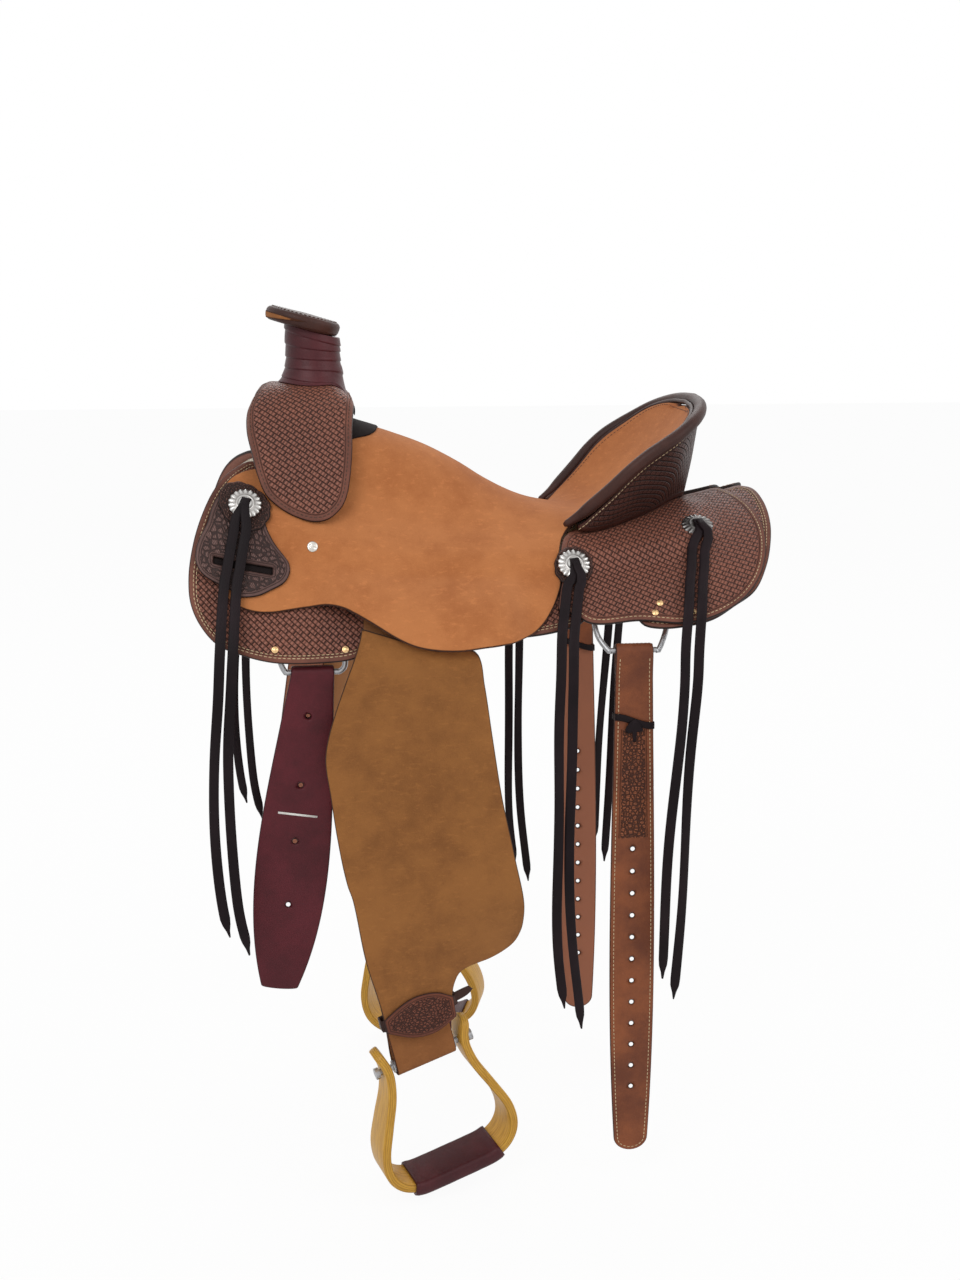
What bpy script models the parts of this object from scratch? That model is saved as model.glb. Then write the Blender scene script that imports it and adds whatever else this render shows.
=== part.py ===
"""Wade saddle, built up the way a saddle maker builds it: tree, skirts, seat, rigging and stirrups.

Metres, +Z up, -X is the horse's head, -Y the near (left) side. The origin is on the centre plane,
where the horse's back or a saddle rack carries the saddle.

Leather is cut as a flat pattern, divided so that it can bend, and laid over its form. Patterns of the
body are drawn as (along, drop): metres along the horse and metres down the leather from the spine.
Patterns of hanging leather are drawn as (across, drop), with drop counted from the swing pivot.
"""

import functools
import math

import bmesh
import bpy
import numpy as np
from mathutils import Matrix, Vector

# Overall sizes
LENGTH = 0.684                # skirts, front to rear
BACK_WIDTH = 0.424            # across the flanks under the rear of the skirts
SKIRT_DROP = 0.251            # deepest drop of the skirts down the flank
FENDER_DROP = 0.5015          # swing pivot to stirrup bolt
HORN_TOP = 0.3035             # centre of the horn cap's top
CANTLE_TOP = 0.198            # centre of the cantle roll above the origin

# The same sizes on the maker's draft, which the pattern points below are drawn to
DRAFT_LENGTH = 0.684
DRAFT_WIDTH = 0.424
DRAFT_SKIRT_DROP = 0.251
DRAFT_FENDER_DROP = 0.5015
DRAFT_CANTLE_TOP = 0.198

# Leather, wood and metal stock
GAP = 0.0003                  # clearance between pieces that lie on each other
FLEECE_THICK = 0.010
SKIRT_THICK = 0.005
BAR_THICK = 0.010
SEAT_THICK = 0.0045
COVER_THICK = 0.0038
KEEPER_THICK = 0.0035
ROSETTE_THICK = 0.0025
FENDER_THICK = 0.0045
STIRRUP_LEATHER_THICK = 0.0035
UPPER_LEATHER_THICK = 0.003
BILLET_THICK = 0.0045
LATIGO_THICK = 0.004
STRING_THICK = 0.0025
ROLL_RADIUS = 0.0075
DEE_ROD = 0.0035

# Strap sizes
STIRRUP_LEATHER_WIDTH = 0.076
LATIGO_WIDTH = 0.0430
BILLET_WIDTH = 0.042
STRING_WIDTH = 0.0115
STRAP_HOLE = 0.0025

# Stirrup and its bolt
TREAD_DEPTH = 0.051
EAR_DEPTH = 0.034
WOOD_THICK = 0.0105
TREAD_WRAP_THICK = 0.0035
TREAD_WRAP_HALF = 0.0575
BOLT_RADIUS = 0.004
ROLLER_RADIUS = 0.008

# Horn
HORN_X = -0.2005
NECK_RADIUS = 0.0335
POST_RADIUS = 0.024
CAP_RADIUS = 0.0445
CAP_THICK = 0.018
CAP_X = -0.209
CAP_TILT = math.radians(15)

# Silverware
CONCHO_RADIUS = 0.0185
CONCHO_HEIGHT = 0.0042
ROSETTE_FRONT = 0.029
ROSETTE_MID = 0.023

# Ways the hanging leather turns towards the stirrup
STIRRUP_TURN = math.radians(16.3)
STIRRUP_LEAN = math.radians(13.5)
TURN_START = 0.26
TURN_END = 0.48

NEAR = -1
OFF = 1
STEP = 0.003

LEATHER_DARK = ("dark_tooled_leather", (0.115, 0.045, 0.025, 1), 0.55, 0.0)
LEATHER_SEAT = ("roughout_leather", (0.47, 0.20, 0.065, 1), 0.9, 0.0)
LEATHER_FENDER = ("fender_leather", (0.36, 0.19, 0.07, 1), 0.9, 0.0)
LEATHER_BURGUNDY = ("burgundy_latigo", (0.13, 0.018, 0.022, 1), 0.45, 0.0)
LEATHER_RUSSET = ("russet_strap", (0.30, 0.095, 0.04, 1), 0.5, 0.0)
LEATHER_STRING = ("string_leather", (0.03, 0.017, 0.018, 1), 0.5, 0.0)
FLEECE = ("fleece", (0.72, 0.66, 0.54, 1), 1.0, 0.0)
TREE_WOOD = ("tree_wood", (0.55, 0.40, 0.24, 1), 0.7, 0.0)
BENT_WOOD = ("bent_wood", (0.62, 0.36, 0.06, 1), 0.4, 0.0)
SILVER = ("silver", (0.75, 0.74, 0.72, 1), 0.3, 1.0)
STEEL = ("steel", (0.45, 0.45, 0.46, 1), 0.35, 1.0)


def along(x):
    """Draft position along the horse, at the real length."""
    return x * LENGTH / DRAFT_LENGTH


def down(drop):
    """Draft drop down the flank, at the real drop."""
    return drop * SKIRT_DROP / DRAFT_SKIRT_DROP


def fitted(points):
    """Body pattern points at the real length and drop."""
    return [(along(x), down(drop)) for x, drop in points]


def smooth(value):
    """Ease from 0 to 1."""
    value = min(max(value, 0.0), 1.0)
    return value * value * (3 - 2 * value)


def mix(start, end, share):
    """Straight blend of two values."""
    return start + (end - start) * share


def curve_through(points, steps):
    """Points of a smooth curve through the given ones (Catmull-Rom, steps to a span)."""
    rows = [np.array(point, dtype=float) for point in points]
    ends = [2 * rows[0] - rows[1]] + rows + [2 * rows[-1] - rows[-2]]
    line = []
    for i in range(len(rows) - 1):
        a, b, c, d = ends[i:i + 4]
        for k in range(steps):
            t = k / steps
            line.append(0.5 * (2 * b + (c - a) * t + (2 * a - 5 * b + 4 * c - d) * t * t
                               + (3 * b - 3 * c + d - a) * t ** 3))
    line.append(rows[-1])
    return np.array(line)


class Track:
    """A line that can be read at any length along it."""

    def __init__(self, points):
        self.points = np.array(points, dtype=float)
        spans = np.linalg.norm(np.diff(self.points, axis=0), axis=1)
        self.lengths = np.concatenate([[0.0], np.cumsum(spans)])
        self.total = float(self.lengths[-1])

    def at(self, length):
        """Point at a length, going straight on past either end."""
        if length < 0:
            first = (self.points[1] - self.points[0]) / self.lengths[1]
            return self.points[0] + first * length
        if length > self.total:
            last = (self.points[-1] - self.points[-2]) / (self.total - self.lengths[-2])
            return self.points[-1] + last * (length - self.total)
        return np.array([np.interp(length, self.lengths, column) for column in self.points.T])


# The horse's back, as three control points (out, height) of each cross-section

BACK_X = (-0.33, 0.08, 0.33)
SPINE = ((0.050, 0.150), (0.0189, 0.045), (0.0, 0.080))
SHOULDER = ((0.135, 0.095), (0.1226, 0.032), (0.115, 0.058))
FLANK = ((0.200, -0.085), (0.2075, -0.080), (0.212, -0.060))


def through_three(x, values):
    """Value at x of the parabola through three stations of the back."""
    a, b, c = (along(station) for station in BACK_X)
    front = (x - b) * (x - c) / ((a - b) * (a - c))
    middle = (x - a) * (x - c) / ((b - a) * (b - c))
    rear = (x - a) * (x - b) / ((c - a) * (c - b))
    return values[0] * front + values[1] * middle + values[2] * rear


@functools.lru_cache(maxsize=None)
def back_track(x):
    """Cross-section of the back at x, from the spine down."""
    widen = BACK_WIDTH / DRAFT_WIDTH
    points = []
    for control in (SPINE, SHOULDER, FLANK):
        out = through_three(x, [row[0] for row in control]) * widen
        points.append(np.array((out, through_three(x, [row[1] for row in control]))))
    line = []
    for k in range(49):
        t = k / 48
        line.append((1 - t) ** 2 * points[0] + 2 * t * (1 - t) * points[1] + t * t * points[2])
    return Track(line)


def back_point(x, drop):
    """Near-side point on the horse's back."""
    out, height = back_track(round(x, 6)).at(drop)
    return np.array((x, -out, height))


def normal_of(surface, u, v):
    """Outward unit normal of a near-side surface given as a function of two lengths."""
    over = surface(u + STEP, v) - surface(u - STEP, v)
    fall = surface(u, v + STEP) - surface(u, v - STEP)
    normal = np.cross(fall, over)
    return normal / np.linalg.norm(normal)


def drape(x, drop, lift):
    """Near-side point at a height above the horse's back."""
    return back_point(x, drop) + normal_of(back_point, x, drop) * lift


# Layers on the back, as heights above it

FLEECE_UNDER = 0.0005
FLEECE_OVER = FLEECE_UNDER + FLEECE_THICK
SKIRT_UNDER = FLEECE_OVER + GAP
SKIRT_OVER = SKIRT_UNDER + SKIRT_THICK
BAR_UNDER = SKIRT_OVER + GAP

BAR_FRONT, BAR_REAR = -0.255, 0.262
BAR_TOP, BAR_LOW = 0.024, 0.116
BAR_CORNER = 0.03
BAR_EASE_IN, BAR_EASE_OUT = 0.014, 0.022


def bar_rise(x, drop):
    """Height that a tree bar adds under the leather that lies on it."""
    middle_x, middle_drop = along((BAR_FRONT + BAR_REAR) / 2), down((BAR_TOP + BAR_LOW) / 2)
    half_x, half_drop = along((BAR_REAR - BAR_FRONT) / 2), down((BAR_LOW - BAR_TOP) / 2)
    over_x = abs(x - middle_x) - half_x + BAR_CORNER
    over_drop = abs(drop - middle_drop) - half_drop + BAR_CORNER
    inside = min(max(over_x, over_drop), 0.0)
    distance = math.hypot(max(over_x, 0.0), max(over_drop, 0.0)) + inside - BAR_CORNER
    return BAR_THICK * smooth((BAR_EASE_OUT - distance) / (BAR_EASE_OUT + BAR_EASE_IN))


FENDER_ROOM = 0.0200          # how far the jockey stands off over the fender's head
FENDER_ROOM_X = (-0.215, -0.172, 0.000, 0.045)
FENDER_ROOM_DROP = (0.100, 0.200)


def fender_rise(x, drop):
    """Height that the fender and stirrup leather add under the seat jockey."""
    a, b, c, d = (along(value) for value in FENDER_ROOM_X)
    top, low = (down(value) for value in FENDER_ROOM_DROP)
    sides = smooth((x - a) / (b - a)) * smooth((d - x) / (d - c))
    return FENDER_ROOM * sides * smooth((drop - top) / (low - top))


def jockey_under(x, drop):
    """Height of the underside of the leather on the bars."""
    return BAR_UNDER + bar_rise(x, drop) + GAP


def seat_jockey_under(x, drop):
    """Height of the underside of the seat's jockeys."""
    return jockey_under(x, drop) + fender_rise(x, drop)


# Making meshes

def new_object(name, mesh, collection):
    """Object with a mesh, in a collection."""
    item = bpy.data.objects.new(name, mesh)
    bpy.data.collections[collection].objects.link(item)
    return item


def finish_material(item, finish):
    """Give a piece its own Principled material."""
    label, colour, roughness, metallic = finish
    material = bpy.data.materials.new(item.name + "_" + label)
    material.use_nodes = True
    shader = material.node_tree.nodes["Principled BSDF"]
    shader.inputs["Base Color"].default_value = colour
    shader.inputs["Roughness"].default_value = roughness
    shader.inputs["Metallic"].default_value = metallic
    item.data.materials.clear()
    item.data.materials.append(material)


def mesh_from_bmesh(bm, name):
    """Closed mesh, faces out and flat faces left whole."""
    bmesh.ops.remove_doubles(bm, verts=bm.verts[:], dist=1e-6)
    bmesh.ops.recalc_face_normals(bm, faces=bm.faces[:])
    if bm.calc_volume(signed=True) < 0:
        bmesh.ops.reverse_faces(bm, faces=bm.faces[:])
    mesh = bpy.data.meshes.new(name)
    bm.to_mesh(mesh)
    bm.free()
    return mesh


def place_piece(name, bm, finish):
    """Finished piece from a bmesh."""
    item = new_object(name, mesh_from_bmesh(bm, name), "wade_saddle")
    item.data.shade_smooth()
    item.data.set_sharp_from_angle(angle=math.radians(40))
    if finish:
        finish_material(item, finish)
    return item


class Lattice:
    """Fold lines that every layer of one form shares, so that neighbours keep their clearance.

    The pattern is mirrored at v = 0. Each cell folds along its diagonal, and a form is flat between folds.
    """

    def __init__(self, u_lines, v_lines):
        self.u_lines = [float(line) for line in u_lines]
        self.v_lines = [float(line) for line in v_lines]

    def cell(self, u, v):
        """Indices of the cell that holds a point."""
        i = int(np.searchsorted(self.u_lines, u, side="right")) - 1
        j = int(np.searchsorted(self.v_lines, abs(v), side="right")) - 1
        return min(max(i, 0), len(self.u_lines) - 2), min(max(j, 0), len(self.v_lines) - 2)

    def folded(self, form):
        """The form made flat between the fold lines."""
        known = {}

        def corner(i, j, side):
            if (i, j, side) not in known:
                known[i, j, side] = np.array(form(self.u_lines[i], self.v_lines[j], side), dtype=float)
            return known[i, j, side]

        def flat(u, v, side):
            i, j = self.cell(u, v)
            s = (u - self.u_lines[i]) / (self.u_lines[i + 1] - self.u_lines[i])
            t = (abs(v) - self.v_lines[j]) / (self.v_lines[j + 1] - self.v_lines[j])
            low, high = corner(i, j, side), corner(i + 1, j + 1, side)
            if s >= t:
                point = low * (1 - s) + corner(i + 1, j, side) * (s - t) + high * t
            else:
                point = low * (1 - t) + corner(i, j + 1, side) * (t - s) + high * s
            return point * np.array((1.0, -1.0, 1.0)) if v < 0 else point
        return flat

    def place_in_cell(self, point):
        """Cell of a pattern point and its two shares across that cell."""
        i, j = self.cell(point.x, point.y)
        s = (point.x - self.u_lines[i]) / (self.u_lines[i + 1] - self.u_lines[i])
        t = (abs(point.y) - self.v_lines[j]) / (self.v_lines[j + 1] - self.v_lines[j])
        return i, j, s, t

    def clear_of_folds(self, outline):
        """Outline with its corners moved a hair off the fold lines."""
        hair = 2e-5
        rows = []
        for u, v in outline:
            if any(abs(u - line) < hair for line in self.u_lines):
                u += hair
            if v != 0 and any(abs(abs(v) - line) < hair for line in self.v_lines):
                v += hair if v > 0 else -hair
            rows.append((u, v))
        return rows

    def lies_flat(self, face):
        """Whether a face of the pattern reaches over no fold."""
        middle = face.calc_center_median()
        i, j, s, t = self.place_in_cell(middle)
        upper, side, near = s >= t, (-1 if middle.y < 0 else 1), 2e-4
        for vert in face.verts:
            u = (vert.co.x - self.u_lines[i]) / (self.u_lines[i + 1] - self.u_lines[i])
            v = (vert.co.y * side - self.v_lines[j]) / (self.v_lines[j + 1] - self.v_lines[j])
            if min(u, v) < -near or max(u, v) > 1 + near or (u - v if upper else v - u) < -near:
                return False
        return True

    def divide(self, bm, faces):
        """Cut faces of the pattern along the fold lines and diagonals that cross them."""
        lines = [(Vector((1, 0, 0)), line) for line in self.u_lines]
        lines += [(Vector((0, 1, 0)), line) for line in self.v_lines]
        lines += [(Vector((0, 1, 0)), -line) for line in self.v_lines if line > 0]
        faces = set(faces)
        for across, line in lines:
            places = {face: [vert.co.dot(across) - line for vert in face.verts] for face in faces}
            crossed = [face for face, spots in places.items() if min(spots) < -1e-7 and max(spots) > 1e-7]
            faces |= self.split(bm, crossed, across * line, across)
        for face in list(faces):
            middle = face.calc_center_median()
            i, j = self.cell(middle.x, middle.y)
            side = -1 if middle.y < 0 else 1
            start = Vector((self.u_lines[i], side * self.v_lines[j], 0))
            fold = Vector((self.u_lines[i + 1], side * self.v_lines[j + 1], 0)) - start
            self.split(bm, [face], start, Vector((fold.y, -fold.x, 0)).normalized())

    @staticmethod
    def split(bm, faces, point, across):
        """Cut faces along one straight line and give back what they became."""
        if not faces:
            return set()
        verts = {vert for face in faces for vert in face.verts}
        edges = {edge for face in faces for edge in face.edges}
        done = bmesh.ops.bisect_plane(bm, geom=[*verts, *edges, *faces], dist=1e-6, plane_co=point,
                                      plane_no=across)
        return {item for item in done["geom"] if isinstance(item, bmesh.types.BMFace)}

    def cut(self, outline):
        """Flat pattern divided along the fold lines and diagonals."""
        bm = flat_pattern(self.clear_of_folds(outline), [], [])
        self.divide(bm, bm.faces[:])
        missed = [face for face in bm.faces if not self.lies_flat(face)]
        if missed:
            done = bmesh.ops.triangulate(bm, faces=missed, ngon_method="EAR_CLIP")
            self.divide(bm, done["faces"])
        return bm

    def sheet(self, outline, form):
        """Cut a pattern and bend it over a form."""
        return thickened(self.cut(outline), self.folded(form))


def flat_pattern(outline, cuts_u, cuts_v):
    """Flat pattern with a face, divided along the given lines."""
    bm = bmesh.new()
    corners = [bm.verts.new((u, v, 0)) for u, v in outline]
    bm.faces.new(corners)
    for axis, cuts in ((0, cuts_u), (1, cuts_v)):
        across = Vector((1, 0, 0)) if axis == 0 else Vector((0, 1, 0))
        for cut in cuts:
            everything = bm.verts[:] + bm.edges[:] + bm.faces[:]
            bmesh.ops.bisect_plane(bm, geom=everything, dist=1e-6, plane_co=across * cut, plane_no=across)
    return bm


def thickened(bm, form):
    """Give a flat pattern two faces and bend it: form(u, v, side) has side 0 inside and 1 outside."""
    grown = bmesh.ops.extrude_face_region(bm, geom=bm.faces[:], use_keep_orig=True)
    for item in grown["geom"]:
        if isinstance(item, bmesh.types.BMVert):
            item.co.z = 1.0
    for vert in bm.verts:
        vert.co = Vector(form(vert.co.x, vert.co.y, round(vert.co.z)))
    return bm


def bent_sheet(outline, cuts_u, cuts_v, form):
    """Cut a pattern along the given lines and bend it."""
    bm = thickened(flat_pattern(outline, cuts_u, cuts_v), form)
    bmesh.ops.triangulate(bm, faces=[face for face in bm.faces if len(face.verts) > 4])
    return bm


def laid_on(under, thick):
    """Form of a sheet of even thickness whose underside is at a height above the back."""
    def surface(x, drop):
        return drape(x, drop, under(x, drop))

    def form(x, drop, side):
        return surface(x, drop) + normal_of(surface, x, drop) * thick * side
    return form


UPPER_FOLDS = Lattice([along(x) for x in (-0.172, -0.1075, -0.043)],
                      [down(v) for v in (0.105, 0.135, 0.165, 0.180, 0.195, 0.2075, 0.225, 0.260)])
FOLD_X = (-0.344, -0.301, -0.258, -0.215, -0.172, -0.1075, -0.043, 0.0, 0.043, 0.086, 0.140, 0.195, 0.250,
          0.300, 0.344)
FOLD_DROP = (0.0, 0.0375, 0.075, 0.105, 0.135, 0.165, 0.195, 0.225, 0.255, 0.285)
BACK_FOLDS = Lattice([along(x) for x in FOLD_X], [down(drop) for drop in FOLD_DROP])


def back_spot(x, drop, under):
    """Point of the folded layer whose height above the back is under(x, drop)."""
    return Vector(folded_layer(under)(x, drop, 0))


@functools.lru_cache(maxsize=None)
def folded_layer(under):
    """Folded form of a layer on the back."""
    return BACK_FOLDS.folded(lambda x, drop, side: drape(x, drop, under(x, drop)))


def grid(start, end, step):
    """Cut lines inside a range, about a step apart."""
    count = max(1, round((end - start) / step))
    return [start + (end - start) * k / count for k in range(1, count)]


def mirrored(bm):
    """Copy of a near-side bmesh for the off side."""
    twin = bm.copy()
    for vert in twin.verts:
        vert.co.y = -vert.co.y
    bmesh.ops.reverse_faces(twin, faces=twin.faces[:])
    return twin


def both_sides(name, make, finish):
    """The near piece and its off-side twin."""
    near = make()
    twin = mirrored(near)
    return place_piece("near_" + name, near, finish), place_piece("off_" + name, twin, finish)


def boolean(item, other, operation):
    """Join or cut a piece with another object, which is used up."""
    step = item.modifiers.new("join", "BOOLEAN")
    step.operation = operation
    step.object = other
    step.solver = "EXACT"
    bake(item)
    bpy.data.objects.remove(other)


def bake(item):
    """Turn an object's modifiers into plain mesh."""
    bpy.context.view_layer.update()
    graph = bpy.context.evaluated_depsgraph_get()
    mesh = bpy.data.meshes.new_from_object(item.evaluated_get(graph))
    item.modifiers.clear()
    item.data = mesh


def cutter(name, bm):
    """Tool object that cuts a piece."""
    item = new_object(name, mesh_from_bmesh(bm, name), "cutters")
    item.hide_render = True
    item.display_type = "WIRE"
    return item


def frame_matrix(origin, side, normal):
    """Placement with X along the piece's side and Z along its outward normal."""
    z_axis = Vector(normal).normalized()
    y_axis = z_axis.cross(Vector(side)).normalized()
    x_axis = y_axis.cross(z_axis)
    turn = Matrix((x_axis, y_axis, z_axis)).transposed().to_4x4()
    return Matrix.Translation(Vector(origin)) @ turn


def turned(profile, segments, matrix):
    """Solid turned from a profile of (radius, height) that starts and ends on the axis or closes."""
    bm = bmesh.new()
    closed = profile[0] == profile[-1]
    points = profile[:-1] if closed else profile
    rings = []
    for radius, height in points:
        if radius < 1e-9:
            rings.append([bm.verts.new((0, 0, height))])
            continue
        ring = []
        for k in range(segments):
            angle = 2 * math.pi * k / segments
            ring.append(bm.verts.new((radius * math.cos(angle), radius * math.sin(angle), height)))
        rings.append(ring)
    pairs = list(zip(rings, rings[1:])) + ([(rings[-1], rings[0])] if closed else [])
    for low, high in pairs:
        for k in range(segments):
            turn = (k + 1) % segments
            corners = [low[k % len(low)], low[turn % len(low)], high[turn % len(high)], high[k % len(high)]]
            bm.faces.new(list(dict.fromkeys(corners)))
    bmesh.ops.transform(bm, matrix=matrix, verts=bm.verts[:])
    return bm


def lofted(rings, closed=False):
    """Solid skinned over rings of points, capped at both ends unless it closes on itself."""
    bm = bmesh.new()
    rows = [[bm.verts.new(Vector(point)) for point in ring] for ring in rings]
    count = len(rows[0])
    pairs = list(zip(rows, rows[1:])) + ([(rows[-1], rows[0])] if closed else [])
    for low, high in pairs:
        for k in range(count):
            turn = (k + 1) % count
            bm.faces.new((low[k], low[turn], high[turn], high[k]))
    if not closed:
        bm.faces.new(rows[0][::-1])
        bm.faces.new(rows[-1])
    return bm


def rod(points, radius, sides):
    """Closed ring of round rod along a loop of points."""
    loop = [np.array(point, dtype=float) for point in points]
    rings = []
    for i, point in enumerate(loop):
        ahead = loop[(i + 1) % len(loop)] - loop[i - 1]
        ahead = Vector(ahead).normalized()
        middle = Vector(sum(loop) / len(loop))
        outward = (Vector(point) - middle)
        outward = (outward - ahead * outward.dot(ahead)).normalized()
        third = ahead.cross(outward)
        ring = []
        for k in range(sides):
            angle = 2 * math.pi * k / sides
            ring.append(Vector(point) + (outward * math.cos(angle) + third * math.sin(angle)) * radius)
        rings.append(ring)
    return lofted(rings, closed=True)


# Skirts, fleece and tree bars

SKIRT_EDGE = (
    (-0.262, 0.004), (-0.280, 0.007), (-0.298, 0.028), (-0.317, 0.062), (-0.331, 0.102), (-0.341, 0.145),
    (-0.345, 0.187), (-0.342, 0.213), (-0.332, 0.232), (-0.314, 0.247), (-0.288, 0.251), (-0.255, 0.251),
    (-0.234, 0.248), (-0.200, 0.241), (-0.167, 0.233), (-0.140, 0.221), (-0.100, 0.212), (-0.050, 0.206),
    (0.020, 0.204), (0.070, 0.200), (0.096, 0.193), (0.104, 0.186), (0.136, 0.184), (0.158, 0.194),
    (0.168, 0.207), (0.185, 0.214), (0.219, 0.218), (0.249, 0.216), (0.274, 0.206), (0.301, 0.193),
    (0.321, 0.164), (0.334, 0.130), (0.341, 0.099), (0.343, 0.055), (0.338, 0.022), (0.325, 0.004),
)
FLEECE_EDGE = (
    (-0.262, 0.010), (-0.278, 0.013), (-0.292, 0.033), (-0.309, 0.066), (-0.322, 0.104), (-0.331, 0.146),
    (-0.334, 0.186), (-0.331, 0.208), (-0.322, 0.223), (-0.309, 0.234), (-0.288, 0.238), (-0.272, 0.236),
    (-0.266, 0.190), (-0.160, 0.186), (-0.152, 0.212), (-0.135, 0.208), (-0.050, 0.196),
    (0.020, 0.194), (0.070, 0.190), (0.086, 0.184), (0.094, 0.142), (0.210, 0.142), (0.214, 0.200),
    (0.219, 0.206), (0.247, 0.204), (0.270, 0.195), (0.293, 0.182), (0.311, 0.158), (0.323, 0.127),
    (0.330, 0.098), (0.332, 0.056), (0.328, 0.026), (0.318, 0.010),
)


def skirt_under(x, drop):
    """Height of the underside of the skirts."""
    return SKIRT_UNDER


def make_skirt():
    """Skirt leather of one side."""
    return BACK_FOLDS.sheet(fitted(SKIRT_EDGE), laid_on(skirt_under, SKIRT_THICK))


def make_fleece():
    """Woolskin lining under one skirt, left out round the rigging dees."""
    return BACK_FOLDS.sheet(fitted(FLEECE_EDGE), laid_on(lambda x, drop: FLEECE_UNDER, FLEECE_THICK))


def rounded_box(low_u, high_u, low_v, high_v, radius, steps):
    """Outline of a box with round corners."""
    outline = []
    centres = ((high_u - radius, high_v - radius, 0), (low_u + radius, high_v - radius, 1),
               (low_u + radius, low_v + radius, 2), (high_u - radius, low_v + radius, 3))
    for centre_u, centre_v, quarter in centres:
        for k in range(steps + 1):
            angle = math.pi / 2 * (quarter + k / steps)
            outline.append((centre_u + radius * math.cos(angle), centre_v + radius * math.sin(angle)))
    return outline


def make_bar():
    """Wooden bar of the tree on one side, shaped to the back and thinned to its edges."""
    low_x, high_x = along(BAR_FRONT), along(BAR_REAR)
    top, low = down(BAR_TOP), down(BAR_LOW)
    outline = rounded_box(low_x, high_x, top, low, BAR_CORNER, 4)

    def form(x, drop, side):
        return drape(x, drop, BAR_UNDER + bar_rise(x, drop) * side)
    return BACK_FOLDS.sheet(outline, form)


# Rear jockeys, with the edge that the cantle's back stands on

REAR_JOCKEY_EDGE = (
    (0.252, 0.003), (0.297, 0.003), (0.307, 0.019), (0.324, 0.066), (0.329, 0.110), (0.324, 0.145),
    (0.309, 0.179), (0.286, 0.202), (0.257, 0.214), (0.219, 0.217), (0.162, 0.203), (0.105, 0.197),
    (0.088, 0.184), (0.070, 0.176), (0.0750, 0.152), (0.0779, 0.141), (0.0779, 0.121), (0.0809, 0.099),
    (0.0869, 0.0825), (0.098, 0.070), (0.122, 0.070), (0.140, 0.067), (0.160, 0.060), (0.196, 0.046),
    (0.226, 0.030), (0.243, 0.014),
)


def make_rear_jockey():
    """Tooled leather behind the cantle on one side."""
    return BACK_FOLDS.sheet(fitted(REAR_JOCKEY_EDGE), laid_on(jockey_under, SEAT_THICK))


# Cantle roll, as (x, out, height); half of it, from the near corner to the top

RIM = (
    (0.0880, 0.1060, 0.0605), (0.0980, 0.1085, 0.0672), (0.1080, 0.1120, 0.0745),
    (0.1220, 0.1185, 0.0880), (0.1400, 0.1275, 0.1060),
    (0.1600, 0.1355, 0.1270), (0.1800, 0.1385, 0.1440), (0.2000, 0.1370, 0.1570), (0.2180, 0.1310, 0.1680),
    (0.2360, 0.1160, 0.1800), (0.2500, 0.0900, 0.1890), (0.2600, 0.0500, 0.1955), (0.2640, 0.0000, 0.1980),
)
RIM_BASE_HEIGHT = 0.0605


def rim_height(height):
    """Draft height of the cantle roll, at the real cantle height."""
    share = (height - RIM_BASE_HEIGHT) / (DRAFT_CANTLE_TOP - RIM_BASE_HEIGHT)
    return RIM_BASE_HEIGHT + share * (CANTLE_TOP - RIM_BASE_HEIGHT)


def rim_track():
    """Centreline of the cantle roll, from the near corner to the top centre."""
    widen = BACK_WIDTH / DRAFT_WIDTH
    points = [(along(x), -out * widen, rim_height(height)) for x, out, height in RIM]
    return Track(curve_through(points, 4))


def inner_rim():
    """Edge of the seat leather inside the roll: its x, half width and height, as columns."""
    line = rim_track().points
    inset = ROLL_RADIUS + 6 * GAP
    rows = []
    for i in range(len(line)):
        ahead = line[min(i + 1, len(line) - 1)] - line[max(i - 1, 0)]
        if i == len(line) - 1:
            ahead = np.array((0.0, 1.0, 0.0))
        toward = np.array((ahead[1], -ahead[0], 0.0))
        toward = toward / np.linalg.norm(toward)
        if toward[1] < 0 or (i == len(line) - 1 and toward[0] > 0):
            toward = -toward
        moved = line[i] + toward * inset
        rows.append((moved[0], -moved[1], moved[2]))
    return np.array(rows)


INNER_RIM = inner_rim()


# Seat

RIDGE = (
    (-0.1500, 0.1745), (-0.1100, 0.1620), (-0.0700, 0.1470), (-0.0300, 0.1260), (0.0000, 0.1070),
    (0.0300, 0.0910), (0.0600, 0.0790), (0.0900, 0.0720), (0.1200, 0.0700), (0.1450, 0.0765),
    (0.1700, 0.0920), (0.2000, 0.1210), (0.2250, 0.1510), (0.2450, 0.1772), (0.2570, 0.1922),
)
SEAT_EDGE = (
    (-0.150, 0.000), (-0.153, 0.030), (-0.158, 0.052), (-0.176, 0.066), (-0.210, 0.070), (-0.246, 0.063),
    (-0.262, 0.040), (-0.264, 0.018), (-0.280, 0.026), (-0.302, 0.048), (-0.314, 0.075), (-0.321, 0.116),
    (-0.320, 0.161), (-0.308, 0.188), (-0.292, 0.198), (-0.274, 0.200), (-0.253, 0.196), (-0.234, 0.189),
    (-0.210, 0.181), (-0.193, 0.179), (-0.173, 0.184), (-0.144, 0.197), (-0.112, 0.214), (-0.094, 0.221),
    (-0.071, 0.225), (-0.043, 0.226), (-0.021, 0.224), (0.010, 0.220), (0.029, 0.209), (0.049, 0.195),
    (0.063, 0.176), (0.074, 0.152), (0.077, 0.141), (0.077, 0.121), (0.080, 0.099), (0.086, 0.083),
    (0.096, 0.075),
)
SEAT_HALF = 0.075             # pattern width from the ridge to the bar or to the cantle roll
DISH_START, DISH_END = 0.075, 0.115
DISH_RIM = 0.084              # the dish alone gives the seat's edge behind here
DISH_BULGE = 0.0034
FRONT_FLAT = -0.220           # the front jockeys lie on the bars before here


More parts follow.
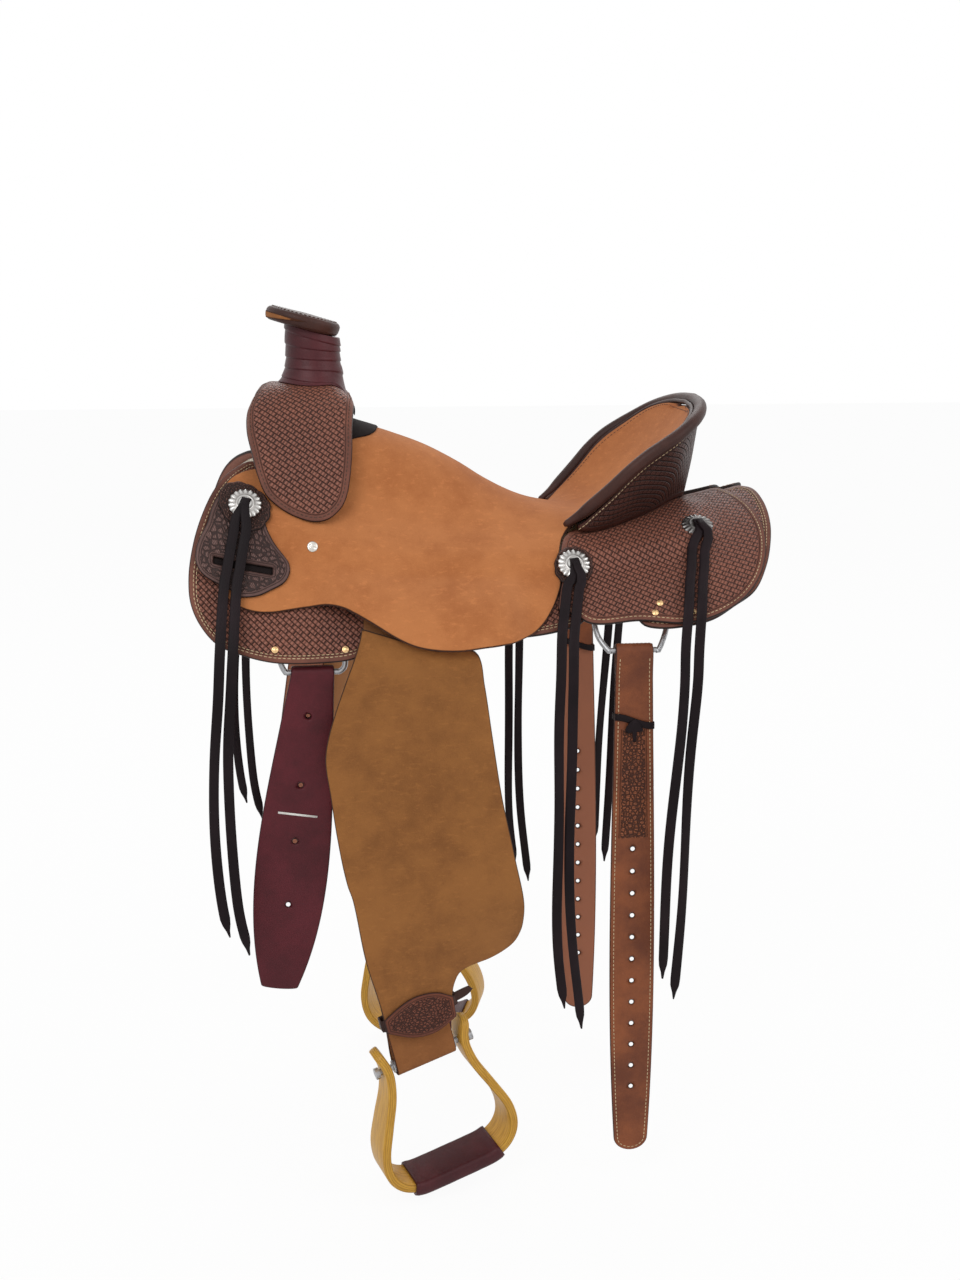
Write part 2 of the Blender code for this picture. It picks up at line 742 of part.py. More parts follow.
def seat_ridge(x):
    """Underside of the seat leather on the centre plane."""
    xs = [along(row[0]) for row in RIDGE]
    rise = CANTLE_TOP / DRAFT_CANTLE_TOP
    heights = []
    for place, height in RIDGE:
        heights.append(height - SEAT_THICK if place < 0.12 else mix(height, height * rise, 1.0) - SEAT_THICK)
    i = min(max(int(np.searchsorted(xs, x)) - 1, 0), len(xs) - 2)
    a, b = max(i - 1, 0), min(i + 2, len(xs) - 1)
    span = xs[i + 1] - xs[i]
    t = (x - xs[i]) / span
    slope_in = (heights[i + 1] - heights[a]) / (xs[i + 1] - xs[a]) * span
    slope_out = (heights[b] - heights[i]) / (xs[b] - xs[i]) * span
    return ((2 * t ** 3 - 3 * t ** 2 + 1) * heights[i] + (t ** 3 - 2 * t ** 2 + t) * slope_in
            + (3 * t ** 2 - 2 * t ** 3) * heights[i + 1] + (t ** 3 - t ** 2) * slope_out)


def seat_over_bars(x, out):
    """Underside of the seat where it comes down from the ridge over the bars to the jockeys."""
    edge = down(SEAT_HALF)
    if out >= edge:
        return drape(x, out, seat_jockey_under(x, out))
    land = drape(x, edge, seat_jockey_under(x, edge))
    ahead = drape(x, edge + STEP, seat_jockey_under(x, edge + STEP)) - land
    ahead = ahead / np.linalg.norm(ahead)
    crown = np.array((x, 0.0, seat_ridge(x)))
    reach = np.linalg.norm(land - crown)
    broad = smooth((along(-0.03) - x) / along(0.11))
    level = max(broad, smooth((x - along(0.02)) / along(0.06)))
    pull = crown + np.array((0.0, -mix(0.38, 0.56, level) * reach, 0.0))
    push = land - ahead * reach * mix(0.36, 0.46, broad)
    t = out / edge
    return ((1 - t) ** 3 * crown + 3 * t * (1 - t) ** 2 * pull
            + 3 * t * t * (1 - t) * push + t ** 3 * land)


def seat_in_dish(x, out):
    """Underside of the seat in the dish of the cantle."""
    share = out / down(SEAT_HALF)
    edge_y = float(np.interp(x, INNER_RIM[:, 0], INNER_RIM[:, 1]))
    edge_z = float(np.interp(x, INNER_RIM[:, 0], INNER_RIM[:, 2])) - SEAT_THICK * 1.15
    bulge = DISH_BULGE * (1 - min(share, 1.0) ** 2) * smooth((x - along(0.21)) / along(0.035))
    middle = seat_ridge(min(x + bulge, along(RIDGE[-1][0])))
    return np.array((x + bulge, -edge_y * share, middle + (edge_z - middle) * share * share))


def seat_end():
    """Where the seat leather ends under the top of the roll."""
    return float(np.interp(0.045, INNER_RIM[::-1, 1], INNER_RIM[::-1, 0]))


def seat_folds():
    """Fold lines of the seat: those of the back, closer together in the dish."""
    front = [along(x) for x in FOLD_X if x < 0.09]
    dish = [mix(front[-1], seat_end(), k / 8) for k in range(1, 9)]
    return Lattice(front + dish, [down(drop) for drop in FOLD_DROP])


SEAT_FOLDS = seat_folds()


def seat_surface(x, out):
    """Underside of the seat leather; out is below zero on the off side."""
    side = abs(out)
    blend = smooth((x - along(DISH_START)) / along(DISH_END - DISH_START))
    over_jockey = smooth((down(SEAT_HALF + 0.02) - side) / down(0.02))
    blend *= mix(over_jockey, 1.0, smooth((x - along(DISH_RIM)) / along(0.010)))
    before_fork = smooth((along(FRONT_FLAT) - x) / along(0.02))
    if before_fork > 0:
        point = mix(seat_over_bars(x, side), drape(x, side, seat_jockey_under(x, side)), before_fork)
    elif blend <= 0:
        point = seat_over_bars(x, side)
    elif blend >= 1:
        point = seat_in_dish(x, side)
    else:
        point = seat_over_bars(x, side) * (1 - blend) + seat_in_dish(x, side) * blend
    if out < 0:
        point = point * np.array((1.0, -1.0, 1.0))
    return point


def seat_form(x, out, side):
    """Seat leather between its two faces."""
    return seat_surface(x, out) + normal_of(seat_surface, x, out) * SEAT_THICK * side


def seat_outline():
    """Whole seat pattern: near side out and back along the roll, then the off side."""
    top = seat_end()
    half = fitted(SEAT_EDGE)
    rows = [(mix(half[-1][0], top, k / 8), down(SEAT_HALF)) for k in range(1, 9)]
    near = half + rows
    off = [(x, -drop) for x, drop in reversed(near) if drop > 1e-6]
    return near + off


def make_seat():
    """Seat leather with its two jockeys, in one piece."""
    return SEAT_FOLDS.sheet(seat_outline(), seat_form)


GROUND_THICK = 0.006
GROUND_HALF = 0.046           # pattern half width of the ground seat
GROUND_FRONT, GROUND_REAR = -0.140, 0.062


def make_ground_seat():
    """Skived leather and strainer under the rider, thinned to nothing towards the bars."""
    half = down(GROUND_HALF)
    low_x, high_x = along(GROUND_FRONT), along(GROUND_REAR)
    outline = rounded_box(low_x, high_x, -half, half, 0.02, 3)

    def form(x, out, side):
        normal = normal_of(seat_surface, x, out)
        thick = GROUND_THICK * (1 - 0.75 * smooth(abs(out) / half))
        return seat_surface(x, out) - normal * (GAP + thick * (1 - side))
    return SEAT_FOLDS.sheet(outline, form)


# Cantle: wooden core, tooled back and roll

CANTLE_BASE = (
    (0.0980, 0.0690), (0.1080, 0.0755), (0.1200, 0.0780), (0.1400, 0.0750), (0.1620, 0.0675),
    (0.1980, 0.0530), (0.2280, 0.0370), (0.2460, 0.0210), (0.2550, 0.0030),
)
CANTLE_STAND = 0.0014         # clearance of the cantle's foot above the leather
CANTLE_WOOD = 0.011


def foot_track():
    """Foot of the cantle's back as a line of (x, drop)."""
    return Track(curve_through(fitted(CANTLE_BASE), 4))


def on_rear_jockey(x, drop):
    """Height of the top of the rear jockey, with its clearance."""
    return jockey_under(x, drop) + SEAT_THICK + CANTLE_STAND


def on_bar(x, drop):
    """Height of the top of the bar, with its clearance."""
    return jockey_under(x, drop)


def mirror_rows(rows):
    """Rows of one half followed by their mirror images, the last row shared."""
    flipped = [[Vector((p[0], -p[1], p[2])) for p in row] for row in reversed(rows[:-1])]
    return [[Vector(p) for p in row] for row in rows] + flipped


def back_rows(shares, steps, start, thick):
    """Rows across the cantle's back, from below the roll to the rear jockey."""
    rim, foot = rim_track(), foot_track()
    rows = []
    for share in shares:
        top = rim.at(rim.total * share)
        x, drop = foot.at(foot.total * share)
        low = np.array(back_spot(x, max(drop, 0.0), on_rear_jockey))
        if share >= 1.0:
            low[1] = 0.0
            top[1] = 0.0
        fall_line = low - top
        drop = fall_line / np.linalg.norm(fall_line)
        ahead = rim.at(rim.total * min(share + 0.01, 1.0)) - rim.at(rim.total * (share - 0.01))
        ahead = np.array((0.0, 1.0, 0.0)) if share >= 1.0 else ahead / np.linalg.norm(ahead)
        slant = math.sqrt(1 - float(ahead @ drop) ** 2)
        top = top + drop * (ROLL_RADIUS + 2 * GAP) / slant
        normal = np.cross(ahead, drop)
        normal = normal / np.linalg.norm(normal)
        if normal[0] < 0 and share > 0.5 or normal[1] > 0 and share <= 0.5:
            normal = -normal
        row = []
        for k in range(steps + 1):
            bulge = math.sin(math.pi * k / steps) * 0.004
            row.append(top + (low - top) * k / steps + normal * (bulge + start))
        outer = [point + normal * thick for point in row]
        rows.append(row + outer[::-1])
    return rows


ROLL_STEPS = 14


def make_cantle_cover():
    """Tooled leather on the back of the cantle."""
    shares = [k / ROLL_STEPS for k in range(1, ROLL_STEPS + 1)]
    return lofted(mirror_rows(back_rows(shares, 3, -COVER_THICK / 2, COVER_THICK)))


def make_cantle():
    """Wooden cantle of the tree: a board shaped to the dish, thinned to the bars and to the roll."""
    end = seat_end() - 0.004
    front, half = along(0.132), down(0.066)
    outline = [(front, -half * 0.8), (end, -half), (end, half), (front, half * 0.8)]

    def form(x, out, side):
        normal = normal_of(seat_surface, x, out)
        thick = mix(0.002, CANTLE_WOOD, smooth((x - along(0.13)) / 0.045))
        thick = min(thick, mix(0.003, CANTLE_WOOD, smooth((down(SEAT_HALF) - abs(out)) / 0.03)))
        thick = min(thick, mix(0.003, CANTLE_WOOD, smooth((along(0.262) - x) / 0.03)))
        return seat_surface(x, out) - normal * (GAP + thick * (1 - side))
    return SEAT_FOLDS.sheet(outline, form)


def make_binding():
    """Leather roll along the cantle's rim."""
    rim = rim_track()
    shares = [k / ROLL_STEPS for k in range(ROLL_STEPS + 1)]
    rows = []
    sides = 8
    for share in shares:
        here = rim.at(rim.total * share)
        ahead = Vector(rim.at(rim.total * min(share + 0.01, 1.0))
                       - rim.at(rim.total * max(share - 0.01, 0.0)))
        if share >= 1.0:
            here[1] = 0.0
            ahead = Vector((0, 1, 0))
        ahead.normalize()
        rise = Vector((0, 0, 1)) - ahead * ahead.z
        rise.normalize()
        third = ahead.cross(rise)
        radius = ROLL_RADIUS * (0.55 + 0.45 * smooth(share / 0.12))
        ring = []
        for k in range(sides):
            angle = 2 * math.pi * (k + 0.5) / sides
            ring.append(Vector(here) + (rise * math.cos(angle) + third * math.sin(angle)) * radius)
        rows.append(ring)
    mirror = [[Vector((p.x, -p.y, p.z)) for p in row] for row in reversed(rows[:-1])]
    return lofted(rows + mirror)


# Fork: an arch over the withers, as (out, height) of its covered outside

ARCH = (
    (0.0000, 0.2225), (0.0300, 0.2215), (0.0520, 0.2150), (0.0720, 0.2000), (0.0880, 0.1780),
    (0.1020, 0.1520), (0.1150, 0.1250), (0.1270, 0.0980), (0.1370, 0.0745),
)
FORK_SPANS = (0.0, 0.030, 0.053, 0.078, 0.105, 0.134, 0.164, 0.186, 0.200, 0.208, 0.2135, 0.2170)
FORK_FRONT = (-0.262, -0.265, -0.272, -0.278, -0.2785, -0.273, -0.266, -0.257, -0.243, -0.231, -0.219, -0.207)
FORK_REAR = (-0.152, -0.152, -0.153, -0.155, -0.157, -0.158, -0.161, -0.165, -0.171, -0.178, -0.185, -0.195)
FORK_ROUND = 0.014            # how far the fork's edges round over
FORK_BACK_ROUND = 0.046       # the same at its top behind the horn
FORK_DEPTH = 0.034            # leather and wood, outside to gullet
FORK_FOOT = (-0.240, -0.190, 0.036, 0.060)
FOOT_TALL = 0.030


def arch_track():
    """Outside of the fork, from the centre out and down."""
    widen = BACK_WIDTH / DRAFT_WIDTH
    return Track(curve_through([(out * widen, height) for out, height in ARCH], 6))


ARCH_TRACK = arch_track()
ARCH_SPANS = [span * ARCH_TRACK.total / FORK_SPANS[-1] for span in FORK_SPANS]
FORK_FOLDS = Lattice([along(x) for x in (-0.2785, -0.272, -0.264, -0.250, -0.222, -0.195, -0.178, -0.167,
                                         -0.159, -0.152)], ARCH_SPANS)


def fork_edge(table, span):
    """Edge of the fork at a span from the centre."""
    return along(float(np.interp(span, ARCH_SPANS, table)))


def rounded_fall(radius, inside):
    """Depth of a rounded edge at a distance inside it."""
    t = min(max((radius - inside) / radius, 0.0), 0.98)
    return radius * (1 - math.sqrt(1 - t * t))


def fork_point(x, span, depth, round_by=1.0):
    """Point at a depth under the fork's rounded outside, near side."""
    out, height = ARCH_TRACK.at(span)
    step_out, step_height = ARCH_TRACK.at(span + STEP) - ARCH_TRACK.at(max(span - STEP, 0.0))
    if span < STEP:
        step_out, step_height = 1.0, 0.0
    size = math.hypot(step_out, step_height)
    share = span / ARCH_TRACK.total
    fade = 1 - smooth((share - 0.45) / 0.35)
    front = rounded_fall(FORK_ROUND, x - fork_edge(FORK_FRONT, span)) * fade
    back_radius = mix(FORK_BACK_ROUND, FORK_ROUND, smooth(share / 0.40))
    back = rounded_fall(back_radius, fork_edge(FORK_REAR, span) - x) * fade
    into = depth + max(front, back) * round_by
    return np.array((x, -(out + step_height / size * into), height - step_out / size * into))


def fork_outline(inset, last):
    """Fork pattern as (x, span) over both sides, out to one of its spans."""
    spans = ARCH_SPANS[:last]
    front = [(fork_edge(FORK_FRONT, span) + inset, span) for span in spans]
    rear = [(fork_edge(FORK_REAR, span) - inset, span) for span in spans]
    near = front + rear[::-1]
    off = [(x, -span) for x, span in rear[1:]] + [(x, -span) for x, span in front[:0:-1]]
    return near + off


def make_fork_cover():
    """Tooled leather over the fork."""
    def form(x, span, side):
        return fork_point(x, span, COVER_THICK * (1 - side))
    return FORK_FOLDS.sheet(fork_outline(0.0, len(ARCH_SPANS)), form)


def over_fork(x, y):
    """Height of the outside of the fork near its top centre."""
    flat = FORK_FOLDS.folded(lambda u, v, side: fork_point(u, v, 0.0))
    return float(flat(x, abs(y), 0)[2])


def under_cap(x):
    """Height of the underside of the tilted horn cap."""
    middle = along(CAP_X) - CAP_THICK * math.sin(CAP_TILT)
    return HORN_TOP - CAP_THICK * math.cos(CAP_TILT) - math.tan(CAP_TILT) * (x - middle)


def make_fork():
    """Wooden fork of the tree with its feet on the bars and the horn's post."""
    def form(x, span, side):
        shallow = 1 - 0.42 * smooth((span / ARCH_TRACK.total - 0.40) / 0.4)
        if side == 0:
            return fork_point(x, span, FORK_DEPTH * shallow, 0.35)
        return fork_point(x, span, COVER_THICK + GAP)
    wood = place_piece("tree_fork", FORK_FOLDS.sheet(fork_outline(0.006, 7), form), TREE_WOOD)
    low_x, high_x, top, low = (value for value in FORK_FOOT)
    for side in (NEAR, OFF):
        def foot_form(x, drop, face):
            point = drape(x, drop, on_bar(x, drop)) + np.array((0.0, 0.0, FOOT_TALL * face))
            return point * np.array((1.0, float(-side), 1.0))
        box = [(along(low_x), down(top)), (along(high_x), down(top)), (along(high_x), down(low)),
               (along(low_x), down(low))]
        foot = BACK_FOLDS.sheet(box, foot_form)
        boolean(wood, cutter("fork_foot", foot), "UNION")
    top, foot = under_cap(along(HORN_X)) - 2 * GAP, ARCH[0][1] - 0.5 * FORK_DEPTH
    post = turned([(0.0, top), (POST_RADIUS, top), (POST_RADIUS, foot), (0.0, foot)], 20,
                  Matrix.Translation((along(HORN_X), 0, 0)))
    lean_top(post, top, True)
    boolean(wood, cutter("horn_post", post), "UNION")
    finish_material(wood, TREE_WOOD)
    return wood


def lean_top(bm, tall, bm_is_placed):
    """Slope the top of an upright piece to lie under the tilted horn cap."""
    for vert in bm.verts:
        share = smooth((vert.co.z - (tall - 0.030)) / 0.028)
        middle = along(HORN_X) if bm_is_placed else 0.0
        vert.co.z -= math.tan(CAP_TILT) * (vert.co.x - middle) * share


def make_horn_wrap():
    """Leather wound round the horn's neck, its foot spread over the fork."""
    tall = under_cap(along(HORN_X)) - GAP
    foot = ARCH[0][1]
    bore = POST_RADIUS + GAP
    neck = NECK_RADIUS
    profile = [(bore, tall), (neck + 0.004, tall), (neck + 0.0005, tall - 0.012),
               (neck - 0.001, tall - 0.030), (neck, foot + 0.020), (neck + 0.003, foot + 0.009),
               (neck + 0.006, foot + 0.003), (neck + 0.008, foot), (neck + 0.003, foot),
               (neck - 0.003, foot), (bore, foot), (bore, tall)]
    bm = turned(profile, 24, Matrix.Identity(4))
    lean_top(bm, tall, False)
    for vert in bm.verts:
        low = smooth((foot + 0.018 - vert.co.z) / 0.015)
        vert.co.x += along(HORN_X)
        vert.co.z += (over_fork(vert.co.x, vert.co.y) + 5 * GAP - foot) * low
    return place_piece("horn_wrap", bm, LEATHER_BURGUNDY)


def make_horn_cap():
    """Round leather-covered cap of the horn, higher at the front."""
    r = CAP_RADIUS
    profile = [(0.0, 0.0), (r - 0.010, 0.0), (r - 0.003, -0.0020), (r, -0.006), (r - 0.001, -0.012),
               (r - 0.007, -CAP_THICK), (0.0, -CAP_THICK)]
    tilt = Matrix.Rotation(CAP_TILT, 4, "Y")
    place = Matrix.Translation((along(CAP_X), 0, HORN_TOP)) @ tilt
    return place_piece("horn_cap", turned(profile, 28, place), LEATHER_BURGUNDY)


# Silver, rosettes and the latigo keeper

FRONT_TIE = (-0.2872, 0.0840)
MID_TIE = (0.0935, 0.124)
REAR_TIE = (0.251, 0.092)
KEEPER_EDGE = (
    (-0.300, 0.070), (-0.314, 0.078), (-0.322, 0.096), (-0.327, 0.118), (-0.334, 0.136), (-0.338, 0.154),
    (-0.337, 0.167), (-0.330, 0.176), (-0.316, 0.181), (-0.302, 0.183), (-0.290, 0.190), (-0.270, 0.183),
    (-0.254, 0.172), (-0.239, 0.159), (-0.234, 0.146), (-0.236, 0.135), (-0.244, 0.126), (-0.253, 0.116),
    (-0.260, 0.104), (-0.266, 0.086), (-0.276, 0.074), (-0.288, 0.068),
)
KEEPER_SLOT = (-0.318, -0.254, 0.150, 0.157)
KEEPER_SLANT = 0.003          # how far the slot's ends are off its middle


def over_seat(x, drop):
    """Height of the top of the seat jockey."""
    return seat_jockey_under(x, drop) + SEAT_THICK


def keeper_under(x, drop):
    """Height of the underside of the latigo keeper."""
    return over_seat(x, drop) + GAP


def make_keeper():
    """Latigo keeper on the near front jockey, with the slot that the latigo's end tucks into."""
    bm = BACK_FOLDS.sheet(fitted(KEEPER_EDGE), laid_on(keeper_under, KEEPER_THICK))
    keeper = place_piece("near_latigo_keeper", bm, LEATHER_DARK)
    low_x, high_x, top, low = KEEPER_SLOT
    box = fitted(((low_x, top + KEEPER_SLANT), (high_x, top - KEEPER_SLANT),
                  (high_x, low - KEEPER_SLANT), (low_x, low + KEEPER_SLANT)))

    def form(x, drop, side):
        return drape(x, drop, keeper_under(x, drop) - 0.003 + 0.010 * side)
    boolean(keeper, cutter("keeper_slot", bent_sheet(box, [], [], form)), "DIFFERENCE")
    finish_material(keeper, LEATHER_DARK)
    return keeper


def disc_outline(centre, radius, steps):
    """Round outline on the body pattern."""
    x, drop = along(centre[0]), down(centre[1])
    ring = []
    for k in range(steps):
        angle = 2 * math.pi * k / steps
        ring.append((x + radius * math.cos(angle), drop + radius * math.sin(angle)))
    return ring


def make_rosette(centre, radius, under):
    """Round leather rosette, bent to the leather that it lies on."""
    form = laid_on(lambda x, drop: under(x, drop) + GAP, ROSETTE_THICK)
    return BACK_FOLDS.sheet(disc_outline(centre, radius, 18), form)


@functools.lru_cache(maxsize=None)
def tie_frame(centre, under):
    """Placement of a concho that rests on the leather: X along the horse, Z out."""
    x, drop = along(centre[0]), down(centre[1])
    origin = back_spot(x, drop, under)
    side = back_spot(x + 0.01, drop, under) - back_spot(x - 0.01, drop, under)
    fall_line = back_spot(x, drop + 0.01, under) - back_spot(x, drop - 0.01, under)
    normal = fall_line.cross(side).normalized()
    highest = 0.0
    for k in range(16):
        for radius in (CONCHO_RADIUS * 0.6, CONCHO_RADIUS * 1.05):
            u = x + radius * math.cos(math.pi * k / 8)
            v = drop + radius * math.sin(math.pi * k / 8)
            highest = max(highest, (back_spot(u, v, under) - origin).dot(normal))
    return frame_matrix(origin + normal * (highest + GAP), side, normal)


CONCHO_SLOT = (0.0115, 0.0028, 0.0055)


def make_concho(name, centre, under, side):
    """Domed concho with the two slots that its strings pass through."""
    r, h = CONCHO_RADIUS, CONCHO_HEIGHT
    profile = [(0.0, h), (r * 0.45, h * 0.92), (r * 0.8, h * 0.62), (r, h * 0.22), (r, 0.0), (0.0, 0.0)]
    place = tie_frame(centre, under)
    concho = place_piece(name, turned(profile, 18, place), SILVER)
    width, tall, offset = CONCHO_SLOT
    for sign in (-1, 1):
        slot = bmesh.new()
        bmesh.ops.create_cube(slot, size=1.0)
        size = Matrix.Diagonal((width, tall, 0.02, 1.0))
        bmesh.ops.transform(slot, matrix=place @ Matrix.Translation((0, sign * offset, 0)) @ size,
                            verts=slot.verts[:])
        boolean(concho, cutter("string_slot", slot), "DIFFERENCE")
    if side == OFF:
        flip(concho)
    finish_material(concho, SILVER)
    return concho


def flip(item):
    """Mirror a finished piece to the off side."""
    bm = bmesh.new()
    bm.from_mesh(item.data)
    for vert in bm.verts:
        vert.co.y = -vert.co.y
    bmesh.ops.reverse_faces(bm, faces=bm.faces[:])
    bm.to_mesh(item.data)
    bm.free()


def over_rear(x, drop):
    """Height of the top of the rear jockey."""
    return jockey_under(x, drop) + SEAT_THICK


def over_keeper(x, drop):
    """Height of the top of the latigo keeper."""
    return keeper_under(x, drop) + KEEPER_THICK


def over_front_rosette(x, drop):
    """Height of the top of the near front rosette."""
    return over_keeper(x, drop) + GAP + ROSETTE_THICK


def over_off_front_rosette(x, drop):
    """Height of the top of the off front rosette."""
    return over_seat(x, drop) + GAP + ROSETTE_THICK


def over_mid_rosette(x, drop):
    """Height of the top of a middle rosette."""
    return mid_under(x, drop) + GAP + ROSETTE_THICK


def tie_layers(side):
    """For each tie: its centre, its rosette's radius, and the leather under rosette and concho."""
    front = (over_keeper, over_front_rosette) if side == NEAR else (over_seat, over_off_front_rosette)
    return {
        "front": (FRONT_TIE, ROSETTE_FRONT, front[0], front[1]),
        "mid": (MID_TIE, ROSETTE_MID, mid_under, over_mid_rosette),
        "rear": (REAR_TIE, 0.0, over_rear, over_rear),
    }


def make_silver():
    """Rosettes and conchos at the three ties of each side."""
    for side, word in ((NEAR, "near_"), (OFF, "off_")):
        for tie, (centre, radius, under_rosette, under_concho) in tie_layers(side).items():
            make_concho(word + tie + "_concho", centre, under_concho, side)
            if radius:
                bm = make_rosette(centre, radius, under_rosette)
                place_piece(word + tie + "_rosette", bm if side == NEAR else mirrored(bm), LEATHER_DARK)


def mid_under(x, drop):
    """Height of the leather under the middle rosette: the seat's corner and the rear jockey."""
    return max(over_rear(x, drop), over_seat(x, drop))


# Rigging dees, and the straps that hang from them

DEE_HEAD = SKIRT_UNDER - GAP - DEE_ROD
FRONT_DEE = {"x": -0.209, "half_top": 0.036, "half_bar": 0.030, "top": 0.206, "bar": (0.1955, -0.0868)}
REAR_DEE = {"x": 0.1560, "half_top": 0.045, "half_bar": 0.029, "top": 0.160, "bar": (0.1955, -0.0708)}


def dee_height(x, drop):
    """Height of the middle of a dee's rod under the skirt."""
    return DEE_HEAD


def make_dee(size):
    """Rigging dee: its head lies under the skirt, its straight bar carries a strap."""
    x, top = along(size["x"]), down(size["top"])
    out, height = size["bar"]
    half_top, half_bar = size["half_top"], size["half_bar"]
    head = []
    for k in range(7):
        angle = math.pi * k / 6
        head.append(np.array(back_spot(x - half_top * math.cos(angle), top + 0.016 * (1 - math.sin(angle)),
                                       dee_height)))
    bar = [np.array((x + half_bar * k, -out, height)) for k in (1.0, 0.33, -0.33, -1.0)]
    knees = [(head[-1] + bar[0]) / 2 + np.array((0.003, 0.0, -0.005)),
             (head[0] + bar[3]) / 2 + np.array((-0.003, 0.0, -0.005))]
    return rod(head + knees[:1] + bar + knees[1:], DEE_ROD, 8)


def loop_track(radius, tail, reach, meet, gap):
    """Strap line (out, down) over a bar: up the back, over the top and down the front."""
    points = [(-gap / 2, tail)]
    for k in range(5):
        share = k / 4
        points.append((-mix(gap / 2, radius, smooth(share)), meet * (1 - share)))
    for k in range(1, 8):
        angle = math.pi * (1 - k / 8)
        points.append((radius * math.cos(angle), -radius * math.sin(angle)))
    for k in range(5):
        share = k / 4
        points.append((mix(radius, gap / 2, smooth(share)), meet * share))
    points.append((gap / 2, reach))
    return Track(points)


def strap_sheet(outline, track, thick, place):
    """Strap bent along a track; place(across, out, down) puts it in the world."""
    def form(across, length, side):
        here = track.at(length)
        ahead = track.at(length + 1e-4) - track.at(length - 1e-4)
        ahead = ahead / np.linalg.norm(ahead)
        normal = np.array((ahead[1], -ahead[0]))
        here = here + normal * thick * side
        return place(across, here[0], here[1])
    cuts = [float(length) for length in track.lengths[1:-1]]
    return bent_sheet(outline, [], cuts, form)


def hanging_place(x, bar, lean):
    """World place of a strap that hangs from a bar, near side; lean is its slope along the horse."""
    out_bar, height = bar

    def place(across, out, fall):
        slope = math.hypot(1.0, lean)
        return Vector((x + across / slope + lean * max(fall, 0.0) / slope, -(out_bar + out),
                       height - (fall if fall < 0 else fall / slope) + across * lean / slope * min(
                           1.0, max(fall, 0.0) / 0.05)))
    return place


def holes_cutter(name, places, radius, axis_point, axis):
    """Row of hole punches."""
    bm = bmesh.new()
    for place in places:
        spot = axis_point(place)
        turn = frame_matrix(spot, (1, 0, 0), axis)
        bmesh.ops.create_cone(bm, cap_ends=True, segments=6, radius1=radius, radius2=radius, depth=0.03,
                              matrix=turn)
    return cutter(name, bm)


LATIGO = {"tail": 0.060, "reach": 0.385, "meet": 0.034, "lean": -0.126}
LATIGO_HOLES = (0.051, 0.133, 0.201, 0.279)
OFF_BILLET = {"tail": 0.075, "reach": 0.385, "meet": 0.034, "lean": -0.130}
REAR_BILLET = {"tail": 0.085, "reach": 0.634, "meet": 0.034, "lean": 0.016}
REAR_BILLET_HOLES = (0.240, 0.268, 0.296, 0.324, 0.352, 0.380, 0.408, 0.436, 0.464, 0.492, 0.520, 0.548)


def rounded_end(width, start, end, round_by):
    """Strap outline: square at the start, rounded at the end."""
    half = width / 2
    outline = [(half, start), (half, end - round_by)]
    for k in range(1, 6):
        angle = math.pi / 2 * k / 6
        outline.append((half * math.cos(angle), end - round_by + round_by * math.sin(angle)))
    outline.append((0.0, end))
    for k in range(5, 0, -1):
        angle = math.pi / 2 * k / 6
        outline.append((-half * math.cos(angle), end - round_by + round_by * math.sin(angle)))
    return outline + [(-half, end - round_by), (-half, start)]


def make_strap(name, dee, sizes, width, thick, round_by, holes, side, finish):
    """Strap looped over the bar of a rigging dee, hanging plumb under it."""
    radius = DEE_ROD + GAP
    track = loop_track(radius, sizes["tail"], sizes["reach"], sizes["meet"], GAP)
    place = hanging_place(along(dee["x"]), dee["bar"], sizes["lean"])
    outline = rounded_end(width, 0.0, track.total, round_by)
    strap = place_piece(name, strap_sheet(outline, track, thick, place), finish)
    if holes:
        punches = holes_cutter(name + "_holes", holes, STRAP_HOLE, lambda fall: place(0.0, 0.005, fall),
                               (0, 1, 0))
        boolean(strap, punches, "DIFFERENCE")
    pivot = Vector((along(dee["x"]), -dee["bar"][0], dee["bar"][1]))
    hang_plumb([strap], pivot, Vector((1, 0, 0)))
    if side == OFF:
        flip(strap)
        pivot.y = -pivot.y
    finish_material(strap, finish)
    set_pivot(strap, pivot)
    return strap


DENSITY = {"leather": 900.0, "wood": 700.0, "steel": 7850.0}


def mass_centre(items):
    """Mass and centre of mass of closed pieces, given as (object, density)."""
    total = 0.0
    centre = Vector()
    for item, density in items:
        bm = bmesh.new()
        bm.from_mesh(item.data)
        bmesh.ops.triangulate(bm, faces=bm.faces[:])
        for face in bm.faces:
            a, b, c = (vert.co for vert in face.verts)
            volume = a.dot(b.cross(c)) / 6 * density
            total += volume
            centre += (a + b + c) / 4 * volume
        bm.free()
    return total, centre / total


def hang_plumb(items, pivot, axis, weights=None):
    """Turn hanging pieces about a pivot until their centre of mass is below it."""
    weights = weights or [DENSITY["leather"]] * len(items)
    total = Matrix.Identity(4)
    for _ in range(3):
        _, centre = mass_centre(list(zip(items, weights)))
        arm = centre - pivot
        arm -= axis * arm.dot(axis)
        plumb = Vector((0, 0, -1)) - axis * -axis.z
        angle = math.atan2(axis.dot(arm.cross(plumb)), arm.dot(plumb))
        turn = Matrix.Translation(pivot) @ Matrix.Rotation(angle, 4, axis) @ Matrix.Translation(-pivot)
        total = turn @ total
        for item in items:
            item.data.transform(turn)
    return total


def set_pivot(item, pivot):
    """Put a piece's origin on the axis that it moves about, with the piece left in place."""
    item.data.transform(Matrix.Translation(-Vector(pivot)))
    item.location = pivot


# Strings: where a pair lies on the leather (x, drop, height over it) and hangs free (x, out, height)

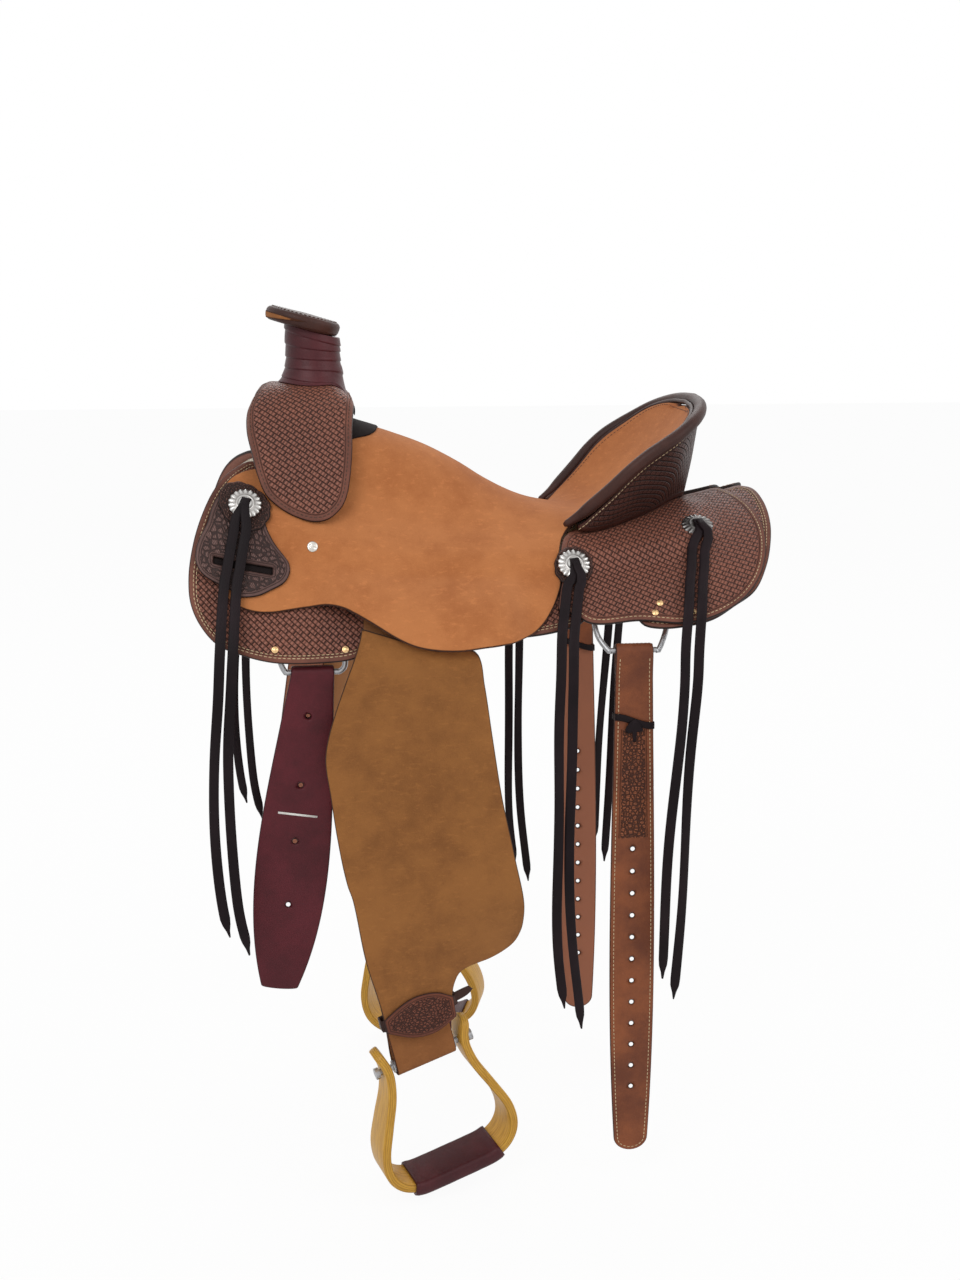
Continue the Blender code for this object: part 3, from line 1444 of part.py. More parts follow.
STRING_LAY = {
    "front": ((-0.2910, 0.1165, 0.0058), (-0.2930, 0.1330, 0.0038), (-0.2965, 0.1620, 0.0038),
              (-0.2995, 0.1850, 0.0045)),
    "mid": ((0.0900, 0.1525, 0.0058), (0.0865, 0.1680, 0.0038), (0.0825, 0.1880, 0.0042)),
    "rear": ((0.2450, 0.1260, 0.0034), (0.2390, 0.1500, 0.0042), (0.2315, 0.1780, 0.0068),
             (0.2260, 0.2040, 0.0092)),
}
STRING_FREE = {
    "front": ((-0.3020, 0.2240, -0.055), (-0.3055, 0.2310, -0.105), (-0.3110, 0.2310, -0.180),
              (-0.3125, 0.2310, -0.270), (-0.3080, 0.2310, -0.350), (-0.2960, 0.2310, -0.410)),
    "mid": ((0.0770, 0.2130, -0.050), (0.0745, 0.2270, -0.095), (0.0725, 0.2300, -0.170),
            (0.0725, 0.2300, -0.290), (0.0755, 0.2300, -0.410), (0.0870, 0.2300, -0.520)),
    "rear": ((0.2185, 0.2175, -0.065), (0.2160, 0.2250, -0.110), (0.2110, 0.2260, -0.200),
             (0.2060, 0.2260, -0.300), (0.2020, 0.2260, -0.400), (0.1990, 0.2260, -0.490)),
}
STRING_SPREAD = {"front": (0.0, 0.009), "mid": (0.0, 0.008), "rear": (0.001, 0.010)}


def lying_on(tie, side, height):
    """Height of a string at a height over the leather at its tie."""
    under = over_keeper if tie == "front" and side == NEAR else over_seat if tie == "front" else over_rear

    def lift(x, drop):
        return under(x, drop) + height
    return lift


def string_track(tie, side):
    """Route of a pair of strings from its concho, over the leather and straight down."""
    place = tie_frame(tie_layers(side)[tie][0], tie_layers(side)[tie][3])
    clear = 3 * GAP + STRING_THICK / 2
    points = [place @ Vector((0, -CONCHO_RADIUS * share, CONCHO_HEIGHT * height + clear))
              for share, height in ((0.0, 1.0), (0.5, 0.93), (1.10, 0.42))]
    for x, drop, height in STRING_LAY[tie]:
        points.append(back_spot(along(x), down(drop), lying_on(tie, side, height)))
    for x, out, height in STRING_FREE[tie]:
        points.append(Vector((along(x), -out * BACK_WIDTH / DRAFT_WIDTH, height)))
    return Track(points)


def make_strings(tie, side):
    """Pair of latigo strings, joined at the concho and slit below it."""
    track = string_track(tie, side)
    spread_top, spread_low = STRING_SPREAD[tie]
    width = STRING_WIDTH
    slit = 0.045
    total = track.total
    steps = 8
    slot = 0.0006

    def centre(sign, length):
        share = smooth((length - slit) / (total - slit))
        return sign * (width / 2 + slot + mix(spread_top, spread_low - width / 2, share) * 0.5)
    lengths = [slit + (total - slit) * k / steps for k in range(steps + 1)]
    shorter = 0.028

    def leg(sign, outer):
        edge = sign * outer * width / 2
        return [(centre(sign, length) + edge, length if sign > 0 else length - shorter * (length - slit) / (
            total - slit)) for length in lengths]
    right_out, right_in = leg(1, 1), leg(1, -1)
    left_in, left_out = leg(-1, -1), leg(-1, 1)
    right_out[-1] = (right_out[-1][0] - width * 0.35, right_out[-1][1] - 0.001)
    left_out[-1] = (left_out[-1][0] + width * 0.35, left_out[-1][1] - 0.004)
    top = 0.0
    outline = [(-width * 0.55, top), (width * 0.55, top)] + right_out + right_in[::-1] + left_in
    outline += left_out[::-1]

    def form(across, length, face):
        here = track.at(length)
        ahead = Vector(track.at(length + 0.002) - track.at(length - 0.002)).normalized()
        sideways = Vector((1, 0, 0)) - ahead * ahead.x
        sideways.normalize()
        normal = ahead.cross(sideways)
        if normal.y > 0:
            normal = -normal
        return Vector(here) + sideways * across + normal * STRING_THICK * (face - 0.5)
    cuts = [float(length) for length in track.lengths[1:-1]]
    bm = bent_sheet(outline, [], cuts, form)
    if side == OFF:
        bm = mirrored(bm)
    word = "near_" if side == NEAR else "off_"
    strings = place_piece(word + tie + "_strings", bm, LEATHER_STRING)
    pivot = Vector(track.points[0])
    pivot.y = pivot.y if side == NEAR else -pivot.y
    set_pivot(strings, pivot)
    return strings


# Fenders, stirrup leathers and stirrups

HEAD = (-0.1135, 0.2218, -0.0600)       # where the drop of the hanging leather is counted from
SWING_DROP = 0.0175                     # its swing pivot, where it leaves the skirt
SWING_AFT = 0.0232                      # pivot behind the leather's middle, over the centre of mass
FENDER_EDGE = (
    (-0.0405, -0.0240), (-0.0415, -0.0170), (-0.0600, 0.0355), (-0.0720, 0.0700), (-0.0815, 0.1050),
    (-0.0835, 0.1240), (-0.0785, 0.1660), (-0.0725, 0.2130), (-0.0615, 0.2730), (-0.0560, 0.2900),
    (-0.0460, 0.3645), (-0.0400, 0.4100), (-0.0390, 0.4450), (0.0000, 0.4600), (0.0300, 0.4650),
    (0.0440, 0.4590), (0.0477, 0.4290), (0.0545, 0.4115), (0.0600, 0.4035), (0.0675, 0.3990),
    (0.1017, 0.3930), (0.1180, 0.3860), (0.1300, 0.3760), (0.1390, 0.3560), (0.1420, 0.3380),
    (0.1426, 0.3076), (0.1300, 0.2400), (0.1160, 0.1730), (0.1050, 0.1030), (0.0956, 0.0400),
    (0.0888, 0.0060), (0.0850, 0.0020), (0.0400, 0.0000), (0.0100, -0.0090),
)


def fall(drop):
    """Draft drop of the hanging leather, at the real fender drop."""
    return drop * FENDER_DROP / DRAFT_FENDER_DROP


@functools.lru_cache(maxsize=None)
def hanging_frame(drop):
    """Centre, across, out and down directions of the near stirrup leather at a drop."""
    def turns(value):
        ease = smooth((value - fall(TURN_START)) / fall(TURN_END - TURN_START))
        return STIRRUP_TURN * ease, STIRRUP_LEAN * ease

    def downward(value):
        turn, lean = turns(value)
        return Vector((math.sin(lean) * math.cos(turn), math.sin(lean) * math.sin(turn), -math.cos(lean)))
    centre = Vector((along(HEAD[0]), -HEAD[1], HEAD[2]))
    steps = 60
    for k in range(steps):
        centre += downward(drop * (k + 0.5) / steps) * drop / steps
    turn, lean = turns(drop)
    across = Vector((math.cos(turn) * math.cos(lean), math.sin(turn) * math.cos(lean), math.sin(lean)))
    out = Vector((math.sin(turn), -math.cos(turn), 0.0))
    return centre, across, out, downward(drop)


def hang(across, drop, out):
    """Near-side point on the hanging leather, which leans in over the flank above its pivot."""
    centre, side, normal, _ = hanging_frame(round(drop, 6))
    over = max(fall(SWING_DROP) - drop, 0.0)
    return centre + side * across + normal * (out - 0.50 * over * over / (over + 0.016))


def swing_pivot():
    """Point that the near fender, leathers and stirrup swing about."""
    return Vector((along(HEAD[0]) + SWING_AFT, -HEAD[1], HEAD[2] - fall(SWING_DROP)))


PLY_OUT = -FENDER_THICK / 2 - GAP                     # outside of the stirrup leather, at the fender
PLY_IN = PLY_OUT - STIRRUP_LEATHER_THICK
TURN_ROOM = 0.0011                                    # extra clearance where the leathers turn
BOLT_OUT = PLY_IN - TURN_ROOM - GAP - ROLLER_RADIUS
SLEEVE_WALL = 0.0013
SLEEVE_ROOM = 0.0018 + SLEEVE_WALL                    # how far the leather stands off for the sleeve
SLEEVE_DIP = (0.130, 0.160, 0.300, 0.335)
BUCKLE_TAIL = 0.205
SLEEVE_REST = (0.222, 0.262)
PLATE_SPAN = (0.212, 0.292)
PLATE_THICK = 0.0016
POST_DROP = 0.280


def make_fender():
    """Fender of one side."""
    outline = [(across, fall(drop)) for across, drop in FENDER_EDGE]

    def form(across, drop, side):
        return hang(across, drop, FENDER_THICK * (side - 0.5))
    drops = (-0.012, 0.0, 0.009, 0.0175, 0.26, 0.30, 0.33, 0.36, 0.39, 0.41, 0.43, 0.45)
    cuts_drop = [fall(d) for d in drops]
    return bent_sheet(outline, grid(-0.084, 0.143, 0.045), cuts_drop, form)


def sleeve_dip(drop):
    """How far the stirrup leather stands off the fender to let the sleeve slide."""
    a, b, c, d = (fall(value) for value in SLEEVE_DIP)
    turning = TURN_ROOM * smooth((drop - fall(0.24)) / 0.05)
    return max(SLEEVE_ROOM * smooth((drop - a) / (b - a)) * smooth((d - drop) / (d - c)), turning)


def leather_track():
    """Stirrup leather line (out, drop): down the front, round the roller and up behind."""
    radius = ROLLER_RADIUS + GAP
    bolt = FENDER_DROP
    points = []
    for drop in (0.0180, *np.linspace(0.125, 0.34, 8), 0.38, 0.43, 0.47):
        here = fall(float(drop))
        points.append((PLY_OUT - sleeve_dip(here), here))
    for k in range(7):
        angle = math.pi * k / 6
        ring = radius + STIRRUP_LEATHER_THICK
        points.append((BOLT_OUT + ring * math.cos(angle), bolt + ring * math.sin(angle)))
    joined = PLY_IN - GAP - STIRRUP_LEATHER_THICK
    for k in range(1, 5):
        share = smooth(k / 4)
        start = BOLT_OUT - radius - STIRRUP_LEATHER_THICK
        points.append((mix(start, joined - TURN_ROOM, share), bolt - 0.060 * k / 4))
    for drop in (0.40, 0.365, *np.linspace(0.33, BUCKLE_TAIL, 5)):
        here = fall(float(drop))
        points.append((joined - sleeve_dip(here), here))
    return Track(points)


def make_stirrup_leather():
    """Lower stirrup leather, looped round the stirrup's roller."""
    track = leather_track()
    half = STIRRUP_LEATHER_WIDTH / 2
    outline = [(half, 0.0), (half, track.total), (-half, track.total), (-half, 0.0)]

    def form(across, length, side):
        out, drop = track.at(length)
        ahead = track.at(length + 1e-4) - track.at(length - 1e-4)
        ahead = ahead / np.linalg.norm(ahead)
        normal = np.array((ahead[1], -ahead[0])) * STIRRUP_LEATHER_THICK * (side - 1.0)
        return hang(across, float(drop + normal[1]), float(out + normal[0]))
    return bent_sheet(outline, [0.0], [float(v) for v in track.lengths[1:-1]], form)


UPPER_LEATHER_DROPS = (0.122, 0.252)
LEAVE_SKIRT = (0.188, 0.226)
SWING_ROOM = 0.0014                     # room for the fender's head as it swings


def make_upper_leather():
    """Upper stirrup leather: over the skirt from the bar, then straight down inside the fender's head."""
    plane = HEAD[1] + PLY_IN - GAP - UPPER_LEATHER_THICK
    x, half = along(HEAD[0]), STIRRUP_LEATHER_WIDTH / 2
    leave, clear = (down(value) for value in LEAVE_SKIRT)
    level = float(drape(x, down(0.200), SKIRT_OVER)[2])

    def form(u, drop, side):
        lying = drape(u, drop, SKIRT_OVER + 3 * GAP + UPPER_LEATHER_THICK * side)
        room = SWING_ROOM * (1 - smooth((drop - clear) / down(0.030)))
        free = np.array((u, -(plane - room + UPPER_LEATHER_THICK * side), level - (drop - down(0.200))))
        return mix(lying, free, smooth((drop - leave) / (clear - leave)))
    top, low = (down(value) for value in UPPER_LEATHER_DROPS)
    outline = [(x - half, top), (x + half, top), (x + half, low), (x - half, low)]
    return UPPER_FOLDS.sheet(outline, form)


def box_in_hang(low, high):
    """Box on the hanging leather, from corner (across, drop, out) to corner."""
    def form(across, drop, side):
        return hang(across, drop, mix(low[2], high[2], side))
    outline = [(low[0], low[1]), (high[0], low[1]), (high[0], high[1]), (low[0], high[1])]
    return bent_sheet(outline, [], [], form)


def make_buckle_plate():
    """Steel plate behind the leathers with the two posts that pin them together."""
    back = PLY_IN - GAP - STIRRUP_LEATHER_THICK - SLEEVE_ROOM - GAP
    bm = box_in_hang((-0.019, fall(PLATE_SPAN[0]), back - PLATE_THICK),
                     (0.019, fall(PLATE_SPAN[1]), back))
    return bm, back


def post_shape(across, drop, radius, low, high):
    """Round bar through hanging leather, from one depth to another."""
    centre, side, normal, _ = hanging_frame(round(drop, 6))
    middle = centre + side * across + normal * (low + high) / 2
    bm = bmesh.new()
    bmesh.ops.create_cone(bm, cap_ends=True, segments=8, radius1=radius, radius2=radius, depth=high - low,
                          matrix=frame_matrix(middle, side, normal))
    return bm


def make_sleeve():
    """Flat steel sleeve that slides down over the plate to lock the leathers."""
    low, high = fall(SLEEVE_REST[0]), fall(SLEEVE_REST[0]) + SLEEVE_REST[1] - SLEEVE_REST[0]
    inner_half = STIRRUP_LEATHER_WIDTH / 2 + 0.0008
    front = PLY_OUT - SLEEVE_ROOM + GAP
    back = PLY_IN - 2 * GAP - STIRRUP_LEATHER_THICK - SLEEVE_ROOM - PLATE_THICK - GAP
    rings = []
    for half, out_low, out_high, drop in (
            (inner_half + SLEEVE_WALL, back - SLEEVE_WALL, front + SLEEVE_WALL, low),
            (inner_half + SLEEVE_WALL, back - SLEEVE_WALL, front + SLEEVE_WALL, high),
            (inner_half, back, front, high), (inner_half, back, front, low)):
        corners = ((-half, out_low), (half, out_low), (half, out_high), (-half, out_high))
        rings.append([hang(across, drop, out) for across, out in corners])
    return lofted(rings, closed=True)


LEAF_EDGE = ((-0.0395, 0.4300), (-0.0174, 0.4197), (0.0036, 0.4142), (0.0290, 0.4180), (0.0470, 0.4305),
             (0.0455, 0.4590), (0.0180, 0.4680), (-0.0082, 0.4645), (-0.0395, 0.4465))


def make_hobble():
    """Hobble strap: a band round the leathers' neck with its tooled leaf on the fender."""
    thick = 0.003
    front = FENDER_THICK / 2 + 0.0008
    leaf = [(across, fall(drop)) for across, drop in LEAF_EDGE]

    def leaf_form(across, drop, side):
        return hang(across, drop, front + thick * side)
    bm = bent_sheet(leaf, [-0.015, 0.012], [fall(0.43), fall(0.445)], leaf_form)
    hobble = place_piece("near_hobble_strap", bm, LEATHER_DARK)
    back = PLY_IN - 2 * TURN_ROOM - GAP - STIRRUP_LEATHER_THICK - 0.0010
    left, right = -0.0415, 0.0495
    band = Track([(right - 0.010, front), (right, front), (right, back), (left, back), (left, front),
                  (left + 0.010, front)])
    low, high = fall(0.4315), fall(0.4455)

    def band_form(drop, length, side):
        across, out = band.at(length)
        centre = ((left + right) / 2, (front + back) / 2)
        grow_a = 0.0
        if abs(across - right) < 1e-6:
            grow_a = thick * side
        elif abs(across - left) < 1e-6:
            grow_a = -thick * side
        grow_o = thick * side if out > centre[1] else -thick * side
        return hang(across + grow_a, drop, out + grow_o)
    strip = bent_sheet([(low, 0.0), (high, 0.0), (high, band.total), (low, band.total)], [],
                       [float(v) for v in band.lengths[1:-1]], band_form)
    boolean(hobble, cutter("hobble_band", strip), "UNION")
    tip = bent_sheet([(right + 0.001, fall(0.4325)), (right + 0.020, fall(0.428)),
                      (right + 0.024, fall(0.4345)), (right + 0.017, fall(0.4400)),
                      (right + 0.001, fall(0.4440))], [], [],
                     lambda across, drop, side: hang(across, drop, -0.004 + 0.0025 * side))
    boolean(hobble, cutter("hobble_tip", tip), "UNION")
    finish_material(hobble, LEATHER_DARK)
    return hobble


# Stirrup in its own frame: u along the bolt, v up from the bolt, n out

STIRRUP_LINE = (
    (-0.0575, 0.0300), (-0.0510, 0.0120), (-0.0495, -0.0060), (-0.0550, -0.0320), (-0.0680, -0.0640),
    (-0.0805, -0.0980), (-0.0810, -0.1260), (-0.0695, -0.1450), (-0.0500, -0.1545), (-0.0250, -0.1560),
    (0.0, -0.1560),
)


def stirrup_frame():
    """Placement of the near stirrup: X along the bolt, Y in, Z up."""
    _, across, out, downward = hanging_frame(round(FENDER_DROP, 6))
    origin = hang(0.0, FENDER_DROP, BOLT_OUT)
    turn = Matrix((across, -out, -downward)).transposed().to_4x4()
    return Matrix.Translation(origin) @ turn


def stirrup_rows(line, depth_of, thick, start, end):
    """Rectangular sections along the bent wood, corners broken."""
    rows = []
    for i in range(start, end):
        ahead = line[min(i + 1, len(line) - 1)] - line[max(i - 1, 0)]
        ahead = ahead / np.linalg.norm(ahead)
        side = np.array((ahead[1], -ahead[0]))
        depth = depth_of(line[i]) / 2
        half = thick / 2
        chamfer = min(0.002, half / 2)
        row = []
        for out, normal in ((-depth, half - chamfer), (-depth + chamfer, half), (depth - chamfer, half),
                            (depth, half - chamfer), (depth, -half + chamfer), (depth - chamfer, -half),
                            (-depth + chamfer, -half), (-depth, -half + chamfer)):
            spot = line[i] + side * normal
            row.append(Vector((spot[0], out, spot[1])))
        rows.append(row)
    return rows


def wood_depth(point):
    """Depth of the bent wood, widest at the tread."""
    return mix(EAR_DEPTH, TREAD_DEPTH, smooth((0.02 - point[1]) / 0.12))


def stirrup_line():
    """Centreline of the bent wood, from ear to ear."""
    half = np.array(STIRRUP_LINE)
    other = np.array([(-u, v) for u, v in half[:-1]])[::-1]
    return np.concatenate([half, other])


def make_stirrup(place):
    """Bent-wood stirrup frame with the bolt holes through its ears."""
    line = stirrup_line()
    rows = stirrup_rows(line, wood_depth, WOOD_THICK, 0, len(line))
    frame = place_piece("near_stirrup_frame", lofted(rows), BENT_WOOD)
    frame.data.transform(place)
    hole = bmesh.new()
    turn = Matrix.Rotation(math.pi / 2, 4, "Y")
    bore = BOLT_RADIUS + GAP
    bmesh.ops.create_cone(hole, cap_ends=True, segments=16, radius1=bore, radius2=bore, depth=0.2,
                          matrix=place @ turn)
    boolean(frame, cutter("bolt_hole", hole), "DIFFERENCE")
    finish_material(frame, BENT_WOOD)
    return frame


def make_tread_wrap(place):
    """Leather wrapped round the stirrup's tread."""
    line = stirrup_line()
    inside = [i for i in range(len(line)) if abs(line[i][0]) < TREAD_WRAP_HALF and line[i][1] < -0.1]
    first, last = inside[0], inside[-1] + 1
    gap = GAP
    outer = stirrup_rows(line, lambda p: TREAD_DEPTH + 2 * (TREAD_WRAP_THICK + gap),
                         WOOD_THICK + 2 * (TREAD_WRAP_THICK + gap), first, last)
    inner = stirrup_rows(line, lambda p: TREAD_DEPTH + 2 * gap, WOOD_THICK + 2 * gap, first, last)
    bm = lofted(outer + inner[::-1], closed=True)
    bmesh.ops.transform(bm, matrix=place, verts=bm.verts[:])
    return place_piece("near_tread_wrap", bm, LEATHER_BURGUNDY)


def ear_outside():
    """How far the outside of the stirrup's ears is from its middle at the bolt."""
    return 0.0505 + WOOD_THICK / 2


def make_bolt(place):
    """Stirrup bolt with its head, nut and the roller that the leather turns on."""
    roller = STIRRUP_LEATHER_WIDTH / 2 + 0.002
    outside = ear_outside() + 0.002
    r = BOLT_RADIUS
    profile = [(0.0, outside + 0.005), (r + 0.003, outside + 0.005), (r + 0.003, outside), (r, outside),
               (r, roller), (ROLLER_RADIUS - GAP, roller), (ROLLER_RADIUS - GAP, -roller), (r, -roller),
               (r, -outside), (r + 0.003, -outside), (r + 0.003, -outside - 0.005), (0.0, -outside - 0.005)]
    bm = turned(profile, 16, place @ Matrix.Rotation(math.pi / 2, 4, "Y"))
    return place_piece("near_stirrup_bolt", bm, STEEL)


def make_swinging_parts():
    """Everything that swings from one side of the tree, made near and copied to the off side."""
    fender = place_piece("near_fender", make_fender(), LEATHER_FENDER)
    leather = place_piece("near_stirrup_leather", make_stirrup_leather(), LEATHER_SEAT)
    plate_mesh, back = make_buckle_plate()
    plate = place_piece("near_buckle_plate", plate_mesh, STEEL)
    front = PLY_OUT - SLEEVE_ROOM
    for across in (-0.010, 0.010):
        drop = fall(POST_DROP)
        post = post_shape(across, drop, 0.003, back - PLATE_THICK / 2, front)
        boolean(plate, cutter("buckle_post", post), "UNION")
        hole = post_shape(across, drop, 0.003 + GAP, back - 0.002, front + 0.002)
        boolean(leather, cutter("post_hole", hole), "DIFFERENCE")
    finish_material(plate, STEEL)
    finish_material(leather, LEATHER_SEAT)
    sleeve = place_piece("near_buckle_sleeve", make_sleeve(), STEEL)
    hobble = make_hobble()
    place = stirrup_frame()
    stirrup = make_stirrup(place)
    wrap = make_tread_wrap(place)
    bolt = make_bolt(place)
    pieces = [fender, leather, plate, sleeve, hobble, stirrup, wrap, bolt]
    kinds = ["leather", "leather", "steel", "steel", "leather", "wood", "leather", "steel"]
    for _ in range(2):
        turn = hang_plumb(pieces, swing_pivot(), Vector((0, 1, 0)), [DENSITY[kind] for kind in kinds])
        place = turn @ place
        bolt_axis = place.col[0].to_3d().normalized()
        place = hang_plumb(pieces[5:], place.translation, bolt_axis, [DENSITY[k] for k in kinds[5:]]) @ place
    swing, turned_bolt = swing_pivot(), place.translation
    middle = mass_centre([(sleeve, DENSITY["steel"])])[1]
    for piece, pivot in zip(pieces, [swing, swing, swing, middle, swing] + [turned_bolt] * 3):
        twin = piece.copy()
        twin.data = piece.data.copy()
        twin.name = piece.name.replace("near_", "off_")
        bpy.data.collections["wade_saddle"].objects.link(twin)
        flip(twin)
        set_pivot(piece, pivot)
        set_pivot(twin, (pivot.x, -pivot.y, pivot.z))
    return pieces


def clear_scene():
    """Remove what is in the file and make the two collections."""
    for item in list(bpy.data.objects):
        bpy.data.objects.remove(item)
    for name in ("wade_saddle", "cutters"):
        collection = bpy.data.collections.new(name)
        bpy.context.scene.collection.children.link(collection)


def build_saddle():
    """Make every piece of the saddle."""
    clear_scene()
    both_sides("fleece", make_fleece, FLEECE)
    both_sides("skirt", make_skirt, LEATHER_DARK)
    both_sides("tree_bar", make_bar, TREE_WOOD)
    both_sides("rear_jockey", make_rear_jockey, LEATHER_DARK)
    both_sides("upper_stirrup_leather", make_upper_leather, LEATHER_SEAT)
    both_sides("front_dee", lambda: make_dee(FRONT_DEE), STEEL)
    both_sides("rear_dee", lambda: make_dee(REAR_DEE), STEEL)
    make_fork()
    cover = place_piece("fork_cover", make_fork_cover(), LEATHER_DARK)
    bore = turned([(0.0, 0.3), (POST_RADIUS + GAP, 0.3), (POST_RADIUS + GAP, 0.15), (0.0, 0.15)], 20,
                  Matrix.Translation((along(HORN_X), 0, 0)))
    boolean(cover, cutter("horn_bore", bore), "DIFFERENCE")
    finish_material(cover, LEATHER_DARK)
    make_horn_wrap()
    make_horn_cap()
    place_piece("seat_leather", make_seat(), LEATHER_SEAT)
    place_piece("ground_seat", make_ground_seat(), LEATHER_DARK)
    place_piece("tree_cantle", make_cantle(), TREE_WOOD)
    place_piece("cantle_cover", make_cantle_cover(), LEATHER_DARK)
    place_piece("cantle_binding", make_binding(), LEATHER_DARK)
    make_keeper()
    make_silver()
    for tie in STRING_LAY:
        for side in (NEAR, OFF):
            make_strings(tie, side)
    make_strap("near_latigo", FRONT_DEE, LATIGO, LATIGO_WIDTH, LATIGO_THICK, 0.003, LATIGO_HOLES,
               NEAR, LEATHER_BURGUNDY)
    make_strap("off_front_billet", FRONT_DEE, OFF_BILLET, LATIGO_WIDTH, LATIGO_THICK, 0.016,
               LATIGO_HOLES, OFF, LEATHER_RUSSET)
    for side, word in ((NEAR, "near_"), (OFF, "off_")):
        make_strap(word + "rear_billet", REAR_DEE, REAR_BILLET, BILLET_WIDTH, BILLET_THICK, 0.018,
                   REAR_BILLET_HOLES, side, LEATHER_RUSSET)
    make_swinging_parts()


build_saddle()
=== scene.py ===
"""Wade saddle: leathers, woolskin, strings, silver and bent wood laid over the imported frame.

Lengths are in metres in the part's frame: the horn is towards -X, the near side is -Y, and +Z is up. A leather
pattern is drawn flat, as (u, v), and a form bends it: form(u, v, face) gives points, where face runs from 0 on
the flesh side to 1 on the outside. Pattern points and cord routes repeat the ones in the part's own source;
conchos and dees are seated on the layers as the frame has them.
"""

import logging
import math
from dataclasses import dataclass
from enum import Enum
from functools import lru_cache
from typing import Callable, Dict, List, Optional, Sequence, Tuple, Union

import bpy
import numpy as np
from mathutils import Matrix, Vector, noise
from mathutils.geometry import delaunay_2d_cdt


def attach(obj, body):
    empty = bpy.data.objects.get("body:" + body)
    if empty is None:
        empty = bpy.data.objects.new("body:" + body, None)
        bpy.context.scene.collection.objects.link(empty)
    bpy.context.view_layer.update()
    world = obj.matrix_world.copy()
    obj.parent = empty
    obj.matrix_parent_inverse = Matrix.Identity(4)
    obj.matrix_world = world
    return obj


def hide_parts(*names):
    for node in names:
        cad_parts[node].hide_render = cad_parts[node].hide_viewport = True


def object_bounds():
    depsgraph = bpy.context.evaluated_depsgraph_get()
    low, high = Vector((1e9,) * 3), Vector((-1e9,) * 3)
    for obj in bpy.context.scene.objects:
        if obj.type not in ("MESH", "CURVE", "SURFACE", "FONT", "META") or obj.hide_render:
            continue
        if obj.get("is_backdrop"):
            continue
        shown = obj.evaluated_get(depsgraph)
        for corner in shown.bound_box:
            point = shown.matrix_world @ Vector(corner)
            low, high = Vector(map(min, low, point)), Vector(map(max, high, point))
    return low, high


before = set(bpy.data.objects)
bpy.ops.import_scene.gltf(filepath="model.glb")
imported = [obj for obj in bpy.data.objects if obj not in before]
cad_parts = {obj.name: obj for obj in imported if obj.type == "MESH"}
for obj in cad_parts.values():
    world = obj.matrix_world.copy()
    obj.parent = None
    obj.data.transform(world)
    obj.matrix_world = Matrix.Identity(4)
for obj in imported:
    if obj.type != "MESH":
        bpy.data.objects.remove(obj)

LOG = logging.getLogger("wade_saddle")
Array = np.ndarray
Form = Callable[[Array, Array, Array], Array]
Surface = Callable[[Array, Array], Array]
Colour = Tuple[float, float, float]
MM = 1000.0                              # millimetres in a metre, for the pattern attribute
STEP = 0.003                             # reach over which a surface's normal is read
GAP = 0.0003                             # clearance between pieces that lie on each other
BATCH = 2000                             # points that are measured at a time
FLIP = np.array((1.0, -1.0, 1.0))        # near side to off side


class Side(Enum):
    """The two sides of the saddle."""

    NEAR = "near"
    OFF = "off"


# Lines and surfaces

def ease(value: Array) -> Array:
    """Share from 0 to 1, eased at both ends."""
    value = np.clip(value, 0.0, 1.0)
    return value * value * (3 - 2 * value)


def blend(start: Array, end: Array, share: Array) -> Array:
    """Straight blend of two values at a share from 0 to 1."""
    return start + (end - start) * share


def unit(vectors: Array) -> Array:
    """Vectors at length 1."""
    return vectors / np.maximum(np.linalg.norm(vectors, axis=-1, keepdims=True), 1e-12)


def spline(points: Sequence[Sequence[float]], steps: int) -> Array:
    """Smooth curve through points (Catmull-Rom).

    Args:
        points: The points that it passes through.
        steps: Pieces between two of them.

    Returns:
        Points along the curve.
    """
    rows = [np.array(point, dtype=float) for point in points]
    ends = [2 * rows[0] - rows[1]] + rows + [2 * rows[-1] - rows[-2]]
    line = []
    for i in range(len(rows) - 1):
        a, b, c, d = ends[i:i + 4]
        for k in range(steps):
            t = k / steps
            line.append(0.5 * (2 * b + (c - a) * t + (2 * a - 5 * b + 4 * c - d) * t * t
                               + (3 * b - 3 * c + d - a) * t ** 3))
    line.append(rows[-1])
    return np.array(line)


def run_lengths(line: Array) -> Array:
    """Length run along a line at each of its points."""
    return np.concatenate([[0.0], np.cumsum(np.linalg.norm(np.diff(line, axis=0), axis=1))])


class Trail:
    """A line that can be read at any length along it."""

    def __init__(self, points: Array) -> None:
        """Measure the line.

        Args:
            points: The line's points.
        """
        self.points = np.array(points, dtype=float)
        self.lengths = run_lengths(self.points)
        self.total = float(self.lengths[-1])

    def at(self, length: Union[float, Array]) -> Array:
        """Points at lengths, going straight on past either end.

        Args:
            length: One length or several.

        Returns:
            One row for each length.
        """
        length = np.atleast_1d(np.asarray(length, dtype=float))
        inside = np.clip(length, 0.0, self.total)
        rows = np.stack([np.interp(inside, self.lengths, column) for column in self.points.T], axis=1)
        first = (self.points[1] - self.points[0]) / self.lengths[1]
        last = (self.points[-1] - self.points[-2]) / (self.total - self.lengths[-2])
        rows += np.minimum(length, 0.0)[:, None] * first
        return rows + np.maximum(length - self.total, 0.0)[:, None] * last

    def ahead(self, length: Union[float, Array], reach: float = 1e-4) -> Array:
        """Unit directions at lengths, each read over a reach to both sides."""
        length = np.atleast_1d(np.asarray(length, dtype=float))
        return unit(self.at(length + reach) - self.at(length - reach))


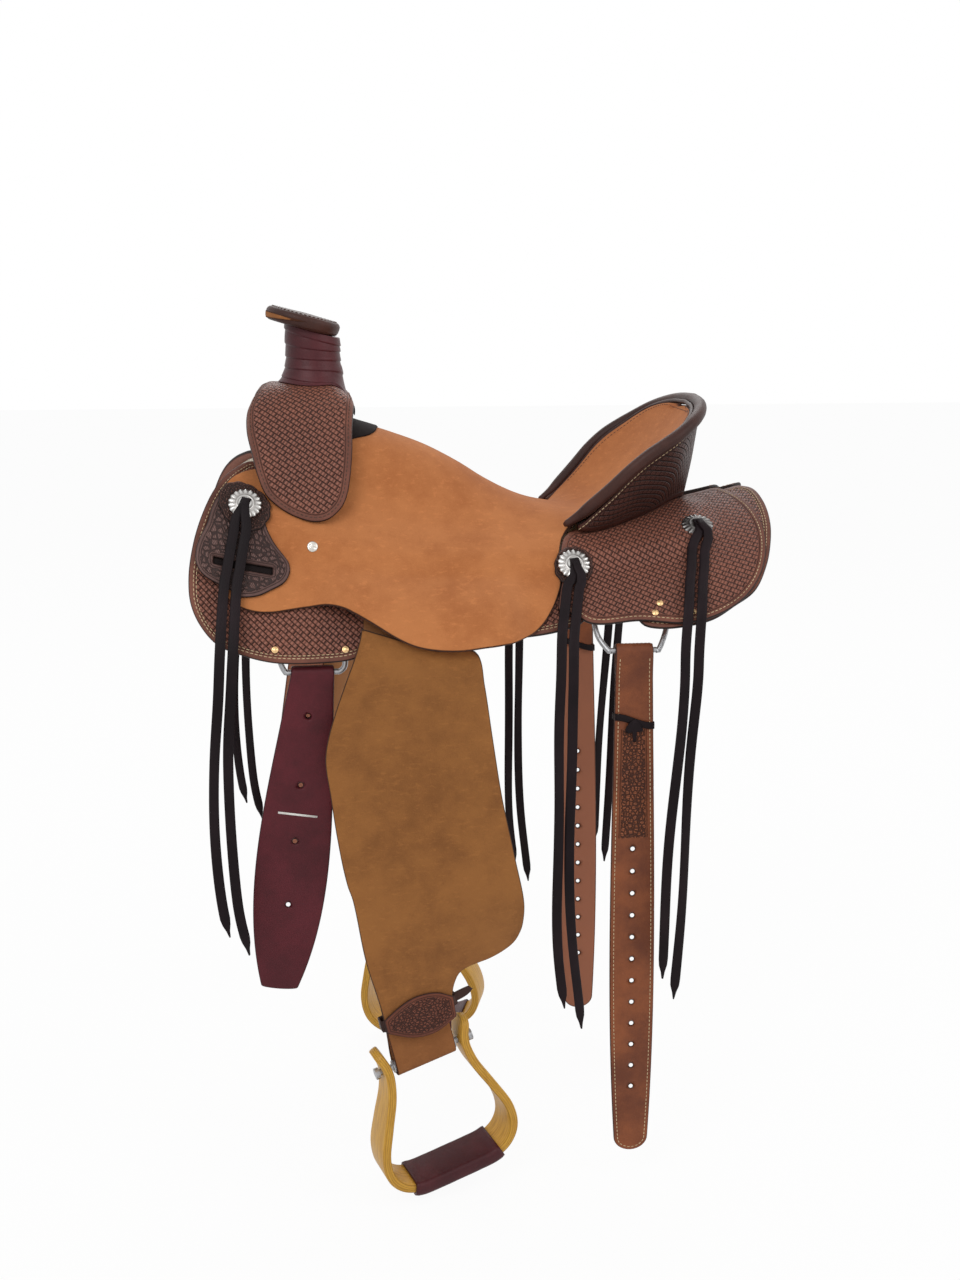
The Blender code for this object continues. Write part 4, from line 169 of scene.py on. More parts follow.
def normal_of(surface: Surface, u: Array, v: Array) -> Array:
    """Outward unit normals of a surface given by two lengths.

    Args:
        surface: Gives points for u and v.
        u: Lengths along the horse.
        v: Lengths down the flank.

    Returns:
        One unit vector for each point.
    """
    over = surface(u + STEP, v) - surface(u - STEP, v)
    fall = surface(u, v + STEP) - surface(u, v - STEP)
    return unit(np.cross(fall, over))


@dataclass(frozen=True)
class HorseBack:
    """The back that the saddle is shaped to, and the layers that lie on it."""

    stations: Tuple[float, ...] = (-0.33, 0.08, 0.33)
    spine: Tuple[Tuple[float, float], ...] = ((0.050, 0.150), (0.0189, 0.045), (0.0, 0.080))
    shoulder: Tuple[Tuple[float, float], ...] = ((0.135, 0.095), (0.1226, 0.032), (0.115, 0.058))
    flank: Tuple[Tuple[float, float], ...] = ((0.200, -0.085), (0.2075, -0.080), (0.212, -0.060))
    fleece_under: float = 0.0005
    fleece_thick: float = 0.010
    skirt_thick: float = 0.005
    leather_thick: float = 0.0045
    bar_thick: float = 0.010
    bar_span: Tuple[float, float] = (-0.255, 0.262)
    bar_drops: Tuple[float, float] = (0.024, 0.116)
    bar_corner: float = 0.03
    bar_ease: Tuple[float, float] = (0.014, 0.022)
    fender_room: float = 0.0200
    fender_room_x: Tuple[float, ...] = (-0.215, -0.172, 0.000, 0.045)
    fender_room_drop: Tuple[float, float] = (0.100, 0.200)
    table_x: Tuple[float, float, int] = (-0.38, 0.38, 77)
    table_drop: Tuple[float, float, int] = (0.0, 0.29, 146)
    table_share: Tuple[float, float, int] = (0.0, 1.12, 400)

    @property
    def skirt_under(self) -> float:
        """Height of the skirt's underside."""
        return self.fleece_under + self.fleece_thick + GAP

    @property
    def bar_under(self) -> float:
        """Height of the tree bar's underside."""
        return self.skirt_under + self.skirt_thick + GAP

    def controls(self, x: Array) -> List[Array]:
        """Control points (out, height) of the back's section at each x.

        Args:
            x: Places along the horse.

        Returns:
            Three arrays of points.
        """
        a, b, c = self.stations
        shares = ((x - b) * (x - c) / ((a - b) * (a - c)), (x - a) * (x - c) / ((b - a) * (b - c)),
                  (x - a) * (x - b) / ((c - a) * (c - b)))
        return [sum(share[:, None] * np.array(row) for share, row in zip(shares, rows))
                for rows in (self.spine, self.shoulder, self.flank)]

    def section(self, x: Array, share: Array) -> Array:
        """Points (out, height) of the sections.

        Args:
            x: Places along the horse.
            share: Curve parameter of each.

        Returns:
            One row for each place.
        """
        a, b, c = self.controls(x)
        t = share[:, None]
        return (1 - t) ** 2 * a + 2 * t * (1 - t) * b + t * t * c

    def point(self, x: Array, drop: Array) -> Array:
        """Near-side points on the back.

        Args:
            x: Places along the horse.
            drop: Lengths down the flank from the spine.

        Returns:
            One point for each.
        """
        table, first_x, step_x, step_drop = drop_table(self)
        at_x = (x - first_x) / step_x
        at_drop = drop / step_drop
        i = np.clip(at_x.astype(int), 0, table.shape[0] - 2)
        j = np.clip(at_drop.astype(int), 0, table.shape[1] - 2)
        fx, fd = at_x - i, at_drop - j
        share = (table[i, j] * (1 - fx) * (1 - fd) + table[i + 1, j] * fx * (1 - fd)
                 + table[i, j + 1] * (1 - fx) * fd + table[i + 1, j + 1] * fx * fd)
        rows = self.section(x, share)
        return np.stack([x, -rows[:, 0], rows[:, 1]], axis=1)

    def drape(self, x: Array, drop: Array, lift: Array) -> Array:
        """Near-side points at heights above the back."""
        return self.point(x, drop) + normal_of(self.point, x, drop) * np.broadcast_to(lift, x.shape)[:, None]

    def bar_rise(self, x: Array, drop: Array) -> Array:
        """Height that a tree bar adds under the leather on it.

        Args:
            x: Places along the horse.
            drop: Lengths down the flank.

        Returns:
            One height for each.
        """
        middle = (sum(self.bar_span) / 2, sum(self.bar_drops) / 2)
        half = ((self.bar_span[1] - self.bar_span[0]) / 2, (self.bar_drops[1] - self.bar_drops[0]) / 2)
        over_x = np.abs(x - middle[0]) - half[0] + self.bar_corner
        over_drop = np.abs(drop - middle[1]) - half[1] + self.bar_corner
        inside = np.minimum(np.maximum(over_x, over_drop), 0.0)
        distance = np.hypot(np.maximum(over_x, 0.0), np.maximum(over_drop, 0.0)) + inside - self.bar_corner
        ease_in, ease_out = self.bar_ease
        return self.bar_thick * ease((ease_out - distance) / (ease_out + ease_in))

    def on_bars(self, x: Array, drop: Array) -> Array:
        """Height of the underside of the leather on the bars."""
        return self.bar_under + self.bar_rise(x, drop) + GAP

    def on_fender(self, x: Array, drop: Array) -> Array:
        """Height of the underside of the seat's jockeys, which stand off over the fender's head."""
        a, b, c, d = self.fender_room_x
        top, low = self.fender_room_drop
        sides = ease((x - a) / (b - a)) * ease((d - x) / (d - c))
        return self.on_bars(x, drop) + self.fender_room * sides * ease((drop - top) / (low - top))

    def over_seat(self, x: Array, drop: Array) -> Array:
        """Height of the top of the seat's jockeys."""
        return self.on_fender(x, drop) + self.leather_thick

    def over_rear(self, x: Array, drop: Array) -> Array:
        """Height of the top of the rear jockeys."""
        return self.on_bars(x, drop) + self.leather_thick

    def laid(self, under: Surface, thick: float) -> Form:
        """Form of a sheet that lies at a height above the back.

        Args:
            under: Height of its underside for x and drop.
            thick: Its thickness.

        Returns:
            The form.
        """
        def surface(x: Array, drop: Array) -> Array:
            """Underside of the sheet."""
            return self.drape(x, drop, under(x, drop))

        def form(x: Array, drop: Array, face: Array) -> Array:
            """Points of the sheet."""
            return surface(x, drop) + normal_of(surface, x, drop) * (thick * face)[:, None]
        return form


@lru_cache(maxsize=None)
def drop_table(back: HorseBack) -> Tuple[Array, float, float, float]:
    """Curve parameters of the back's sections at even lengths down the flank.

    Args:
        back: The back.

    Returns:
        The table, its first x, and its steps in x and in drop.
    """
    stations, drops, shares = (np.linspace(*span) for span in (back.table_x, back.table_drop, back.table_share))
    rows = [np.interp(drops, run_lengths(back.section(np.full(shares.shape, x), shares)), shares)
            for x in stations]
    return np.array(rows), stations[0], stations[1] - stations[0], drops[1]


BACK = HorseBack()


def level(height: float) -> Surface:
    """Surface at one height above the back."""
    return lambda x, drop: np.full(x.shape, height)


@lru_cache(maxsize=None)
def stepped_section(x: float, steps: int = 48) -> Trail:
    """Section of the frame's own back at x, as points (out, height) joined by straight steps."""
    return Trail(BACK.section(np.full(steps + 1, x), np.arange(steps + 1) / steps))


@dataclass(frozen=True)
class FoldedBack:
    """Layers on the back as the frame has them, flat between fold lines. Its own pieces are seated on them."""

    fold_x: Tuple[float, ...] = (-0.344, -0.301, -0.258, -0.215, -0.172, -0.1075, -0.043, 0.0, 0.043, 0.086,
                                 0.140, 0.195, 0.250, 0.300, 0.344)
    fold_drop: Tuple[float, ...] = (0.0, 0.0375, 0.075, 0.105, 0.135, 0.165, 0.195, 0.225, 0.255, 0.285)
    reach: float = 0.01
    digits: int = 6

    def point(self, x: Array, drop: Array) -> Array:
        """Near-side points on the frame's back."""
        rows = np.array([stepped_section(round(float(a), self.digits)).at(b)[0] for a, b in zip(x, drop)])
        return np.stack([x, -rows[:, 0], rows[:, 1]], axis=1)

    def spot(self, x: float, drop: float, under: Surface) -> Array:
        """Point of a folded layer.

        Args:
            x: Place along the horse.
            drop: Length down the flank.
            under: Height of the layer above the back.

        Returns:
            The point.
        """
        i, j = (int(np.clip(np.searchsorted(folds, at, side="right") - 1, 0, len(folds) - 2))
                for folds, at in ((self.fold_x, x), (self.fold_drop, drop)))
        (x_low, x_high), (drop_low, drop_high) = self.fold_x[i:i + 2], self.fold_drop[j:j + 2]
        along, down = (x - x_low) / (x_high - x_low), (drop - drop_low) / (drop_high - drop_low)
        third = (x_high, drop_low) if along >= down else (x_low, drop_high)
        xs, drops = np.array((x_low, third[0], x_high)), np.array((drop_low, third[1], drop_high))
        corners = self.point(xs, drops) + normal_of(self.point, xs, drops) * under(xs, drops)[:, None]
        return np.array((1 - max(along, down), abs(along - down), min(along, down))) @ corners

    def seat(self, centre: Tuple[float, float], under: Surface, radius: float) -> Array:
        """Placement of a round piece that rests on a folded layer.

        Args:
            centre: Its middle, as x and drop.
            under: Height of the layer above the back.
            radius: Its radius.

        Returns:
            Three rows of four: X along the horse, Z out.
        """
        x, drop = centre
        middle = self.spot(x, drop, under)
        side = self.spot(x + self.reach, drop, under) - self.spot(x - self.reach, drop, under)
        fall = self.spot(x, drop + self.reach, under) - self.spot(x, drop - self.reach, under)
        out = unit(np.cross(fall, side))
        highest = 0.0
        for turn in np.arange(16) * math.pi / 8:
            for ring in (radius * 0.6, radius * 1.05):
                rim = self.spot(x + ring * math.cos(turn), drop + ring * math.sin(turn), under)
                highest = max(highest, float((rim - middle) @ out))
        across = unit(np.cross(out, side))
        return np.stack([np.cross(across, out), across, out, middle + out * (highest + GAP)], axis=1)


FOLDS = FoldedBack()


# Patterns cut from a sheet

def smooth_loop(points: Sequence[Sequence[float]], step: float = 0.004, corner: float = 48.0) -> Array:
    """Closed pattern outline with its soft bends rounded and its corners kept.

    Args:
        points: Pattern points in order.
        step: Spacing wanted along the outline.
        corner: Turn in degrees from which a point stays a corner.

    Returns:
        The outline's points.
    """
    rows = np.array(points, dtype=float)
    count = len(rows)
    into = unit(rows - np.roll(rows, 1, axis=0))
    out = np.roll(into, -1, axis=0)
    sharp = np.sum(into * out, axis=1) < math.cos(math.radians(corner))
    middle = unit(into + out)
    line = []
    for i in range(count):
        j = (i + 1) % count
        span = float(np.linalg.norm(rows[j] - rows[i]))
        if span < 1e-7:
            continue
        leave = (out[i] if sharp[i] else middle[i]) * span
        arrive = (into[j] if sharp[j] else middle[j]) * span
        pieces = max(1, round(span / step))
        for k in range(pieces):
            t = k / pieces
            line.append((2 * t ** 3 - 3 * t ** 2 + 1) * rows[i] + (t ** 3 - 2 * t ** 2 + t) * leave
                        + (3 * t ** 2 - 2 * t ** 3) * rows[j] + (t ** 3 - t ** 2) * arrive)
    return np.array(line)


def round_loop(centre: Sequence[float], radius: float, points: int = 16) -> Array:
    """Circle on a pattern, as points."""
    turn = np.arange(points) * 2 * math.pi / points
    return np.stack([centre[0] + radius * np.cos(turn), centre[1] + radius * np.sin(turn)], axis=1)


def inside_loop(points: Array, loop: Array) -> Array:
    """Which points are inside a loop.

    Args:
        points: Points to test.
        loop: The loop.

    Returns:
        True or False for each.
    """
    odd = np.zeros(len(points), dtype=bool)
    after = np.roll(loop, -1, axis=0)
    for low in range(0, len(points), BATCH):
        part = points[low:low + BATCH]
        px, py = part[:, 0][:, None], part[:, 1][:, None]
        crosses = (loop[None, :, 1] > py) != (after[None, :, 1] > py)
        rise = np.where(np.abs(after[:, 1] - loop[:, 1]) < 1e-15, 1e-15, after[:, 1] - loop[:, 1])
        meet = loop[None, :, 0] + (py - loop[None, :, 1]) * ((after[:, 0] - loop[:, 0]) / rise)[None, :]
        odd[low:low + BATCH] = (np.sum(crosses & (px < meet), axis=1) % 2).astype(bool)
    return odd


def loop_distance(points: Array, loops: Sequence[Array]) -> Array:
    """Distance of points to the nearest of some loops.

    Args:
        points: Points to measure.
        loops: The loops.

    Returns:
        One distance for each.
    """
    start = np.concatenate(loops)
    along = np.concatenate([np.roll(loop, -1, axis=0) for loop in loops]) - start
    size = np.maximum(np.sum(along * along, axis=1), 1e-18)
    best = np.zeros(len(points))
    for low in range(0, len(points), BATCH):
        part = points[low:low + BATCH]
        gap = part[:, None, :] - start[None, :, :]
        share = np.clip(np.sum(gap * along[None], axis=2) / size[None], 0.0, 1.0)
        gap -= share[:, :, None] * along[None]
        best[low:low + BATCH] = np.sqrt(np.min(np.sum(gap * gap, axis=2), axis=1))
    return best


def inset_loop(loop: Array, inset: float, slack: float = 0.985) -> Array:
    """Points at a distance inside a loop, those that fold over left out.

    Args:
        loop: The loop.
        inset: The distance.
        slack: Share of the distance from which a point is kept.

    Returns:
        The points in order.
    """
    ahead = unit(np.roll(loop, -1, axis=0) - np.roll(loop, 1, axis=0))
    area = np.sum(loop[:, 0] * np.roll(loop[:, 1], -1) - loop[:, 1] * np.roll(loop[:, 0], -1))
    inward = np.stack([-ahead[:, 1], ahead[:, 0]], axis=1) * (1.0 if area > 0 else -1.0)
    shifted = loop + inward * inset
    return shifted[loop_distance(shifted, [loop]) > inset * slack - 1e-6]


def new_piece(name: str, points: Array, faces: Sequence[Sequence[int]],
              pattern: Optional[Array] = None) -> bpy.types.Object:
    """Object with a smooth mesh.

    Args:
        name: The piece's name.
        points: Its points.
        faces: Its faces.
        pattern: Millimetres on the pattern and from its edge, for each point.

    Returns:
        The object.
    """
    mesh = bpy.data.meshes.new(name)
    mesh.from_pydata([tuple(point) for point in points], [], [tuple(face) for face in faces])
    if pattern is not None:
        layer = mesh.attributes.new("pattern", "FLOAT_VECTOR", "POINT")
        layer.data.foreach_set("vector", np.asarray(pattern, dtype=np.float32).ravel())
    mesh.update()
    mesh.shade_smooth()
    piece = bpy.data.objects.new(name, mesh)
    bpy.context.scene.collection.objects.link(piece)
    return piece


def to_off_side(piece: bpy.types.Object) -> None:
    """Turn a near piece into an off one."""
    piece.data.transform(Matrix.Diagonal((*FLIP, 1.0)))
    piece.data.flip_normals()


def mirrored(piece: bpy.types.Object, name: str) -> bpy.types.Object:
    """Copy of a near piece for the off side.

    Args:
        piece: The near piece.
        name: The copy's name.

    Returns:
        The copy.
    """
    twin = piece.copy()
    twin.data = piece.data.copy()
    twin.name = name
    bpy.context.scene.collection.objects.link(twin)
    to_off_side(twin)
    return twin


@dataclass
class Sheet:
    """A leather pattern that is cut out, given its thickness and rounded edge, and bent."""

    outline: Array
    form: Form
    thick: float = 0.0045
    spacing: float = 0.0055
    bevel: float = 0.0016
    holes: Tuple[Array, ...] = ()
    dense: Tuple[Tuple[float, float, float], ...] = ()
    relief: Optional[Callable[[Array, Array, Array, bool], Array]] = None
    row_ratio: float = 0.87
    clear_bevel: float = 1.25
    clear_grid: float = 0.45
    clear_most: float = 0.0022
    ring_shares: Tuple[float, ...] = (0.14, 0.48, 1.0)

    def grid(self, loops: Sequence[Array]) -> Array:
        """Points inside the pattern, in staggered rows.

        Args:
            loops: The outline and the holes.

        Returns:
            The points.
        """
        low, high = loops[0].min(axis=0), loops[0].max(axis=0)
        rows = list(np.arange(low[1], high[1], self.spacing * self.row_ratio))
        for start, end, step in self.dense:
            rows = [v for v in rows if not start <= v <= end] + list(np.arange(start, end, step))
        points = np.array([(u, v) for k, v in enumerate(sorted(rows))
                           for u in np.arange(low[0] + 0.5 * self.spacing * (k % 2), high[0], self.spacing)])
        points = points[self.in_pattern(points)]
        nearest = min(self.spacing * self.clear_grid, self.clear_most)
        return points[loop_distance(points, loops) > max(self.bevel * self.clear_bevel, nearest)]

    def in_pattern(self, points: Array) -> Array:
        """Which points are inside the outline and outside the holes."""
        return inside_loop(points, self.outline) & ~sum((inside_loop(points, hole) for hole in self.holes),
                                                        np.zeros(len(points), dtype=bool))

    def build(self, name: str) -> bpy.types.Object:
        """Cut and bend the sheet.

        Args:
            name: The piece's name.

        Returns:
            The piece, with its pattern attribute.
        """
        loops = [self.outline, *self.holes]
        rings = [inset_loop(self.outline, self.bevel * share) for share in self.ring_shares]
        flat = np.concatenate(loops + rings + [self.grid(loops)])
        edges, start = [], 0
        for loop in loops:
            edges += [(start + k, start + (k + 1) % len(loop)) for k in range(len(loop))]
            start += len(loop)
        made = delaunay_2d_cdt([Vector(point) for point in flat], edges, [], 0, 1e-7)
        spots = np.array([tuple(point) for point in made[0]])
        faces = np.array([tuple(face) for face in made[2]])
        used, faces = np.unique(faces[self.in_pattern(spots[faces].mean(axis=1))], return_inverse=True)
        spots, faces = spots[used], faces.reshape(-1, 3)
        inset = loop_distance(spots, loops)
        on_edge = inset < 2e-6
        inset[on_edge] = 0.0
        round_off = np.sqrt(np.maximum(1 - (1 - np.minimum(inset / self.bevel, 1.0)) ** 2, 0.0)) / 2
        top, low = (self.bent(spots, inset, 0.5 + sign * round_off, sign > 0) for sign in (1, -1))
        inner = np.flatnonzero(~on_edge)
        below = np.arange(len(spots))
        below[inner] = len(spots) + np.arange(len(inner))
        a, b, c = (top[faces[:, k]] for k in range(3))
        if np.sum(np.cross(b - a, c - a) * (top - low)[faces].mean(axis=1)) < 0:
            faces = faces[:, ::-1]
        pattern = np.stack([spots[:, 0], spots[:, 1], inset], axis=1) * MM
        under = pattern[inner] * np.array((1.0, 1.0, -1.0))
        both = np.concatenate([faces, below[faces][:, ::-1]])
        return new_piece(name, np.concatenate([top, low[inner]]), both.tolist(),
                         np.concatenate([pattern, under]))

    def bent(self, spots: Array, inset: Array, face: Array, over: bool) -> Array:
        """Pattern points bent to the form.

        Args:
            spots: The pattern points.
            inset: Their distance from the edge.
            face: Share of the thickness.
            over: Whether they are on the outside.

        Returns:
            The points.
        """
        if self.relief:
            face = face + self.relief(spots[:, 0], spots[:, 1], inset, over) / self.thick
        return self.form(spots[:, 0], spots[:, 1], face)


# Stitching and small round pieces

def ring_faces(count: int, sides: int, first: int = 0, closed: bool = False) -> List[Tuple[int, ...]]:
    """Faces between rings of points, with caps on open ends.

    Args:
        count: How many rings there are.
        sides: Points in a ring.
        first: Index of the first point.
        closed: Whether the last ring joins the first.

    Returns:
        The faces, as indices of points.
    """
    faces = []
    for i in range(count if closed else count - 1):
        low, high = first + i * sides, first + (i + 1) % count * sides
        faces += [(low + k, low + (k + 1) % sides, high + (k + 1) % sides, high + k) for k in range(sides)]
    if not closed:
        last = first + (count - 1) * sides
        faces += [tuple(range(first + sides - 1, first - 1, -1)), tuple(range(last, last + sides))]
    return faces


@dataclass(frozen=True)
class Thread:
    """A row of stitches; rings gives share of length, width and rise of each ring of a stitch."""

    pitch: float = 0.0052
    length: float = 0.0042
    radius: float = 0.00052
    sides: int = 6
    rings: Tuple[Tuple[float, float, float], ...] = (
        (-0.5, 0.25, -1.1), (-0.38, 0.80, -0.25), (0.0, 1.0, 0.35), (0.38, 0.80, -0.25), (0.5, 0.25, -1.1))

    def along(self, name: str, runs: Sequence[Tuple[Array, Array]]) -> bpy.types.Object:
        """Stitches along lines on a surface.

        Args:
            name: The piece's name.
            runs: For each line, its points and the surface's outward normals there.

        Returns:
            The stitches as one piece.
        """
        points, faces = [], []
        turn = np.arange(self.sides)[:, None] * 2 * math.pi / self.sides
        for line, normals in runs:
            trail = Trail(line)
            count = int(trail.total / self.pitch)
            for k in range(count):
                at = (k + 0.5) * trail.total / count
                centre, ahead = trail.at(at)[0], trail.ahead(at, self.length * 0.5)[0]
                up = np.array([np.interp(at, trail.lengths, column) for column in normals.T])
                up = unit(up - ahead * float(up @ ahead))
                ring = np.cross(ahead, up) * np.cos(turn) + up * np.sin(turn)
                faces += ring_faces(len(self.rings), self.sides, len(points))
                for share, width, rise in self.rings:
                    points.extend(centre + ahead * share * self.length + up * rise * self.radius
                                  + ring * self.radius * width)
        return new_piece(name, np.array(points), faces)


def surface_run(form: Form, path: Array) -> Tuple[Array, Array]:
    """Line on the outside of a sheet, with its normals.

    Args:
        form: The sheet's form.
        path: Pattern points of the line.

    Returns:
        The points and the normals.
    """
    ones = np.ones(len(path))
    over = form(path[:, 0], path[:, 1], ones)
    return over, unit(over - form(path[:, 0], path[:, 1], ones * 0.0))


def split_runs(path: Array, keep: Array, closed: bool = True) -> List[Array]:
    """Parts of a line that are kept.

    Args:
        path: The line's points.
        keep: Which of them are kept.
        closed: Whether the line is a loop.

    Returns:
        The kept runs.
    """
    if closed and keep.all():
        return [np.concatenate([path, path[:1]])]
    if closed:
        start = int(np.flatnonzero(~keep)[0])
        path, keep = np.roll(path, -start, axis=0), np.roll(keep, -start)
    runs, run = [], []
    for point, kept in zip(path, keep):
        far = run and np.linalg.norm(point - run[-1]) > 0.02
        if (not kept or far) and len(run) > 3:
            runs.append(np.array(run))
        if not kept or far:
            run = []
        if kept:
            run.append(point)
    if len(run) > 3:
        runs.append(np.array(run))
    return runs


def stitch_edge(name: str, loop: Array, form: Form, insets: Sequence[float],
                keep: Optional[Callable[[Array, Array], Array]] = None,
                thread: Thread = Thread()) -> bpy.types.Object:
    """Rows of stitches inside a pattern's edge.

    Args:
        name: The piece's name.
        loop: The pattern's outline.
        form: The sheet's form.
        insets: Distance of each row from the edge.
        keep: Tells for u and v which part of the edge is stitched.
        thread: The stitches' sizes.

    Returns:
        The stitches as one piece.
    """
    runs = []
    for inset in insets:
        path = inset_loop(loop, inset)
        kept = keep(path[:, 0], path[:, 1]) if keep else np.ones(len(path), dtype=bool)
        runs += [surface_run(form, run) for run in split_runs(path, kept)]
    return thread.along(name, runs)


def lofted(name: str, rows: Array, closed: bool = False, pattern: Optional[Array] = None) -> bpy.types.Object:
    """Skin over rings of points, its faces pointing out.

    Args:
        name: The piece's name.
        rows: Rings in order, all with as many points.
        closed: Whether the last ring joins the first.
        pattern: Pattern attribute, shaped like rows.

    Returns:
        The piece.
    """
    faces, flat = ring_faces(*rows.shape[:2], closed=closed), rows.reshape(-1, 3)
    quads = flat[[face for face in faces if len(face) == 4]] - flat.mean(axis=0)
    volume = np.sum(quads[:, 0] * (np.cross(quads[:, 1], quads[:, 2]) + np.cross(quads[:, 2], quads[:, 3])))
    if volume < 0:
        faces = [face[::-1] for face in faces]
    return new_piece(name, flat, faces, None if pattern is None else pattern.reshape(-1, 3))


def tube_rings(line: Array, radii: Array, sides: int, up: Array = np.array((0.0, 0.0, 1.0)),
               closed: bool = False) -> Array:
    """Round rings along a line.

    Args:
        line: The centreline.
        radii: Radius at each point.
        sides: Points in a ring.
        up: Direction that the first point of each ring leans to.
        closed: Whether the line is a loop.

    Returns:
        The rings.
    """
    if closed:
        ahead = unit(np.roll(line, -1, axis=0) - np.roll(line, 1, axis=0))
    else:
        ahead = unit(np.gradient(line, axis=0))
    rise = unit(up - ahead * np.sum(up * ahead, axis=1, keepdims=True))
    third = np.cross(ahead, rise)
    turn = (np.arange(sides) + 0.5) * 2 * math.pi / sides
    ring = rise[:, None, :] * np.cos(turn)[None, :, None] + third[:, None, :] * np.sin(turn)[None, :, None]
    return line[:, None, :] + ring * np.asarray(radii)[:, None, None]


def turned_rings(profile: Sequence[Tuple[float, float]], sides: int, place: Matrix,
                 shape: Optional[Callable[[Array, float, float], Tuple[Array, Array]]] = None) -> Array:
    """Rings of a turned shape, each from (radius, height).

    Args:
        profile: Radius and height of each ring.
        sides: Points in a ring.
        place: Placement of the shape.
        shape: Changes radius and height round the ring, from its angles, radius and height.

    Returns:
        The rings.
    """
    turn = np.arange(sides) * 2 * math.pi / sides
    rows = []
    for radius, height in profile:
        wide, tall = np.full(sides, radius), np.full(sides, height)
        if shape:
            wide, tall = shape(turn, radius, height)
        ring = np.stack([wide * np.cos(turn), wide * np.sin(turn), np.broadcast_to(tall, turn.shape)], axis=1)
        rows.append(moved(ring, place))
    return np.array(rows)


def moved(points: Array, place: Matrix) -> Array:
    """Points put through a matrix."""
    matrix = np.array(place, dtype=float)
    return points @ matrix[:3, :3].T + matrix[:3, 3]


# Shader maths

class Socket:
    """A value in a material that Python maths can be done on."""

    def __init__(self, nodes: "NodeSheet", link: bpy.types.NodeSocket) -> None:
        """Wrap a node's output."""
        self.nodes = nodes
        self.link = link

    def maths(self, operation: str, first: "Value", second: "Value" = 0.0) -> "Socket":
        """Result of one Math node on two values."""
        return self.nodes.node("ShaderNodeMath", {"operation": operation}, {0: first, 1: second})

    def __add__(self, other: "Value") -> "Socket":
        """Sum."""
        return self.maths("ADD", self, other)

    def __radd__(self, other: "Value") -> "Socket":
        """Sum, reflected."""
        return self.maths("ADD", other, self)

    def __sub__(self, other: "Value") -> "Socket":
        """Difference."""
        return self.maths("SUBTRACT", self, other)

    def __rsub__(self, other: "Value") -> "Socket":
        """Difference, reflected."""
        return self.maths("SUBTRACT", other, self)

    def __mul__(self, other: "Value") -> "Socket":
        """Product."""
        return self.maths("MULTIPLY", self, other)

    def __rmul__(self, other: "Value") -> "Socket":
        """Product, reflected."""
        return self.maths("MULTIPLY", other, self)

    def __truediv__(self, other: "Value") -> "Socket":
        """Quotient."""
        return self.maths("DIVIDE", self, other)

    def __rtruediv__(self, other: "Value") -> "Socket":
        """Quotient, reflected."""
        return self.maths("DIVIDE", other, self)

    def __abs__(self) -> "Socket":
        """Size without its sign."""
        return self.maths("ABSOLUTE", self)

    def sine(self) -> "Socket":
        """Sine of the value."""
        return self.maths("SINE", self)

    def step(self, low: float, high: float) -> "Socket":
        """Smooth step from 0 where the value is low to 1 where it is high."""
        return self.nodes.node("ShaderNodeMapRange", {"interpolation_type": "SMOOTHSTEP"},
                               {0: self, 1: low, 2: high, 3: 0.0, 4: 1.0})

    def larger(self, other: "Value") -> "Socket":
        """The larger of two values."""
        return self.maths("MAXIMUM", self, other)

    def output(self, name: str) -> "Socket":
        """Another output of the same node."""
        return Socket(self.nodes, self.link.node.outputs[name])


Value = Union[Socket, float, Tuple[float, ...]]


